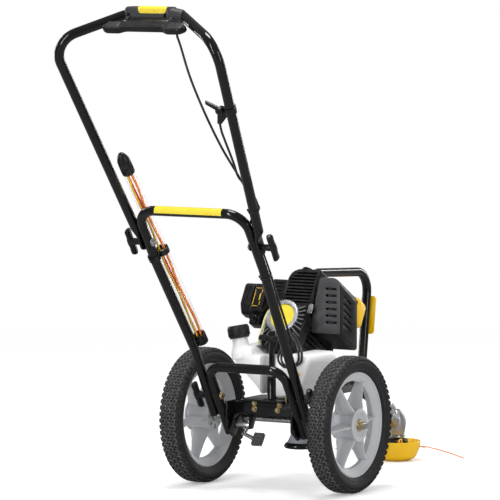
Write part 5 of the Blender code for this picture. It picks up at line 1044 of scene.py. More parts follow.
@dataclass
class Stage:
    """The plain studio: floor, light and the camera that stands where the photograph was taken."""

    eye: Vector = Vector((5.999, -10.336, 1.594)).freeze()
    pitch: float = 4.66
    heading: float = 30.45
    focal: float = 4626.5 / 500 * 36
    floor_size: float = 90.0
    fade_start: float = 1.0
    fade_end: float = 4.5
    ambient: float = 0.66
    reflected: float = 0.22
    floor_tone: Colour = (0.86, 0.86, 0.86)
    floor_mirrored: Colour = (0.25, 0.25, 0.25)
    floor_lift: float = 0.3

    def build(self) -> None:
        """Makes the camera, the world, the floor and the lamps."""
        self.camera()
        self.world()
        self.floor()
        self.lamps()
        bpy.context.scene.view_settings.view_transform = "Standard"

    def camera(self) -> None:
        """The camera at the photograph's place."""
        data = bpy.data.cameras.new("camera")
        data.lens = self.focal
        data.sensor_width = 36
        data.clip_end = 200
        camera = Bench.link("camera", data)
        camera.location = MACHINE @ self.eye
        camera.rotation_euler = (math.radians(90 - self.pitch), 0, math.radians(self.heading))
        bpy.context.scene.camera = camera

    def world(self) -> None:
        """White where the camera looks, also through glass, and plain light for the rest."""
        world = bpy.data.worlds.new("studio")
        bpy.context.scene.world = world
        world.use_nodes = True
        wiring = Wiring(world.node_tree)
        path = wiring.add("LightPath").outputs
        seen = wiring.math("MAXIMUM", path["Is Camera Ray"], path["Is Transmission Ray"])
        dim = wiring.ramp(path["Is Glossy Ray"], 0.0, 1.0, self.ambient, self.reflected)
        light = wiring.add("Background", Color=WHITE, Strength=dim)
        white = wiring.add("Background", Color=WHITE, Strength=1.0)
        mixed = wiring.add("MixShader", i0=seen, i1=light.outputs[0], i2=white.outputs[0])
        wiring.add("OutputWorld", Surface=mixed.outputs[0])

    def floor(self) -> None:
        """A pale floor that keeps the machine's shadow and goes over into the white background."""
        Bench.clear()
        bpy.ops.mesh.primitive_plane_add(size=self.floor_size)
        floor = bpy.context.object
        floor.name = "floor"
        material = bpy.data.materials.new("pale floor")
        material.use_nodes = True
        wiring = Wiring(material.node_tree)
        place = wiring.add("TexCoord").outputs["Object"]
        away = wiring.add("VectorMath", {"operation": "LENGTH"}, i0=place).outputs["Value"]
        far = wiring.ramp(away, self.fade_start, self.fade_end)
        path = wiring.add("LightPath").outputs
        seen = wiring.math("MAXIMUM", path["Is Camera Ray"], path["Is Transmission Ray"])
        lift = wiring.add("Emission", Color=WHITE, Strength=self.floor_lift)
        tone = wiring.blend(path["Is Glossy Ray"], self.floor_tone, self.floor_mirrored)
        surface = wiring.add("BsdfPrincipled", Base_Color=tone, Roughness=0.6, Specular_IOR_Level=0.2)
        lifted = wiring.add("AddShader", i0=surface.outputs[0], i1=lift.outputs[0])
        near = wiring.add("MixShader", i0=seen, i1=surface.outputs[0], i2=lifted.outputs[0])
        white = wiring.add("Emission", Color=WHITE, Strength=1.0)
        share = wiring.math("MULTIPLY", far, seen)
        mixed = wiring.add("MixShader", i0=share, i1=near.outputs[0], i2=white.outputs[0])
        wiring.add("OutputMaterial", Surface=mixed.outputs[0])
        floor.data.materials.append(material)

    def lamps(self) -> None:
        """A wide soft lamp overhead, and small bright ones that draw streaks along the tubes."""
        for name, place, size, length, power in (
            ("overhead", (0.0, -0.3, 3.4), 1.1, 1.1, 50), ("key", (-0.6, -3.9, 1.6), 0.35, 2.4, 44),
            ("right", (3.6, -1.2, 1.5), 0.25, 2.4, 26), ("left", (-3.4, 0.2, 1.5), 0.25, 2.4, 26),
            ("behind", (0.8, 3.6, 1.5), 0.3, 2.4, 26),
        ):
            data = bpy.data.lights.new(name, "AREA")
            data.shape = "RECTANGLE"
            data.size = size
            data.size_y = length
            data.energy = power
            lamp = Bench.link(name, data)
            lamp.location = MACHINE @ Vector(place)
            aim = MACHINE @ Vector((0, 0, 0.5)) - lamp.location
            lamp.rotation_euler = aim.to_track_quat("-Z", "Y").to_euler()


# Handles


@dataclass
class Handles:
    """The three bent tubes of the frame and handle, and where they meet."""

    radius: float = 0.0125
    base_x: float = 0.1128
    lower_pivot: Sizes = (-0.107, 0.245)
    base_foot: Sizes = (-0.043, 0.144)
    base_crossbar: float = 0.325
    base_bend: float = 0.042
    leg_tail: float = 0.06
    knee: Sizes = (-0.178, 0.372)
    shoulder: float = 0.6
    middle_top: Vector = Vector((0.157, -0.43, 0.745)).freeze()
    middle_bend: float = 0.052
    knee_bend: float = 0.15
    pivot_drop: float = 0.085
    corner: Vector = Vector((0.2373, -0.7, 1.1764)).freeze()
    corner_bend: float = 0.061
    brow: Vector = Vector((0.08, -0.5965, 1.2452)).freeze()
    brow_bend: float = 0.042
    tab_thickness: float = 0.008
    tab_width: float = 0.031
    tab_length: float = 0.042
    tab_tail: float = 0.021
    tab_taper: float = 0.03

    def __post_init__(self) -> None:
        """Works out the places that several pieces share."""
        self.low_x = self.base_x + 2 * self.radius + FIT
        self.knee_at = Vector((self.low_x, *self.knee))
        self.upper_pivot = on_line(self.knee_at, self.middle_top, self.middle_top.z - self.pivot_drop)
        self.upper_pivot.x = self.middle_top.x
        self.shoulder_at = on_line(self.knee_at, self.middle_top, self.shoulder)
        self.shoulder_at.x = self.middle_top.x
        self.tab_inner = self.middle_top.x + self.radius + FIT
        self.tab_outer = self.tab_inner + self.tab_thickness
        self.rise = Vector((0, self.corner.y - self.upper_pivot.y, self.corner.z - self.upper_pivot.z)).normalized()
        self.forward = Vector((0, self.rise.z, -self.rise.y))
        start = Vector((self.tab_inner + self.radius, *self.upper_pivot.yz))
        self.leg_foot = start + self.rise * (self.tab_length + self.tab_taper - self.tab_tail)
        self.along = (self.corner - self.leg_foot).normalized()

    def whole(self, name: str, rows: list[list[Vector]]) -> Thing:
        """Both halves of a tube from the sections of its right half.

        Args:
            name: the piece's name.
            rows: the sections, the last on the middle plane.

        Returns:
            The tube.
        """
        flipped = [[Vector((-p.x, p.y, p.z)) for p in row] for row in reversed(rows[:-1])]
        return Bench.loft(name, rows + flipped)

    def sections(self, path: Sequence[Vector]) -> list[list[Vector]]:
        """Round sections along a path."""
        return [ring(*place, self.radius, self.radius) for place in framed(path, RIGHT)]

    def build(self) -> None:
        """Builds the three tubes."""
        foot = Vector((self.base_x, *self.base_foot))
        corner = on_line(foot, Vector((self.base_x, *self.lower_pivot)), self.base_crossbar)
        path = bent([foot, corner, (0, corner.y, corner.z)], [self.base_bend])
        Bench.finish(self.whole("base_loop_tube", self.sections(path)), Look.BLACK_PAINT, "frame", "base_loop")
        pivot = Vector((self.low_x, *self.lower_pivot))
        foot = pivot + (pivot - self.knee_at).normalized() * self.leg_tail
        corners = [foot, self.knee_at, self.shoulder_at, self.middle_top, (0, *self.middle_top.yz)]
        path = bent(corners, [self.knee_bend, self.knee_bend, self.middle_bend])
        tube = self.whole("middle_handle_tube", self.sections(path))
        Bench.finish(tube, Look.BLACK_PAINT, "middle", "middle_handle")
        self.upper()
        self.label()

    def upper(self) -> None:
        """The upper tube, pressed flat where it is bolted on."""
        square = self.rise.cross(RIGHT)
        foot = Vector((self.tab_inner + self.tab_thickness / 2, *self.upper_pivot.yz)) - self.rise * self.tab_tail
        rows = []
        for along, width in (
            (0, 0.35), (0.0015, 0.55), (0.004, 0.76), (0.007, 0.9), (0.011, 1.0), (self.tab_length, 1.0),
        ):
            rows.append(ring(
                foot + self.rise * along, RIGHT, square, self.tab_thickness / 2, width * self.tab_width / 2, 0.5,
            ))
        for share in (0.2, 0.4, 0.6, 0.8):
            soft = share * share * (3 - 2 * share)
            point = foot.lerp(
                self.leg_foot, (self.tab_length + self.tab_taper * share) / (self.tab_length + self.tab_taper),
            )
            thick = self.tab_thickness / 2 + (self.radius - self.tab_thickness / 2) * soft
            wide = self.tab_width / 2 + (self.radius - self.tab_width / 2) * soft
            point.x = self.tab_inner + thick
            rows.append(ring(point, RIGHT, square, thick, wide, 0.5 + 0.5 * soft))
        path = bent([self.leg_foot, self.corner, self.brow, (0, *self.brow.yz)], [self.corner_bend, self.brow_bend])
        tube = self.whole("upper_handle_tube", rows + self.sections(path))
        Bench.finish(tube, Look.BLACK_PAINT, "upper", "upper_handle")

    def label(self) -> None:
        """The plain band laid over the rear and the top of the middle crossbar."""
        y, z = self.middle_top.yz
        around = [math.radians(-22 + 182 * k / 24) for k in range(25)]
        over, under = self.radius + 0.0005, self.radius - 0.0002
        section = [(math.cos(a) * over, math.sin(a) * over) for a in around]
        section += [(math.cos(a) * under, math.sin(a) * under) for a in reversed(around)]
        band = Bench.loft(
            "crossbar_band", [[Vector((x, y - back, z + up)) for back, up in section] for x in (-0.098, 0.098)],
        )
        Bench.finish(band, Look.LABEL, "middle")


@dataclass
class ClampingKnobs:
    """The four T-shaped knobs and the bolts that they screw onto."""

    handles: Handles
    bar_length: float = 0.076
    bar_width: float = 0.021
    bar_depth: float = 0.016
    stem_radius: float = 0.0085
    upper_stem: float = 0.024
    lower_stem: float = 0.014
    bolt_radius: float = 0.004
    bolt_grip: float = 0.01

    def build(self) -> None:
        """Builds both pairs."""
        h = self.handles
        for side, sign in (("left", -1), ("right", 1)):
            self.knob(
                f"upper_knob_{side}", Vector((sign * (h.tab_outer + FIT), *h.upper_pivot.yz)), sign, self.upper_stem,
            )
            start = h.low_x + h.radius + FIT
            self.knob(f"lower_knob_{side}", Vector((sign * start, *h.lower_pivot)), sign, self.lower_stem)
            self.bolt(
                f"upper_bolt_{side}", Look.ZINC_STEEL, "middle", sign, h.upper_pivot.yz, h.middle_top.x - h.radius,
                h.tab_outer + self.bolt_grip,
            )
            self.bolt(
                f"lower_bolt_{side}", Look.BRASS_STEEL, "frame", sign, h.lower_pivot, h.base_x - h.radius,
                h.low_x + h.radius + self.bolt_grip,
            )

    def knob(self, node: str, start: Vector, sign: int, stem: float) -> None:
        """A stem that widens into a bar with rounded, slightly fuller ends.

        Args:
            node: the CAD node, whose body has the same name.
            start: the middle of the stem's seat.
            sign: 1 on the right, -1 on the left.
            stem: the stem's length.
        """
        lean = math.atan2(-self.handles.rise.y, self.handles.rise.z)
        turn = Matrix.Rotation(lean, 3, "X")
        rows = []
        half = (
            (0.15, 0.98, 0.96), (0.4, 0.84, 0.9), (0.7, 0.86, 1.0), (0.86, 0.84, 0.97), (0.94, 0.72, 0.86),
            (0.985, 0.5, 0.62), (1, 0.25, 0.35),
        )
        for place, depth, width in mirrored(half):
            thick = self.bar_depth * depth
            along, out = turn @ Vector((0, 0, place * self.bar_length / 2)), Vector((sign * (stem + thick / 2), 0, 0))
            rows.append(ring(
                start + along + out, RIGHT, turn @ FRONT, thick / 2, width * self.bar_width / 2, 0.75, 20,
            ))
        bar = Bench.loft(f"{node}_grip", rows)
        profile = [
            (self.stem_radius * 0.86, 0), (self.stem_radius * 0.98, 0.0012), (self.stem_radius, stem * 0.5),
            (self.stem_radius * 1.08, stem), (self.stem_radius * 0.9, stem + 0.006),
        ]
        neck = Bench.turned(f"{node}_neck", profile, start, (sign, 0, 0), 28)
        Bench.finish(Bench.join(bar, neck), Look.BLACK_PLASTIC, node, node)

    def bolt(self, node: str, look: Look, body: str, sign: int, pivot: Point, inner: float, end: float) -> None:
        """A hexagon-headed bolt with a washer, its head on the inner side.

        Args:
            node: the CAD node.
            look: its finish.
            body: the body that it rides on.
            sign: 1 on the right, -1 on the left.
            pivot: its axis, rearwards and up.
            inner: where the inner tube's face is, from the middle.
            end: how far out it reaches.
        """
        seat, way = (sign * inner, *pivot), (sign, 0, 0)
        head = Bench.turned(f"{node}_head", [(0.0084, -0.0058), (0.0088, -0.0052), (0.0088, -0.0014)], seat, way, 6)
        shank = Bench.turned(
            f"{node}_shank", [
                (0.0105, -0.0014), (0.0107, -0.0008), (0.0107, -0.0003), (self.bolt_radius, -0.0002),
                (self.bolt_radius, end - inner),
            ], seat, way, 28,
        )
        Bench.finish(Bench.join(head, shank), look, body, node)


# Wheels


@dataclass
class Wheel:
    """One wheel: a tyre with rows of staggered tread blocks, and a moulded rim of ridged spokes."""

    side: str
    sign: int
    phase: float
    radius: float = 0.178
    track: float = 0.22
    width: float = 0.062
    tread: float = 0.044
    rim: float = 0.1365
    rim_half: float = 0.021
    crest: float = 0.113
    blocks: int = 64
    block_height: float = 0.0036
    spokes: int = 6
    hub: float = 0.0387
    hub_outer: float = 0.0325
    hub_inner: float = 0.037
    worn_depth: float = 0.0021
    worn_facing: Sizes = (0.2, 0.93)

    def build(self) -> None:
        """Builds the tyre, then the rim."""
        hub = Matrix.Translation((self.sign * self.track, 0, self.radius))
        self.turn = MACHINE @ hub @ Matrix.Rotation(QUARTER, 4, "Y")
        self.tyre()
        self.wheel()

    def tyre(self) -> None:
        """The casing with its moulded rings, and the blocks."""
        half, ground = self.width / 2, self.radius - self.block_height
        bead = self.rim + FIT
        outer = [
            (bead, 0.0195), (bead + 0.002, 0.0225), (bead + 0.005, 0.0248), (bead + 0.006, 0.0262),
            (bead + 0.0075, 0.027), (bead + 0.009, 0.0266), (bead + 0.016, half - 0.0008), (bead + 0.021, half),
            (ground - 0.014, half), (ground - 0.0125, half), (ground - 0.0105, half - 0.0018),
            (ground - 0.006, half - 0.0035), (ground - 0.0016, self.tread / 2 + 0.0025),
            (ground - 0.0004, self.tread / 2 - 0.001), (ground, self.tread / 4), (ground, 0),
        ]
        profile = outer + [(r, -z) for r, z in reversed(outer[:-1])]
        profile.append((bead, 0))
        casing = Bench.lathe(f"tyre_{self.side}_casing", profile, 120, closed=True)
        pitch = math.tau / self.blocks
        long, wide = pitch * self.radius * 0.94, self.tread / 3
        outline = [
            (-long / 2, 0), (-long * 0.22, -wide * 0.47), (long * 0.3, -wide * 0.47), (long / 2, 0),
            (long * 0.22, wide * 0.47), (-long * 0.3, wide * 0.47),
        ]
        steps = ((ground - 0.0012, 1.03), (self.radius - 0.0012, 0.93), (self.radius - 0.0001, 0.72))
        block = Bench.loft("tread_block", [[Vector((x * k, y * k, z)) for x, y in outline] for z, k in steps])
        places = []
        for row, across in enumerate((-1, 0, 1)):
            for k in range(self.blocks):
                angle = pitch * (k + 0.5 * (row % 2))
                drop = 0.0007 * abs(across)
                stand = Matrix(((0, 0, 1, -drop), (1, 0, 0, 0), (0, 1, 0, across * wide), (0, 0, 0, 1)))
                places.append(Matrix.Rotation(angle, 4, "Z") @ stand)
        blocks = Bench.copies("tread", block, places)
        outline = ((-long * 0.4, -0.0045), (long * 0.4, -0.0045), (long * 0.28, 0.0045), (-long * 0.28, 0.0045))
        rows = [[Vector((z, x * k, y)) for x, y in outline] for z, k in ((0, 1.1), (0.0022, 0.95))]
        shoulder = Bench.loft("shoulder_block", rows)
        tilt = Matrix.Rotation(math.radians(-38), 4, "Y")
        places = []
        for k in range(self.blocks):
            for up, shift in ((1, 0.5), (-1, 0.0)):
                seat = Matrix.Translation((ground - 0.004, 0, up * (self.width / 2 - 0.0048)))
                flip = Matrix.Scale(-1, 4, UP) if up < 0 else Matrix.Identity(4)
                places.append(Matrix.Rotation(pitch * (k + shift), 4, "Z") @ seat @ flip @ tilt)
        shoulders = Bench.copies("shoulders", shoulder, places)
        tyre = Bench.join(casing, blocks, shoulders)
        Bench.edit(tyre, lambda: bpy.ops.mesh.normals_make_consistent(inside=False))
        Bench.finish(tyre, Look.TYRE_RUBBER, f"wheel_{self.side}", f"tyre_{self.side}", where=self.turn, angle=28)
        # The chamfers round the blocks' tops take lighter rubber as a painted highlight.
        axle = self.turn.inverted()
        Bench.second(
            tyre, Look.WORN_RUBBER, lambda face: self.slanted(axle @ face.center, axle.to_3x3() @ face.normal),
        )

    def slanted(self, point: Vector, normal: Vector) -> bool:
        """Whether a face is the chamfer round a block's top."""
        out = Vector((point.x, point.y))
        facing = Vector((normal.x, normal.y)).dot(out.normalized())
        return out.length > self.radius - self.worn_depth and self.worn_facing[0] < facing < self.worn_facing[1]

    def wheel(self) -> None:
        """The rim's band, spokes and hub as one moulding."""
        h = self.rim_half
        band = [
            (self.rim, h - 0.0012), (self.rim - 0.0012, h), (self.rim - 0.004, h), (self.rim - 0.0052, h - 0.001),
            (self.rim - 0.0075, h - 0.0045), (self.rim - 0.0085, h - 0.005), (self.crest + 0.0022, 0.0068),
            (self.crest + 0.0006, 0.006), (self.crest, 0.0048),
        ]
        profile = band + [(r, -z) for r, z in reversed(band)]
        rim = Bench.lathe(f"rim_{self.side}_moulding", profile, 120, closed=True)
        s, out, inner = self.sign, self.hub_outer, self.hub_inner
        hub = [
            (0.0083, -inner + 0.006), (0.014, -inner + 0.006), (0.015, -inner + 0.002), (0.02, -inner),
            (0.0368, -inner), (self.hub, -inner + 0.002), (self.hub, out - 0.006), (0.0424, out - 0.005),
            (0.0428, out - 0.0012), (0.0412, out), (0.0335, out), (0.0318, out - 0.0012), (0.03, out - 0.0042),
            (0.019, out - 0.0042), (0.018, out - 0.003), (0.015, out - 0.003), (0.0083, out - 0.0042),
        ]
        hub = [(r, s * z) for r, z in hub]
        middle = Bench.lathe("hub", hub, 64, closed=True)
        spokes = [self.spoke(self.phase + 360 * k / self.spokes) for k in range(self.spokes)]
        pockets = []
        for k in range(8):
            pocket = Bench.box("pocket", (-0.0045, 0.023, -0.006), (0.0045, 0.034, 0.006), 0.0018, 2)
            Bench.place(
                pocket, Matrix.Rotation(math.tau * k / 8, 4, "Z") @ Matrix.Translation((0, 0, -s * (inner - 0.001))),
            )
            pockets.append(pocket)
        Bench.boolean(middle, *pockets)
        Bench.finish(
            Bench.join(rim, middle, *spokes), Look.RIM_PLASTIC, f"wheel_{self.side}", f"rim_{self.side}",
            where=self.turn, angle=24,
        )

    def spoke(self, degrees: float) -> Thing:
        """One spoke, deep along the axle, with a ridge down its middle.

        Args:
            degrees: its angle from straight up, towards the front.

        Returns:
            The spoke, in the wheel's own frame.
        """
        rows = []
        for radius, depth, ridge in (
            (self.hub - 0.004, 0.056, 0.0185), (0.05, 0.0545, 0.017), (0.066, 0.042, 0.0145), (0.084, 0.034, 0.012),
            (0.104, 0.0275, 0.01), (self.crest + 0.006, 0.0235, 0.0095),
        ):
            edge = 0.0023
            half = [
                (depth / 2, -edge), (depth / 2, edge), (depth / 2 - 0.003, edge + 0.0006), (0.0034, ridge / 2),
                (-0.0034, ridge / 2), (-depth / 2 + 0.003, edge + 0.0006),
            ]
            outline = half + [(-x, -y) for x, y in half]
            rows.append([Vector((-radius, y, x)) for x, y in outline])
        made = Bench.loft("spoke", rows)
        Bench.bevel(made, 0.0007, 28)
        Bench.place(made, Matrix.Rotation(-math.radians(degrees), 4, "Z"))
        return made


# Engine


@dataclass
class Engine:
    """The engine's covers, built in its own frame and laid onto its slope."""

    fan_rear: float = 0.006
    case_rear: float = 0.045
    case_front: float = 0.14
    fan: Sizes = (-0.062, 0.042, 0.058, -0.095, 0.038)
    fan_corner: float = 0.024
    ring_across: float = -0.012
    ring_outer: float = 0.047
    ring_inner: float = 0.034
    knurls: int = 44
    rib_angles: range = range(-172, 60, 11)
    rib_reach: Sizes = (0.051, 0.054, 0.09)
    case: Sizes = (-0.046, 0.046, -0.052, 0.041)
    cover: Sizes = (-0.04, 0.053, 0.0413, 0.148)
    cover_depth: Sizes = (0.024, 0.134)
    shoulder: float = 0.022
    louvres: int = 10
    hood: Outline = ((0.001, 0.0014), (-0.0024, 0.0008), (-0.0028, 0.0018), (-0.0016, 0.004), (0.001, 0.0046))
    filter_x: Sizes = (-0.152, -0.122, -0.086)
    filter_yz: Sizes = (0.008, 0.066, 0.012, 0.093)
    intake: Sizes = (0.03, 0.09, 0.056, 0.118)

    def build(self) -> None:
        """Builds each cover."""
        self.starter()
        self.grip()
        self.crankcase()
        self.top_cover()
        self.filter()

    def deliver(self, thing: Thing, look: Look, node: str = "", body: str = "power") -> None:
        """Lays a piece onto the engine's slope and finishes it."""
        Bench.finish(thing, look, body, node, where=ENGINE, angle=30)

    def starter(self) -> None:
        """The fan housing with cooling ribs round the starter, their outer faces painted grey as a highlight, its
        bright knurled ring and the plain disc.
        """
        left, low_right, right, bottom, top = self.fan
        c = self.fan_corner
        outline = rounded(
            [(left, bottom), (low_right, bottom), (right, top - c * 1.4), (right - c * 0.8, top), (left, top)],
            c * 1.5,
        )
        body = Bench.plate(
            "starter_housing_shell", outline, "Y", self.fan_rear + 0.0022, self.case_rear - FIT, 0.0035, 3,
        )
        inner = [(x * 0.93, z * 0.93 - 0.001) for x, z in outline]
        dais = Bench.plate("dais", inner, "Y", self.fan_rear, self.fan_rear + 0.006, 0.0012, 2)
        ribs = []
        for degrees in self.rib_angles:
            angle = math.radians(degrees)
            way = Vector((math.cos(angle), math.sin(angle)))
            reach, least, most = self.rib_reach
            while reach < most:
                x, z = self.ring_across + way.x * (reach + 0.004), way.y * (reach + 0.004)
                if not (left + 0.006 < x < right and bottom + 0.006 < z < top - 0.006):
                    break
                reach += 0.001
            if reach > least:
                rib = Bench.box(
                    "rib", (0.0485, self.fan_rear - 0.008, -0.0017), (reach, self.fan_rear + 0.002, 0.0017), 0.0009,
                    2,
                )
                turn = Matrix.Rotation(-angle, 4, "Y")
                Bench.place(rib, Matrix.Translation((self.ring_across, 0, 0)) @ turn)
                ribs.append(rib)
        screws = [
            Bench.turned(
                "screw", [(0.004, 0.0), (0.004, 0.0016), (0.0034, 0.0022), (0.002, 0.0022)],
                (x, self.fan_rear + 0.0001, z), REAR, 16,
            )
            for x, z in (
                (left + 0.01, top - 0.012), (right - 0.014, top - 0.014), (left + 0.012, bottom + 0.014),
                (low_right - 0.01, bottom + 0.012),
            )
        ]
        low, high = 0.384, 0.398
        lug = Bench.box("lug", (-0.013, -0.034, low), (0.013, 0.06, high), 0.0025, 3)
        bore = Bench.turned("bore", [(0.0083, low - 0.01), (0.0083, high + 0.02)], (0, POST_Y, 0), UP, 32)
        Bench.boolean(lug, bore)
        Bench.place(lug, ENGINE.inverted() @ MACHINE)
        whole = Bench.join(body, dais, lug, *ribs, *screws)
        self.deliver(whole, Look.BLACK_PLASTIC, "starter_housing")
        # The ribs' outer faces take the grey grip rubber as a painted highlight.
        back, low, high = ENGINE.inverted(), self.fan_rear - 0.0085, self.fan_rear - 0.006
        Bench.second(whole, Look.PAD_GREY, lambda face: low < (back @ face.center).y < high)
        face, out, into = self.fan_rear - FIT, self.ring_outer, self.ring_inner
        profile = [
            (into, 0.0), (into, 0.0052), (into + 0.0012, 0.0062), (out - 0.0045, 0.0062), (out - 0.0022, 0.005),
            (out - 0.001, 0.003), (out - 0.001, 0.0),
        ]
        ring_made = Bench.lathe("starter_ring_bright", profile, 96, closed=True)
        tooth = Bench.box("tooth", (out - 0.003, -0.0014, 0.0), (out, 0.0014, 0.0052), 0.0005, 1)
        teeth = Bench.around("teeth", tooth, self.knurls)
        whole = Bench.join(ring_made, teeth)
        seat = Matrix.Translation((self.ring_across, face, 0)) @ Matrix.Rotation(QUARTER, 4, "X")
        Bench.place(whole, seat)
        self.deliver(whole, Look.ALUMINIUM, "starter_ring")
        disc = Bench.lathe(
            "starter_disc", [
                (into - 0.0002, 0.0), (into - 0.0002, 0.003), (into - 0.0018, 0.0036), (into - 0.006, 0.0036),
                (into - 0.0068, 0.003), (0.006, 0.0034), (0.003, 0.0034),
            ], 64,
        )
        Bench.place(disc, seat)
        self.deliver(disc, Look.LABEL)

    def grip(self) -> None:
        """The rounded pull grip on its guide bush."""
        middle = Vector((-0.04, self.fan_rear - 0.0123, -0.068))
        rows = []
        half = ((0.35, 1), (0.7, 0.98), (0.88, 0.86), (0.97, 0.62), (1, 0.35))
        for place, share in mirrored(half, (0, 0.95)):
            rows.append(ring(
                middle + Vector((place * 0.018, 0, 0)), UP, FRONT, 0.008 * share, 0.0065 * share, 0.85, 20,
            ))
        bar = Bench.loft("starter_grip_moulding", rows)
        face = self.fan_rear - FIT
        bush = Bench.turned(
            "bush", [(0.0058, 0.0), (0.0058, 0.002), (0.0044, 0.003), (0.0044, 0.011)], (middle.x, face, middle.z),
            REAR, 24,
        )
        self.deliver(Bench.join(bar, bush), Look.BLACK_PLASTIC, "starter_grip", "grip")

    def crankcase(self) -> None:
        """The finned crankcase behind the fan housing."""
        left, right, low, high = self.case
        pitch = (high - low) / 7
        body = Bench.box(
            "crankcase_casting", (left, self.case_rear, low), (right - 0.01, self.case_front, high), 0.0015, 2,
        )
        fins = []
        for k in range(7):
            base = low + k * pitch
            fins.append(Bench.box(
                "fin", (0.0, self.case_rear + 0.001, base + pitch * 0.05),
                (right, self.case_front - 0.001, base + pitch * 0.42), 0.0008, 2,
            ))
        self.deliver(Bench.join(body, *fins), Look.BLACK_PLASTIC, "crankcase")

    def top_cover(self) -> None:
        """The cylinder's cover: a rounded shell, louvres across its rear and a raised frame at its right."""
        left, right, low, high = self.cover
        rear, front = self.cover_depth
        s = self.shoulder
        outline = rounded(
            [
                (left, low), (right, low), (right, high), (left + s * 1.15, high), (left + s * 0.35, high - s * 0.4),
                (left, high - s * 1.15),
            ], 0.007, 4,
        )
        body = Bench.plate("top_cover_shell", outline, "Y", rear, front, 0.003, 3)
        pitch = (high - low - 0.014) / self.louvres
        cutters, hoods = [], []
        for k in range(self.louvres):
            middle = low + 0.007 + pitch * (k + 0.5)
            start = left + 0.006 + max(0.0, middle + 0.004 - high + s * 1.1)
            end = right - 0.011
            cutters.append(Bench.box(
                "slot", (start, rear - 0.01, middle - 0.003), (end, rear + 0.01, middle + 0.0012), 0.0008, 1,
            ))
            rows = [[Vector((x, rear + y, middle + z)) for y, z in self.hood] for x in (start - 0.001, end + 0.001)]
            hoods.append(Bench.loft("hood", rows))
        Bench.boolean(body, *cutters)
        frame_bar = Bench.box(
            "frame_bar", (right - 0.0085, rear - 0.003, low + 0.003), (right - 0.001, rear + 0.004, high - 0.006),
            0.0014, 3,
        )
        ridge = [
            Bench.box("ridge", (x, rear + 0.006, high - 0.003), (x + 0.0045, front - 0.008, high + 0.0025), 0.0012, 2)
            for x in (left + s + 0.014, 0.012, 0.034)
        ]
        screws = [
            Bench.turned(
                "screw", [(0.0042, 0.0), (0.0042, 0.0018), (0.0034, 0.0026), (0.002, 0.0026)],
                (right - 0.0048, rear - 0.003, z), REAR, 16,
            ) for z in (low + 0.016, high - 0.02)
        ]
        self.deliver(Bench.join(body, frame_bar, *hoods, *ridge, *screws), Look.BLACK_PLASTIC, "top_cover")
        bracket = Bench.plate(
            "engine_bracket",
            rounded([(0.047, 0.02), (0.06, 0.02), (0.06, 0.042), (0.052, 0.048), (0.045, 0.042)], 0.003, 3), "Y",
            0.0202, 0.0236, 0.0006,
        )
        bolt = Bench.turned(
            "bolt", [(0.0052, 0.0), (0.0052, 0.003), (0.0046, 0.0036)], (0.053, 0.0203, 0.034), REAR, 6,
        )
        self.deliver(Bench.join(bracket, bolt), Look.ZINC_STEEL)

    def filter(self) -> None:
        """The air filter's base with the slotted intake box, the cover that clips on, and yellow trim."""
        left, split, right = self.filter_x
        rear, front, low, high = self.filter_yz
        base = Bench.box("air_filter_base_moulding", (split + FIT, rear, low), (right, front, high), 0.004, 4)
        panel = Bench.box(
            "panel", (split + 0.005, rear - 0.0016, low + 0.01), (right - 0.006, rear + 0.004, high - 0.01), 0.0012,
            2,
        )
        carburettor = Bench.box(
            "carburettor", (split + 0.002, rear + 0.012, low - 0.03), (right - 0.002, front - 0.012, low + 0.004),
            0.004, 3,
        )
        stub = Bench.turned(
            "stub", [(0.01, 0.0), (0.01, 0.01), (0.0085, 0.011), (0.0085, 0.018)],
            ((split + right) / 2, rear + 0.012, low - 0.018), REAR, 28,
        )
        edge, (back, ahead, low_in, high_in) = self.cover[0], self.intake
        box = Bench.box("intake", (right - 0.001, back, low_in), (edge - FIT, ahead, high_in), 0.003, 3)
        cutters = [
            Bench.box(
                "slot", (edge - 0.038, back - 0.002, high_in - rise),
                (edge - 0.012, back + 0.005, high_in - rise + 0.0045), 0.0008, 1,
            ) for rise in (0.014, 0.025, 0.036, 0.047)
        ]
        Bench.boolean(box, *cutters)
        self.deliver(Bench.join(base, panel, carburettor, stub, box), Look.BLACK_PLASTIC, "air_filter_base")
        profile = [
            (rear - 0.002, low + 0.02), (rear + 0.016, low - 0.002), (front - 0.012, low - 0.002),
            (front + 0.002, low + 0.016), (front + 0.002, high - 0.01), (front - 0.01, high + 0.002),
            (rear + 0.006, high + 0.002), (rear - 0.002, high - 0.006),
        ]
        slab = Bench.plate("air_filter_cover_moulding", rounded(profile, 0.006, 3), "X", left, split, 0.003, 3)
        grooves = [
            Bench.box(
                "groove", (left + x, rear - 0.006, low + 0.018), (left + x + 0.002, rear + 0.0015, high - 0.008),
                0.0006, 1,
            ) for x in (0.009, 0.0165)
        ]
        Bench.boolean(slab, *grooves)
        self.deliver(slab, Look.BLACK_PLASTIC, "air_filter_cover")
        x0, x1, z0, z1, y = split + 0.0068, right - 0.0078, low + 0.014, high - 0.014, rear - 0.0016
        bars = [
            ((x0, z0 + 0.004), (x0 + 0.0016, z1 - 0.006)), ((x0, z1 - 0.0016), (x1 - 0.004, z1)),
            ((x0, z0), (x1 - 0.004, z0 + 0.0016)), ((x1 - 0.0056, z0 + 0.018), (x1 - 0.0022, z1 - 0.016)),
            ((x1 - 0.0016, z0 + 0.004), (x1, z0 + 0.014)), ((x1 - 0.0016, z1 - 0.014), (x1, z1 - 0.004)),
        ]
        trims = [Bench.box("trim", (a[0], y - 0.0006, a[1]), (b[0], y + 0.001, b[1]), 0.0003, 1) for a, b in bars]
        self.deliver(Bench.join(*trims, name="filter_trim"), Look.YELLOW_PLASTIC)


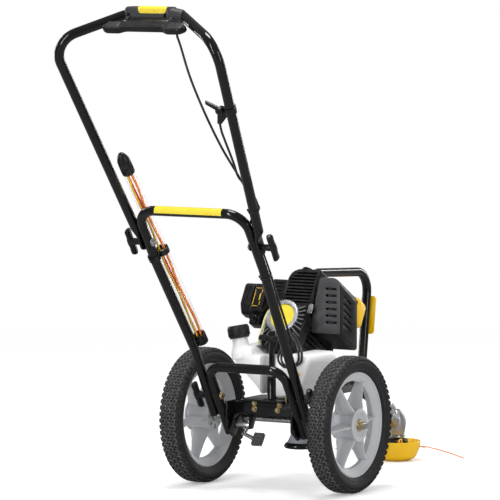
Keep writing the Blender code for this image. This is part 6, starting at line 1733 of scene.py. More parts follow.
@dataclass
class MufflerGuard:
    """The slotted guard over the muffler, upright at its rear, its side and floor falling forwards."""

    rear: float = 0.106
    front: float = 0.199
    right: float = 0.132
    left_low: float = 0.0388
    left_high: float = 0.071
    bottom: float = 0.399
    top: float = 0.546
    slots: int = 6
    slot_left: float = 0.089
    slot_length: float = 0.033
    slot_top: float = 0.515
    slot_pitch: float = 0.0176
    slot_half: float = 0.0032

    def build(self) -> None:
        """Builds the shell with rounded edges, cuts its slots, and paints its rear face a lighter grey as a painted
        sheen and its other faces black as painted shade.
        """
        fall = math.tan(CRANK_SLOPE)
        depth_all = self.front - self.rear
        middle = Vector((0.094, 0, 0.47))
        corners = [
            (self.left_low, self.bottom), (self.right, self.bottom), (self.right, self.top - 0.012),
            (self.right - 0.014, self.top), (self.left_high, self.top),
        ]
        outline = rounded(corners, 0.01, 5)
        rows = []
        for depth, shrink in (
            (0.0, 0.966), (0.0012, 0.984), (0.004, 0.996), (0.008, 1.0), (depth_all - 0.004, 1.0), (depth_all, 0.97),
        ):
            lower = depth * fall
            rows.append([
                Vector((
                    middle.x + (x - middle.x) * shrink, self.rear + depth, middle.z + (z - middle.z) * shrink - lower,
                )) for x, z in outline
            ])
        shell = Bench.loft("muffler_guard_shell", rows)
        rooms = [
            Bench.box("room", (-0.01, -0.002, -0.096), (0.0583, 0.045, 0.039)),
            Bench.box("room", (-0.01, 0.043, -0.053), (0.0463, 0.1403, 0.0412)),
            Bench.box("room", (-0.01, 0.022, 0.04), (0.0533, 0.136, 0.1485)),
        ]
        for room in rooms:
            Bench.place(room, FROM_ENGINE)
        Bench.boolean(shell, *rooms)
        cutters = []
        for k in range(self.slots):
            middle = self.slot_top - self.slot_pitch * k
            slot = oblong(
                self.slot_left, middle - self.slot_half, self.slot_left + self.slot_length, middle + self.slot_half,
            )
            cutters.append(Bench.plate("slot", rounded(slot, 0.0028, 3), "Y", self.rear - 0.002, self.rear + 0.012))
            if k:
                near, far, lower = self.rear + 0.02, self.rear + 0.06, 0.04 * fall
                run = [
                    (near, middle - 0.006), (far, middle - 0.006 - lower), (far, middle - 0.0005 - lower),
                    (near, middle - 0.0005),
                ]
                cutters.append(Bench.plate("slot", run, "X", self.right - 0.01, self.right + 0.002))
        Bench.boolean(shell, *cutters)
        Bench.bevel(shell, 0.0006, 50)
        Bench.finish(shell, Look.GUARD_GREY, "power", "muffler_guard", angle=32)
        # The rear face keeps the lighter grey as a painted sheen, and every other face is black plastic as painted
        # shade.
        Bench.second(
            shell, Look.BLACK_PLASTIC,
            lambda face: face.normal.y > -0.35 or (MACHINE.inverted() @ face.center).y > self.rear + 0.006,
        )


@dataclass
class FuelTank:
    """The milky tank with its leaning neck and ribbed cap."""

    neck: Sizes = (-0.095, -0.016)
    lean: float = 11.0
    cap_radius: float = 0.0285
    cap_height: float = 0.034
    ribs: int = 28

    def build(self) -> None:
        """Builds the tank, its cap and its hose."""
        self.top = 0.368
        self.neck_place = Matrix.Translation((*self.neck, self.top)) @ Matrix.Rotation(
            math.radians(-self.lean), 4, "Y",
        )
        self.shell()
        self.cap()
        self.hose()

    def shell(self) -> None:
        """The blown shell: soft edges, the saddle behind the post, and the neck with its collar."""
        corners = [
            (-0.104, 0.328), (-0.113, 0.368), (-0.054, 0.368), (-0.049, 0.346), (0.054, 0.346), (0.064, 0.356),
            (0.12, 0.356), (0.126, 0.338), (0.104, 0.275), (0.052, 0.2383), (-0.02, 0.2383), (-0.034, 0.262),
        ]
        outline = rounded(corners, 0.016, 4)
        middle = Vector((0.008, 0.305))
        rows = []
        for y, share in (
            (-0.04, 0.86), (-0.0385, 0.91), (-0.035, 0.955), (-0.029, 0.985), (-0.02, 1.0), (0.084, 1.0),
            (0.093, 0.985), (0.099, 0.955), (0.1025, 0.91), (0.104, 0.86),
        ):
            rows.append([
                Vector((middle.x + (x - middle.x) * (0.5 + 0.5 * share), y, middle.y + (z - middle.y) * share))
                for x, z in outline
            ])
        tank = Bench.loft("fuel_tank_blown", rows)
        neck = Bench.turned(
            "neck", [
                (0.03, -0.034), (0.0282, -0.018), (0.0248, -0.008), (0.0225, -0.002), (0.021, 0.004), (0.0204, 0.01),
                (0.0202, 0.0188),
            ], (0, 0, 0), UP, 64,
        )
        Bench.place(neck, self.neck_place)
        Bench.boolean(tank, neck, operation="UNION")
        fan = Bench.box("room", (-0.064, -0.01, -0.097), (0.06, 0.25, 0.1), 0.003, 2)
        Bench.place(fan, FROM_ENGINE)
        rooms = [
            Bench.box("room", (-0.024, -0.045, 0.23), (0.024, 0.005, 0.38), 0.004, 3), fan,
            Bench.box("room", (-0.067, -0.075, 0.2), (0.067, 0.051, 0.2383)),
        ]
        Bench.boolean(tank, *rooms)
        Bench.bevel(tank, 0.0022, 40, 3)
        Bench.finish(tank, Look.TANK_PLASTIC, "power", "fuel_tank", angle=50)

    def cap(self) -> None:
        """The ribbed screw cap."""
        r, low, high = self.cap_radius, 0.0193, 0.0193 + self.cap_height
        profile = [
            (r - 0.003, low), (r - 0.003, low + 0.0035), (r - 0.0012, low + 0.005), (r - 0.001, high - 0.005),
            (r - 0.0026, high - 0.0012), (r - 0.0055, high), (r - 0.009, high), (r - 0.01, high - 0.0012),
            (0.006, high - 0.0012), (0.004, high - 0.0012),
        ]
        cap = Bench.lathe("fuel_cap_moulding", profile, 96)
        rib = Bench.box("rib", (r - 0.003, -0.0016, low + 0.006), (r + 0.0002, 0.0016, high - 0.006), 0.0007, 2)
        ribs = Bench.around("cap_ribs", rib, self.ribs)
        Bench.finish(
            Bench.join(cap, ribs), Look.BLACK_PLASTIC, "fuel_cap", "fuel_cap", where=MACHINE @ self.neck_place,
        )

    def hose(self) -> None:
        """The pale hose from the tank up to the carburettor."""
        start = Vector((-0.07, 0.036, self.top + FIT))
        end = crank(0.042, 0.0557, -0.077)
        drop = crank(0.0, 0.016) - crank(0.0)
        route = [
            start, start + Vector((0, 0, 0.014)), start + Vector((-0.001, 0.018, 0.042)),
            start + Vector((-0.003, 0.042, 0.072)), end - drop, end,
        ]
        hose = Bench.tube("fuel_hose", smoothed(route, 0.005), 0.0035, 20)
        Bench.finish(hose, Look.FUEL_HOSE, "power", "fuel_line")


@dataclass
class PowerFrame:
    """The hoop with its clamp, the post, the drive tube and the gear case."""

    hoop_radius: float = 0.012
    hoop_corner: Sizes = (0.495, 0.527)
    hoop_foot: float = 0.457
    hoop_bend: float = 0.055
    cover_top: float = 0.148
    tab: float = 0.008
    tab_half: float = 0.015

    def build(self) -> None:
        """Builds each piece."""
        self.hoop()
        self.post()
        self.drive()

    def hoop(self) -> None:
        """The hoop, flattened where it is screwed to the cover."""
        seat = self.cover_top + FIT + self.tab / 2
        start, end = crank(0.03, seat), crank(0.066, seat)
        along = (end - start).normalized()
        square = along.cross(RIGHT)
        rows = []
        for place, width in ((0.0, 0.45), (0.0015, 0.62), (0.004, 0.8), (0.007, 0.93), (0.01, 1.0)):
            rows.append(ring(start + along * place, RIGHT, square, width * self.tab_half, self.tab / 2, 0.5))
        rows.append(ring(end, RIGHT, square, self.tab_half, self.tab / 2, 0.5))
        height = CRANK_Z - (self.hoop_foot - CRANK_Y) * math.tan(CRANK_SLOPE)
        corner, foot = Vector((0, *self.hoop_corner)), Vector((0, self.hoop_foot, height + 0.03))
        path = bent([end + Vector((0, 0.034, 0.001)), corner, foot], [self.hoop_bend])
        rows += [ring(*place, self.hoop_radius, self.hoop_radius) for place in framed(path, RIGHT)]
        hoop = Bench.loft("bumper_hoop_tube", rows)
        clamp = Bench.box(
            "clamp", (-0.018, self.hoop_foot - 0.018, height - 0.022),
            (0.018, self.hoop_foot + 0.018, height + 0.036), 0.003, 3,
        )
        bolts = [
            Bench.turned(
                "bolt", [(0.0052, 0.0), (0.0052, 0.0038), (0.0045, 0.0045)],
                (0.018, self.hoop_foot + dy, height + 0.004), RIGHT, 6,
            ) for dy in (-0.011, 0.011)
        ]
        screw = Bench.turned(
            "screw", [(0.0058, 0.0), (0.0058, 0.002), (0.004, 0.0032)], crank(0.044, self.cover_top + self.tab),
            crank(0, 1) - crank(0), 24,
        )
        Bench.finish(Bench.join(hoop, clamp, screw, *bolts), Look.BLACK_PAINT, "power", "bumper_hoop")

    def post(self) -> None:
        """The post in the beam, with its stop collar."""
        collar = 0.2854
        profile = [
            (0.0072, 0.2003), (0.008, 0.2011), (0.008, collar), (0.0118, collar), (0.0125, collar + 0.0008),
            (0.0125, collar + 0.0062), (0.0118, collar + 0.007), (0.008, collar + 0.007), (0.008, 0.4108),
            (0.007, 0.412),
        ]
        post = Bench.turned("swivel_post_turned", profile, (0, POST_Y, 0), UP, 48)
        Bench.finish(post, Look.BLACK_PAINT, "frame", "swivel_post")

    def drive(self) -> None:
        """The drive tube, and the cast gear case with its sloping socket."""
        end = (HEAD_Y - CRANK_Y) / math.cos(CRANK_SLOPE)
        tube = Bench.turned("drive_tube_round", [(0.013, 0.2283), (0.013, end - 0.0143)], (0, 0, 0), FRONT, 48)
        Bench.finish(tube, Look.BLACK_PAINT, "power", "drive_tube", where=ENGINE)
        profile = [
            (0.012, 0.068), (0.018, 0.068), (0.02, 0.07), (0.0228, 0.077), (0.024, 0.084), (0.0256, 0.096),
            (0.026, 0.104), (0.025, 0.114), (0.0222, 0.124), (0.018, 0.131), (0.014, 0.136), (0.01, 0.139),
            (0.006, 0.14),
        ]
        case = Bench.turned("gear_case_casting", profile, (0, HEAD_Y, 0), UP, 64)
        socket = Bench.turned(
            "socket", [
                (0.014, end - 0.058), (0.0182, end - 0.058), (0.019, end - 0.0572), (0.019, end - 0.05),
                (0.018, end - 0.048), (0.018, end - 0.01), (0.019, end),
            ], (0, 0, 0), FRONT, 48,
        )
        Bench.place(socket, FROM_ENGINE)
        web = Bench.plate(
            "web", [(HEAD_Y - 0.04, 0.128), (HEAD_Y - 0.012, 0.098), (HEAD_Y + 0.012, 0.12), (HEAD_Y - 0.02, 0.158)],
            "X", -0.003, 0.003, 0.0008,
        )
        Bench.finish(Bench.join(case, socket, web), Look.ALUMINIUM, "power", "gear_case")


# Controls


@dataclass
class Controls:
    """The control housing on the top bar and its paddle."""

    handles: Handles
    left: float = -0.077
    right: float = 0.052
    sleeve_end: float = 0.088
    half_depth: float = 0.021
    half_height: float = 0.018
    well_x: Sizes = (-0.062, 0.044)
    well_drop: float = 0.0045
    paddle_middle: float = 0.004
    paddle_half: float = 0.12
    paddle_wing: float = 0.05
    paddle_reach: float = 0.052
    paddle_tilt: float = 32.0

    def build(self) -> None:
        """Builds the housing and the paddle."""
        self.y, self.z = self.handles.brow.y, self.handles.brow.z + 0.002
        self.hinge = Vector((0, self.handles.brow.y - 0.024, self.handles.brow.z - 0.013))
        self.housing()
        self.paddle()

    def housing(self) -> None:
        """The moulded body with its screw wells, ribbed sleeve, hinge ears and cable gland."""
        y, z, d, h, brow = self.y, self.z, self.half_depth, self.half_height, self.handles.brow
        outline = rounded(oblong(y - d, z - h, y + d, z + h), 0.0095, 5)
        rows = []
        for x, share in (
            (self.left, 0.7), (self.left + 0.002, 0.86), (self.left + 0.006, 0.96), (self.left + 0.012, 1.0),
            (self.right - 0.006, 1.0), (self.right, 0.97),
        ):
            rows.append([Vector((x, y + (a - y) * share, z + (b - z) * share)) for a, b in outline])
        body = Bench.loft("control_housing_moulding", rows)
        wells = [
            Bench.turned("well", [(0.0055, 0.0), (0.0055, 0.014)], (x, y - d - 0.004, z - self.well_drop), FRONT, 28)
            for x in self.well_x
        ]
        Bench.boolean(body, *wells)
        screws = [
            Bench.turned(
                "screw", [(0.0042, 0.0), (0.0042, 0.0015), (0.003, 0.002)], (x, y - d + 0.008, z - self.well_drop),
                REAR, 16,
            ) for x in self.well_x
        ]
        back, up = FRONT, UP
        slope = (brow - self.handles.corner).normalized()
        drop = slope * ((brow.x - self.sleeve_end) / slope.x)
        start = Vector((self.right - 0.004, y, z))
        end = Vector((self.sleeve_end, y, brow.z)) + Vector((0, -drop.y, -drop.z))
        rows = []
        for k in range(25):
            t = k / 24
            rib = 0.0009 if 3 < k < 22 and k % 3 == 0 else 0.0
            wide, tall = 0.02 + (0.0158 - 0.02) * t + rib, 0.0168 + (0.0158 - 0.0168) * t + rib
            if k == 24:
                wide, tall = wide - 0.0012, tall - 0.0012
            rows.append(ring(start.lerp(end, t), back, up, wide, tall, 0.8 + 0.2 * t, 36))
        sleeve = Bench.loft("sleeve", rows)
        ears = []
        for x in (self.left + 0.012, self.right + 0.008):
            ear = [
                (self.hinge.y - 0.008, self.hinge.z - 0.006), (self.hinge.y, self.hinge.z - 0.009),
                (self.hinge.y + 0.01, self.hinge.z - 0.004), (y, z - h + 0.006), (y - d + 0.004, z - 0.004),
                (self.hinge.y - 0.008, self.hinge.z + 0.006),
            ]
            ears.append(Bench.plate("ear", rounded(ear, 0.003, 3), "X", x, x + 0.006, 0.0008))
        axle = Bench.turned(
            "hinge_pin", [
                (0.0026, self.left + 0.01), (0.0032, self.left + 0.011), (0.0032, self.right + 0.0155),
                (0.0026, self.right + 0.0165),
            ], (0, self.hinge.y, self.hinge.z), RIGHT, 20,
        )
        gland = Bench.turned(
            "gland",
            [(0.0062, 0.0), (0.0062, 0.02), (0.0055, 0.0215), (0.0055, 0.0225), (0.0048, 0.0235), (0.0048, 0.0272)],
            (0.066, brow.y - 0.002, brow.z), (0, 0, -1), 24,
        )
        Bench.finish(
            Bench.join(body, sleeve, *screws, *ears, axle, gland), Look.GREY_PLASTIC, "upper", "control_housing",
            angle=32,
        )
        self.label()

    def label(self) -> None:
        """The plain label, which follows the housing's rounded upper edge."""
        y, z, d, h, r = self.y, self.z, self.half_depth, self.half_height, 0.0075
        edge = [(y - d, z + 0.0015), (y - d, z + 0.0055)]
        edge += [
            (y - d + r * (1 - math.cos(math.radians(a))), z + h - r + r * math.sin(math.radians(a)))
            for a in range(0, 91, 15)
        ]
        edge.append((y - d + r + 0.006, z + h))
        rows = []
        for x, share in mirrored(((0.033, 1.0), (0.037, 0.9), (0.0395, 0.72), (0.041, 0.45))):
            middle = (len(edge) - 1) / 2
            places = []
            for k in range(len(edge)):
                at = middle + (k - middle) * share
                low = min(int(at), len(edge) - 2)
                a, b = Vector(edge[low]), Vector(edge[low + 1])
                places.append(a.lerp(b, at - low))
            centre = Vector((y, z))
            outer = [Vector((x + 0.006, *(q + (q - centre).normalized() * 0.0012))) for q in places]
            inner = [Vector((x + 0.006, *(q - (q - centre).normalized() * 0.0006))) for q in reversed(places)]
            rows.append(outer + inner)
        strip = Bench.loft("housing_label", rows)
        Bench.finish(strip, Look.LABEL, "upper")

    def paddle(self) -> None:
        """The dog-bone paddle, with two ribbed pads and a raised line along its middle."""
        m, half, wing = self.paddle_middle, self.paddle_half, self.paddle_half - self.paddle_wing
        root, edge = -0.014, -self.paddle_reach
        right = [
            (wing - 0.012, root), (wing, root - 0.002), (half - 0.014, root - 0.007), (half, root - 0.018),
            (half, edge + 0.012), (half - 0.012, edge), (wing, edge), (wing - 0.014, edge + 0.01),
        ]
        corners = [(m + x, y) for x, y in right] + [(m - x, y) for x, y in reversed(right)]
        outline = rounded(corners, 0.009, 4)
        middle = Vector((m, (root + edge) / 2))
        rows = []
        for z, share in ((-0.008, 0.9), (-0.0072, 0.95), (-0.0045, 1.0), (0.004, 1.0), (0.007, 0.965), (0.008, 0.93)):
            rows.append([
                Vector((middle.x + (x - middle.x) * (1 - (1 - share) * 0.35), middle.y + (y - middle.y) * share, z))
                for x, y in outline
            ])
        plate = Bench.loft("paddle_moulding", rows)
        line = Bench.box(
            "line", (m - wing + 0.012, edge + 0.016, 0.0075), (m + wing - 0.012, edge + 0.0185, 0.009), 0.0006, 2,
        )
        web = Bench.box("web", (-0.0585, root - 0.004, -0.005), (0.0595, 0.0, 0.005), 0.002, 2)
        barrel = Bench.turned(
            "barrel", [(0.006, -0.0585), (0.0068, -0.0575), (0.0068, 0.0585), (0.006, 0.0595)], (0, 0, 0), RIGHT, 24,
        )
        whole = Bench.join(plate, line, web, barrel)
        tilt = MACHINE @ Matrix.Translation(self.hinge) @ Matrix.Rotation(math.radians(self.paddle_tilt), 4, "X")
        Bench.finish(whole, Look.BLACK_PLASTIC, "paddle", "paddle_lever", where=tilt, slot="grey_plastic", angle=32)
        pads = []
        for sign in (-1, 1):
            x0, x1 = sorted((m + sign * (wing + 0.001), m + sign * (half - 0.01)))
            pads.append(Bench.box("pad", (x0, edge + 0.008, 0.006), (x1, root - 0.009, 0.0088), 0.0012, 2))
            for k in range(5):
                y = edge + 0.0115 + k * 0.0042
                pads.append(Bench.box("pad_rib", (x0 + 0.003, y, 0.008), (x1 - 0.003, y + 0.0018, 0.0098), 0.0005, 1))
        Bench.finish(Bench.join(*pads, name="paddle_pads"), Look.GREY_PLASTIC, "paddle", where=tilt)


@dataclass
class LineStore:
    """The clear tube with spare line on the left leg, and its caps."""

    handles: Handles
    low: float = 0.378
    high: float = 0.841
    low_x: float = -0.131
    high_x: float = -0.163
    radius: float = 0.0142
    wall: float = 0.0016
    cap: float = 0.0168
    cap_ribs: int = 24

    def point(self, height: float) -> Vector:
        """A point of the tube's axis at a height."""
        leg = on_line(self.handles.knee_at, self.handles.middle_top, height)
        lean = self.handles.forward * (self.handles.radius + self.cap + 0.0004)
        across = self.low_x + (self.high_x - self.low_x) * (height - self.low) / (self.high - self.low)
        return Vector((across, leg.y + lean.y, leg.z + lean.z))

    def build(self) -> None:
        """Builds the tube, the caps and three lines."""
        low, high = self.point(self.low), self.point(self.high)
        along, length = (high - low).normalized(), (high - low).length
        r, wall = self.radius, self.wall
        tube = Bench.lathe(
            "storage_tube_clear", [(r, 0.0), (r, length), (r - wall, length), (r - wall, 0.0)], 64, closed=True,
        )
        turn = UP.rotation_difference(along).to_matrix().to_4x4()
        Bench.finish(
            tube, Look.CLEAR_PLASTIC, "middle", "storage_tube", where=MACHINE @ Matrix.Translation(low) @ turn,
        )
        for node, start, way, size, body in (
            ("storage_foot", low, -along, 0.034, "middle"), ("storage_cap", high, along, 0.062, "store_cap"),
        ):
            self.end_cap(node, start, way, size, body)
        side = along.orthogonal().normalized()
        other = along.cross(side)
        for k, (name, look, node) in enumerate((
            ("spare_line_orange", Look.ORANGE_LINE, "spare_line"), ("spare_line_red", Look.RED_LINE, ""),
            ("spare_line_yellow", Look.YELLOW_LINE, ""), ("spare_line_orange_second", Look.ORANGE_LINE, ""),
        )):
            angle = math.tau * k / 4 + 0.4
            seat = side * math.cos(angle) * 0.0068 + other * math.sin(angle) * 0.0068
            route = [low + seat + along * 0.003]
            for step in range(1, 9):
                swing = 0.0022 * math.sin(step * 1.7 + k * 2.1)
                route.append(low + seat + side * swing + along * (length * step / 9))
            route.append(high + seat - along * 0.012)
            strand = Bench.tube(name, smoothed(route, 0.012), 0.0027, 16)
            Bench.finish(strand, look, "middle", node)

    def end_cap(self, node: str, start: Vector, way: Vector, size: float, body: str) -> None:
        """A soft cap with a rolled mouth and ribs, closed by a rounded end.

        Args:
            node: the node it stands for.
            start: the tube's end.
            way: out of the tube.
            size: the cap's length.
            body: the body it moves with.
        """
        r, wall = self.cap, self.radius + 0.0004
        inner, end = -0.02, size - 0.02
        profile = [
            (wall, inner), (r - 0.0006, inner), (r, inner + 0.001), (r, inner + 0.0032), (r - 0.001, inner + 0.0042),
            (r - 0.0008, 0.0), (r, size * 0.2),
        ]
        for share, place in (
            (0.97, 0.28), (0.9, 0.42), (0.78, 0.58), (0.64, 0.74), (0.5, 0.88), (0.38, 0.96), (0.18, 1.0),
        ):
            profile.append((r * share, size * 0.2 + (end - size * 0.2) * place))
        profile += [(0.003, end), (0.003, 0.001), (wall, 0.0004)]
        made = Bench.lathe(f"{node}_moulding", profile, 48, closed=True)
        rib = Bench.box("rib", (r - 0.0014, -0.0008, inner + 0.006), (r + 0.0002, 0.0008, size * 0.2), 0.0003, 1)
        ribs = Bench.around("cap_ribs", rib, self.cap_ribs)
        whole = Bench.join(made, ribs)
        turn = UP.rotation_difference(way).to_matrix().to_4x4()
        Bench.finish(whole, Look.BLACK_PLASTIC, body, node, where=MACHINE @ Matrix.Translation(start) @ turn)


@dataclass
class ControlCables:
    """The two Bowden cables from the handle to the engine, with their ties and sleeve."""

    handles: Handles
    radius: float = 0.003
    twin: float = 0.0048
    tie_upper: float = 0.757
    tie_middle: float = 0.581
    split: float = 0.684
    joint: Vector = Vector((0.072, -0.064, 0.324)).freeze()

    def __post_init__(self) -> None:
        """Works out how far the cables lie from a leg's middle."""
        self.offset = self.handles.radius + 0.0006 + self.radius

    def on_leg(self, height: float, across: float = 0.0) -> Vector:
        """A point against the front of the right middle leg."""
        leg = on_line(self.handles.knee_at, self.handles.middle_top, height)
        return Vector((self.handles.middle_top.x + across, *leg.yz)) + self.handles.forward * self.offset

    def on_upper(self, height: float, across: float = 0.0) -> Vector:
        """A point against the front of the right upper leg."""
        leg = on_line(self.handles.leg_foot, self.handles.corner, height)
        return leg + Vector((across, 0, 0)) + self.handles.forward * self.offset

    def strand(
        self, name: str, node: str, route: Sequence[Point], bodies: tuple[str, str] | None = None,
        span: tuple[Vector, Vector] | None = None,
    ) -> None:
        """One cable along a route.

        Args:
            name: the piece's name.
            node: the CAD node that it stands for.
            route: the places that it passes.
            bodies: the two bodies that it bends between.
            span: where it leaves the first body and where it reaches the second.
        """
        path = [MACHINE @ point for point in smoothed(route, 0.006)]
        cable = Bench.tube(name, path, self.radius, 16)
        Bench.smooth(cable)
        cable.data.materials.append(Palette.get(Look.CABLE_BLACK))
        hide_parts(node)
        if bodies:
            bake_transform(cable, *bodies, start=MACHINE @ span[0], end=MACHINE @ span[1])
        else:
            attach(cable, body_of(frame["nodes"][node])[0])

    def tie(self, name: str, leg: Vector, along: Vector, body: str) -> None:
        """A tie strap round a leg and over both cables.

        Args:
            name: the strap's name.
            leg: its place on the leg's middle line.
            along: the leg's direction.
            body: the body it moves with.
        """
        side, forward, outer = RIGHT, self.handles.forward, self.handles.radius + FIT
        reach = outer + 0.0018
        loop = []
        for k in range(28):
            angle = math.tau * (k + 0.5) / 28
            across, rise = math.cos(angle), math.sin(angle)
            bulge = (2 * self.radius + 0.001) * max(0.0, rise) ** 0.6
            loop.append((across * reach, rise * reach + bulge))
        rows = []
        for place, grow in mirrored(((0.0024, 1.0), (0.003, 0.96))):
            rows.append([leg + along * place + side * a * grow + forward * b * grow for a, b in loop])
        band = Bench.loft(name, rows)
        head = Bench.box("tie_head", (-0.003, -0.0022, -0.0032), (0.003, 0.0022, 0.0032), 0.0006, 2)
        Bench.place(head, Matrix.Translation(leg - side * (outer + 0.003)))
        Bench.finish(Bench.join(band, head), Look.BLACK_PLASTIC, body, slot="cable_black")

    def build(self) -> None:
        """Builds the runs from the top to the engine."""
        h, twin = self.handles, Vector((self.twin, 0, 0))
        start = Vector((0.066, h.brow.y - 0.002, h.brow.z - 0.0276))
        meet = on_line(h.leg_foot, h.corner, 0.805) + h.forward * self.offset - Vector((h.radius + 0.002, 0, 0))
        bend = h.upper_pivot.z + 0.048
        over = [self.on_leg(bend) + h.forward * 0.003, self.on_leg(self.split)]
        route = [
            start, start - Vector((0, 0, 0.022)), (0.078, -0.602, 1.17), (0.102, -0.594, 1.09),
            (0.132, -0.572, 1.000), (0.154, -0.53, 0.916), (0.166, -0.474, 0.848), meet - twin,
            self.on_upper(self.tie_upper, -self.twin), *(point - twin for point in over),
        ]
        span = (self.on_upper(self.tie_upper), self.on_leg(self.split + 0.004))
        self.strand("drive_cable_run", "drive_cable", route, ("upper", "middle"), span)
        along = h.along
        inward = (Vector((-1, 0, 0)) + along * along.x).normalized()
        leg = on_line(h.leg_foot, h.corner, 1.016)
        ferrule = leg + inward * 0.037 - along * 0.044 - along * 0.0015 - h.forward * 0.004
        route = [
            ferrule, ferrule - along * 0.024, (0.182, -0.524, 0.884), (0.1765, -0.487, 0.842), meet + twin,
            self.on_upper(self.tie_upper, self.twin), *(point + twin for point in over),
        ]
        self.strand("throttle_cable_run", "throttle_cable", route, ("upper", "middle"), span)
        route = [
            self.on_leg(self.split) - h.rise * 0.0006, self.on_leg(h.upper_pivot.z), self.on_leg(self.tie_middle),
            self.on_leg(0.53, -0.004), self.on_leg(0.405, -0.009),
        ]
        self.strand("leg_cable_inner", "cable_pair", [point - twin for point in route])
        self.strand("leg_cable_outer", "cable_pair", [point + twin for point in route])
        self.tie("upper_cable_tie", on_line(h.leg_foot, h.corner, self.tie_upper), along, "upper")
        way = (h.shoulder_at - h.knee_at).normalized()
        self.tie("middle_cable_tie", on_line(h.knee_at, h.shoulder_at, self.tie_middle), way, "middle")
        leaving = (route[-1] - route[-2]).normalized()
        top = route[-1] + leaving * 0.0006
        way = Vector((0, 0.97, -0.26)).normalized()
        lead = [
            top, top + leaving * 0.014, Vector((0.104, -0.15, 0.372)), Vector((0.078, -0.112, 0.346)),
            self.joint - way * 0.016, self.joint,
        ]
        begin, loop = self.joint + way * 0.0006, [
            Vector((0.097, -0.047, 0.336)), Vector((0.1, -0.047, 0.362)), Vector((0.074, -0.018, 0.388)),
        ]
        back = crank(0.014) - crank(0.0)
        for name, shift, across in (("inner", -twin, 0.0), ("outer", twin, 0.01)):
            self.strand(
                f"lead_cable_{name}", "base_cable", [point + shift for point in lead], ("middle", "frame"),
                (top, self.joint),
            )
            end = crank(0.0057, -0.051, 0.03 + across)
            run = [begin + shift, begin + shift + way * 0.01, *(point + shift for point in loop), end - back, end]
            self.strand(f"engine_cable_{name}", "engine_cable", run, ("frame", "power"), (begin, end))
        rows = [
            ring(self.joint + way * place, RIGHT, way.cross(RIGHT), (self.twin + 0.004) * grow, 0.004 * grow, 0.7, 24)
            for place, grow in ((-0.013, 0.9), (-0.0122, 1.0), (-0.0014, 1.0), (-0.0006, 0.9))
        ]
        sleeve = Bench.loft("lead_sleeve", rows)
        Bench.finish(sleeve, Look.BLACK_PLASTIC, "frame", slot="cable_black")


# Lower pieces


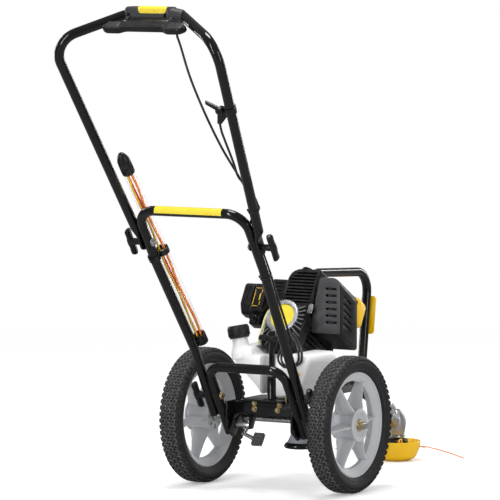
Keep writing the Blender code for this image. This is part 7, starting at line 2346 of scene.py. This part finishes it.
@dataclass
class TurnedParts:
    """The turned pieces of the chassis and the head, and small fittings on the beam."""

    foot: Sizes = (0.057, 0.032)
    dish: float = 0.066

    def build(self) -> None:
        """Builds the foot, the fittings and the head."""
        self.rest_foot()
        self.fittings()
        self.head()
        self.lines()

    def rest_foot(self) -> None:
        """The bell-shaped foot on its stalk, and its flared rim."""
        profile = [
            (0.008, 0.198), (0.008, 0.182), (0.0105, 0.181), (0.012, 0.1795), (0.015, 0.178), (0.0185, 0.1755),
            (0.0208, 0.17), (0.0225, 0.16), (0.024, 0.15), (0.0256, 0.142), (0.0274, 0.1355), (0.0298, 0.13),
            (0.0326, 0.124), (0.0352, 0.1188), (0.034, 0.1186),
        ]
        bell = Bench.turned("rest_foot_bell_turned", [(r, z) for r, z in reversed(profile)], (*self.foot, 0), UP, 72)
        Bench.finish(bell, Look.PALE_PLASTIC, "frame", "rest_foot_bell", angle=30)
        profile = [
            (0.01, 0.1075), (0.035, 0.104), (0.037, 0.1035), (0.04, 0.1042), (0.0428, 0.1058), (0.0435, 0.1075),
            (0.0434, 0.111), (0.0425, 0.1132), (0.0405, 0.116), (0.038, 0.1182), (0.034, 0.1184),
        ]
        rim = Bench.turned("rest_foot_rim_turned", profile, (*self.foot, 0), UP, 72)
        Bench.finish(rim, Look.BLACK_PAINT, "frame", "rest_foot_rim", slot="black_plastic", angle=30)

    def fittings(self) -> None:
        """Bolts with washers on the beam, the bright ring on the post, grommets on the tank."""
        bolts = []
        for x, z in ((-0.033, 0.2235), (-0.033, 0.2085), (0.042, 0.2235), (0.036, 0.2085)):
            bolts.append(Bench.turned(
                "washer", [(0.0075, 0.0), (0.0078, 0.0006), (0.0076, 0.0012)], (x, -0.052, z), REAR, 28,
            ))
            bolts.append(Bench.turned(
                "bolt_head", [(0.0062, 0.001), (0.0062, 0.0044), (0.0056, 0.0052)], (x, -0.052, z), REAR, 6,
            ))
        Bench.finish(Bench.join(*bolts, name="beam_bolts"), Look.BRASS_STEEL, "frame")
        collar = Bench.turned(
            "post_collar",
            [(0.01, 0.2935), (0.0152, 0.2935), (0.0158, 0.2942), (0.0158, 0.2965), (0.015, 0.2972), (0.01, 0.2972)],
            (0, POST_Y, 0), UP, 48,
        )
        Bench.finish(collar, Look.ZINC_STEEL, "frame")
        rings = [
            Bench.turned(
                "grommet", [(0.0052, 0.0), (0.0052, 0.003), (0.004, 0.0038), (0.0022, 0.0038)], (x, -0.0398, z), REAR,
                28,
            ) for x, z in ((-0.034, 0.319), (0.091, 0.3036))
        ]
        Bench.finish(Bench.join(*rings, name="tank_grommets"), Look.YELLOW_PLASTIC, "power")

    def head(self) -> None:
        """The gear case's rings and clamp, and the dish with its two loops and the eyelet."""
        y, r = HEAD_Y, self.dish
        profile = [
            (0.006, 0.0), (0.034, 0.0), (0.037, 0.0006), (0.05, 0.0076), (0.056, 0.016), (0.0605, 0.0265),
            (0.064, 0.037), (0.0652, 0.042), (r, 0.05), (r, 0.0528), (r - 0.0008, 0.054), (r - 0.0042, 0.054),
            (r - 0.0052, 0.0532), (r - 0.0078, 0.0482), (0.034, 0.0478), (0.0335, 0.0482), (0.006, 0.0482),
        ]
        dish = Bench.lathe("ground_dish_turned", profile, 96, closed=True)
        hub = Bench.lathe("dish_middle", [(0.0075, 0.0), (0.0075, 0.0482)], 32)
        Bench.place(dish, Matrix.Translation((0, y, 0)))
        Bench.place(hub, Matrix.Translation((0, y, 0)))
        loops = []
        for x in (0.036, 0.058):
            reach = math.sqrt(max(0.0, (r - 0.003) ** 2 - x**2))
            corners = [
                (x, y - reach + 0.004, 0.05), (x, y - reach - 0.001, 0.062), (x, y - reach + 0.016, 0.064),
                (x, y - reach + 0.018, 0.049),
            ]
            if x > 0.05:
                corners = [(x + dx, yy, zz) for dx, (_, yy, zz) in zip((0.0, 0.0015, 0.0, -0.002), corners)]
            loops.append(Bench.tube("loop", bent(corners, [0.0045, 0.0045], 12), 0.0019, 12))
        Bench.finish(Bench.join(dish, hub, *loops), Look.YELLOW_PLASTIC, "head", "ground_dish", angle=30)
        eyelet = Bench.turned(
            "line_eyelet",
            [(0.003, 0.0), (0.0052, 0.0), (0.0056, 0.0008), (0.0056, 0.0026), (0.0048, 0.0034), (0.003, 0.0034)],
            (0.025, y - 0.03, 0.052), (0.2, -1, 0.1), 24,
        )
        Bench.finish(eyelet, Look.RED_LINE, "head")
        clamp = [Bench.box("clamp_lug", (-0.0075, y - 0.043, 0.117), (0.0075, y - 0.018, 0.153), 0.002, 3)]
        clamp.append(Bench.turned(
            "clamp_bolt", [(0.0048, 0.0), (0.0048, 0.003), (0.0042, 0.0038)], (0.0075, y - 0.034, 0.139), RIGHT, 6,
        ))
        rings = [
            Bench.turned(
                "flange", [(rad - 0.003, z), (rad, z + 0.0006), (rad, z + 0.0034), (rad - 0.003, z + 0.004)],
                (0, y, 0), UP, 64,
            ) for rad, z in ((0.0268, 0.102), (0.025, 0.09), (0.0235, 0.115), (0.0225, 0.07))
        ]
        lugs = [
            Bench.turned(
                "case_bolt", [(0.0042, 0.0), (0.0042, 0.003), (0.0036, 0.0036)],
                (0.0225 * math.cos(a), y + 0.0225 * math.sin(a), 0.105), UP, 6,
            ) for a in (0.3, 1.9, 3.4, 5.0)
        ]
        Bench.finish(Bench.join(*clamp, *rings, *lugs, name="gear_case_fittings"), Look.ALUMINIUM, "power")

    def lines(self) -> None:
        """The two cutting lines, round and drooping at their ends."""
        for node, height, degrees, look in (
            ("cutting_line_across", 0.04, 0, Look.ORANGE_LINE), ("cutting_line_along", 0.034, 90, Look.PALE_LINE),
        ):
            right = [
                (x * 0.2, 0.016, height - 0.024 * max(0.0, (x - 0.36) / 0.64) ** 1.5)
                for x in (0.36, 0.5, 0.65, 0.82, 1.0)
            ]
            route = [(-x, y, z) for x, y, z in reversed(right)] + right
            line = Bench.tube(f"{node}_strand", smoothed(route, 0.01), 0.0015, 12)
            turn = Matrix.Rotation(math.radians(degrees), 4, "Z")
            Bench.finish(line, look, "head", node, where=MACHINE @ Matrix.Translation((0, HEAD_Y, 0)) @ turn)


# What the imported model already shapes


@dataclass
class CarriedNodes:
    """The CAD nodes, refined: merged, bevelled along their hard edges and shaded smooth."""

    plated: frozenset[str] = frozenset({"pedal_arm"})
    rounding: float = 0.0006
    clutch_black: Sizes = (0.05, 0.19)

    def build(self) -> None:
        """Gives every node its look, and refines each that no finer piece stands for."""
        slots = {row["node"]: row["material_slot"] for row in frame["record"]["subparts"]}
        for name, node in frame["nodes"].items():
            look = Look[slots[name].upper()]
            node.data.materials.clear()
            node.data.materials.append(Palette.get(look))
        for name in [name for name, node in frame["nodes"].items() if not node.hide_render]:
            self.refine(name, frame["nodes"][name], slots[name])

    def refine(self, name: str, node: Thing, slot: str) -> None:
        """A merged and bevelled copy that stands for one node.

        Args:
            name: the node's name.
            node: the node itself.
            slot: its material slot.
        """
        piece = Bench.link(f"{name}_finished", node.data.copy())
        Bench.edit(
            piece, lambda: bpy.ops.mesh.remove_doubles(threshold=0.00002),
            lambda: bpy.ops.mesh.dissolve_limited(angle_limit=math.radians(0.5)),
        )
        Bench.bevel(piece, self.rounding, 38)
        look = Look.ZINC_STEEL if name in self.plated else Look[slot.upper()]
        Bench.finish(piece, look, body_of(node)[0], name, where=None, slot=slot)
        if name == "clutch_housing":
            back = ENGINE.inverted()
            right, front = self.clutch_black
            Bench.second(
                piece, Look.BLACK_PLASTIC,
                lambda face: (back @ face.center).x < right and (back @ face.center).y < front,
            )


def main() -> None:
    """Builds the scene in order."""
    logging.basicConfig(level=logging.INFO, format="%(message)s")
    Stage().build()
    handles = Handles()
    handles.build()
    ClampingKnobs(handles).build()
    Wheel("left", -1, 20.5).build()
    Wheel("right", 1, 26.0).build()
    Engine().build()
    MufflerGuard().build()
    FuelTank().build()
    Controls(handles).build()
    LineStore(handles).build()
    ControlCables(handles).build()
    PowerFrame().build()
    TurnedParts().build()
    CarriedNodes().build()


if __name__ == "__main__":
    main()
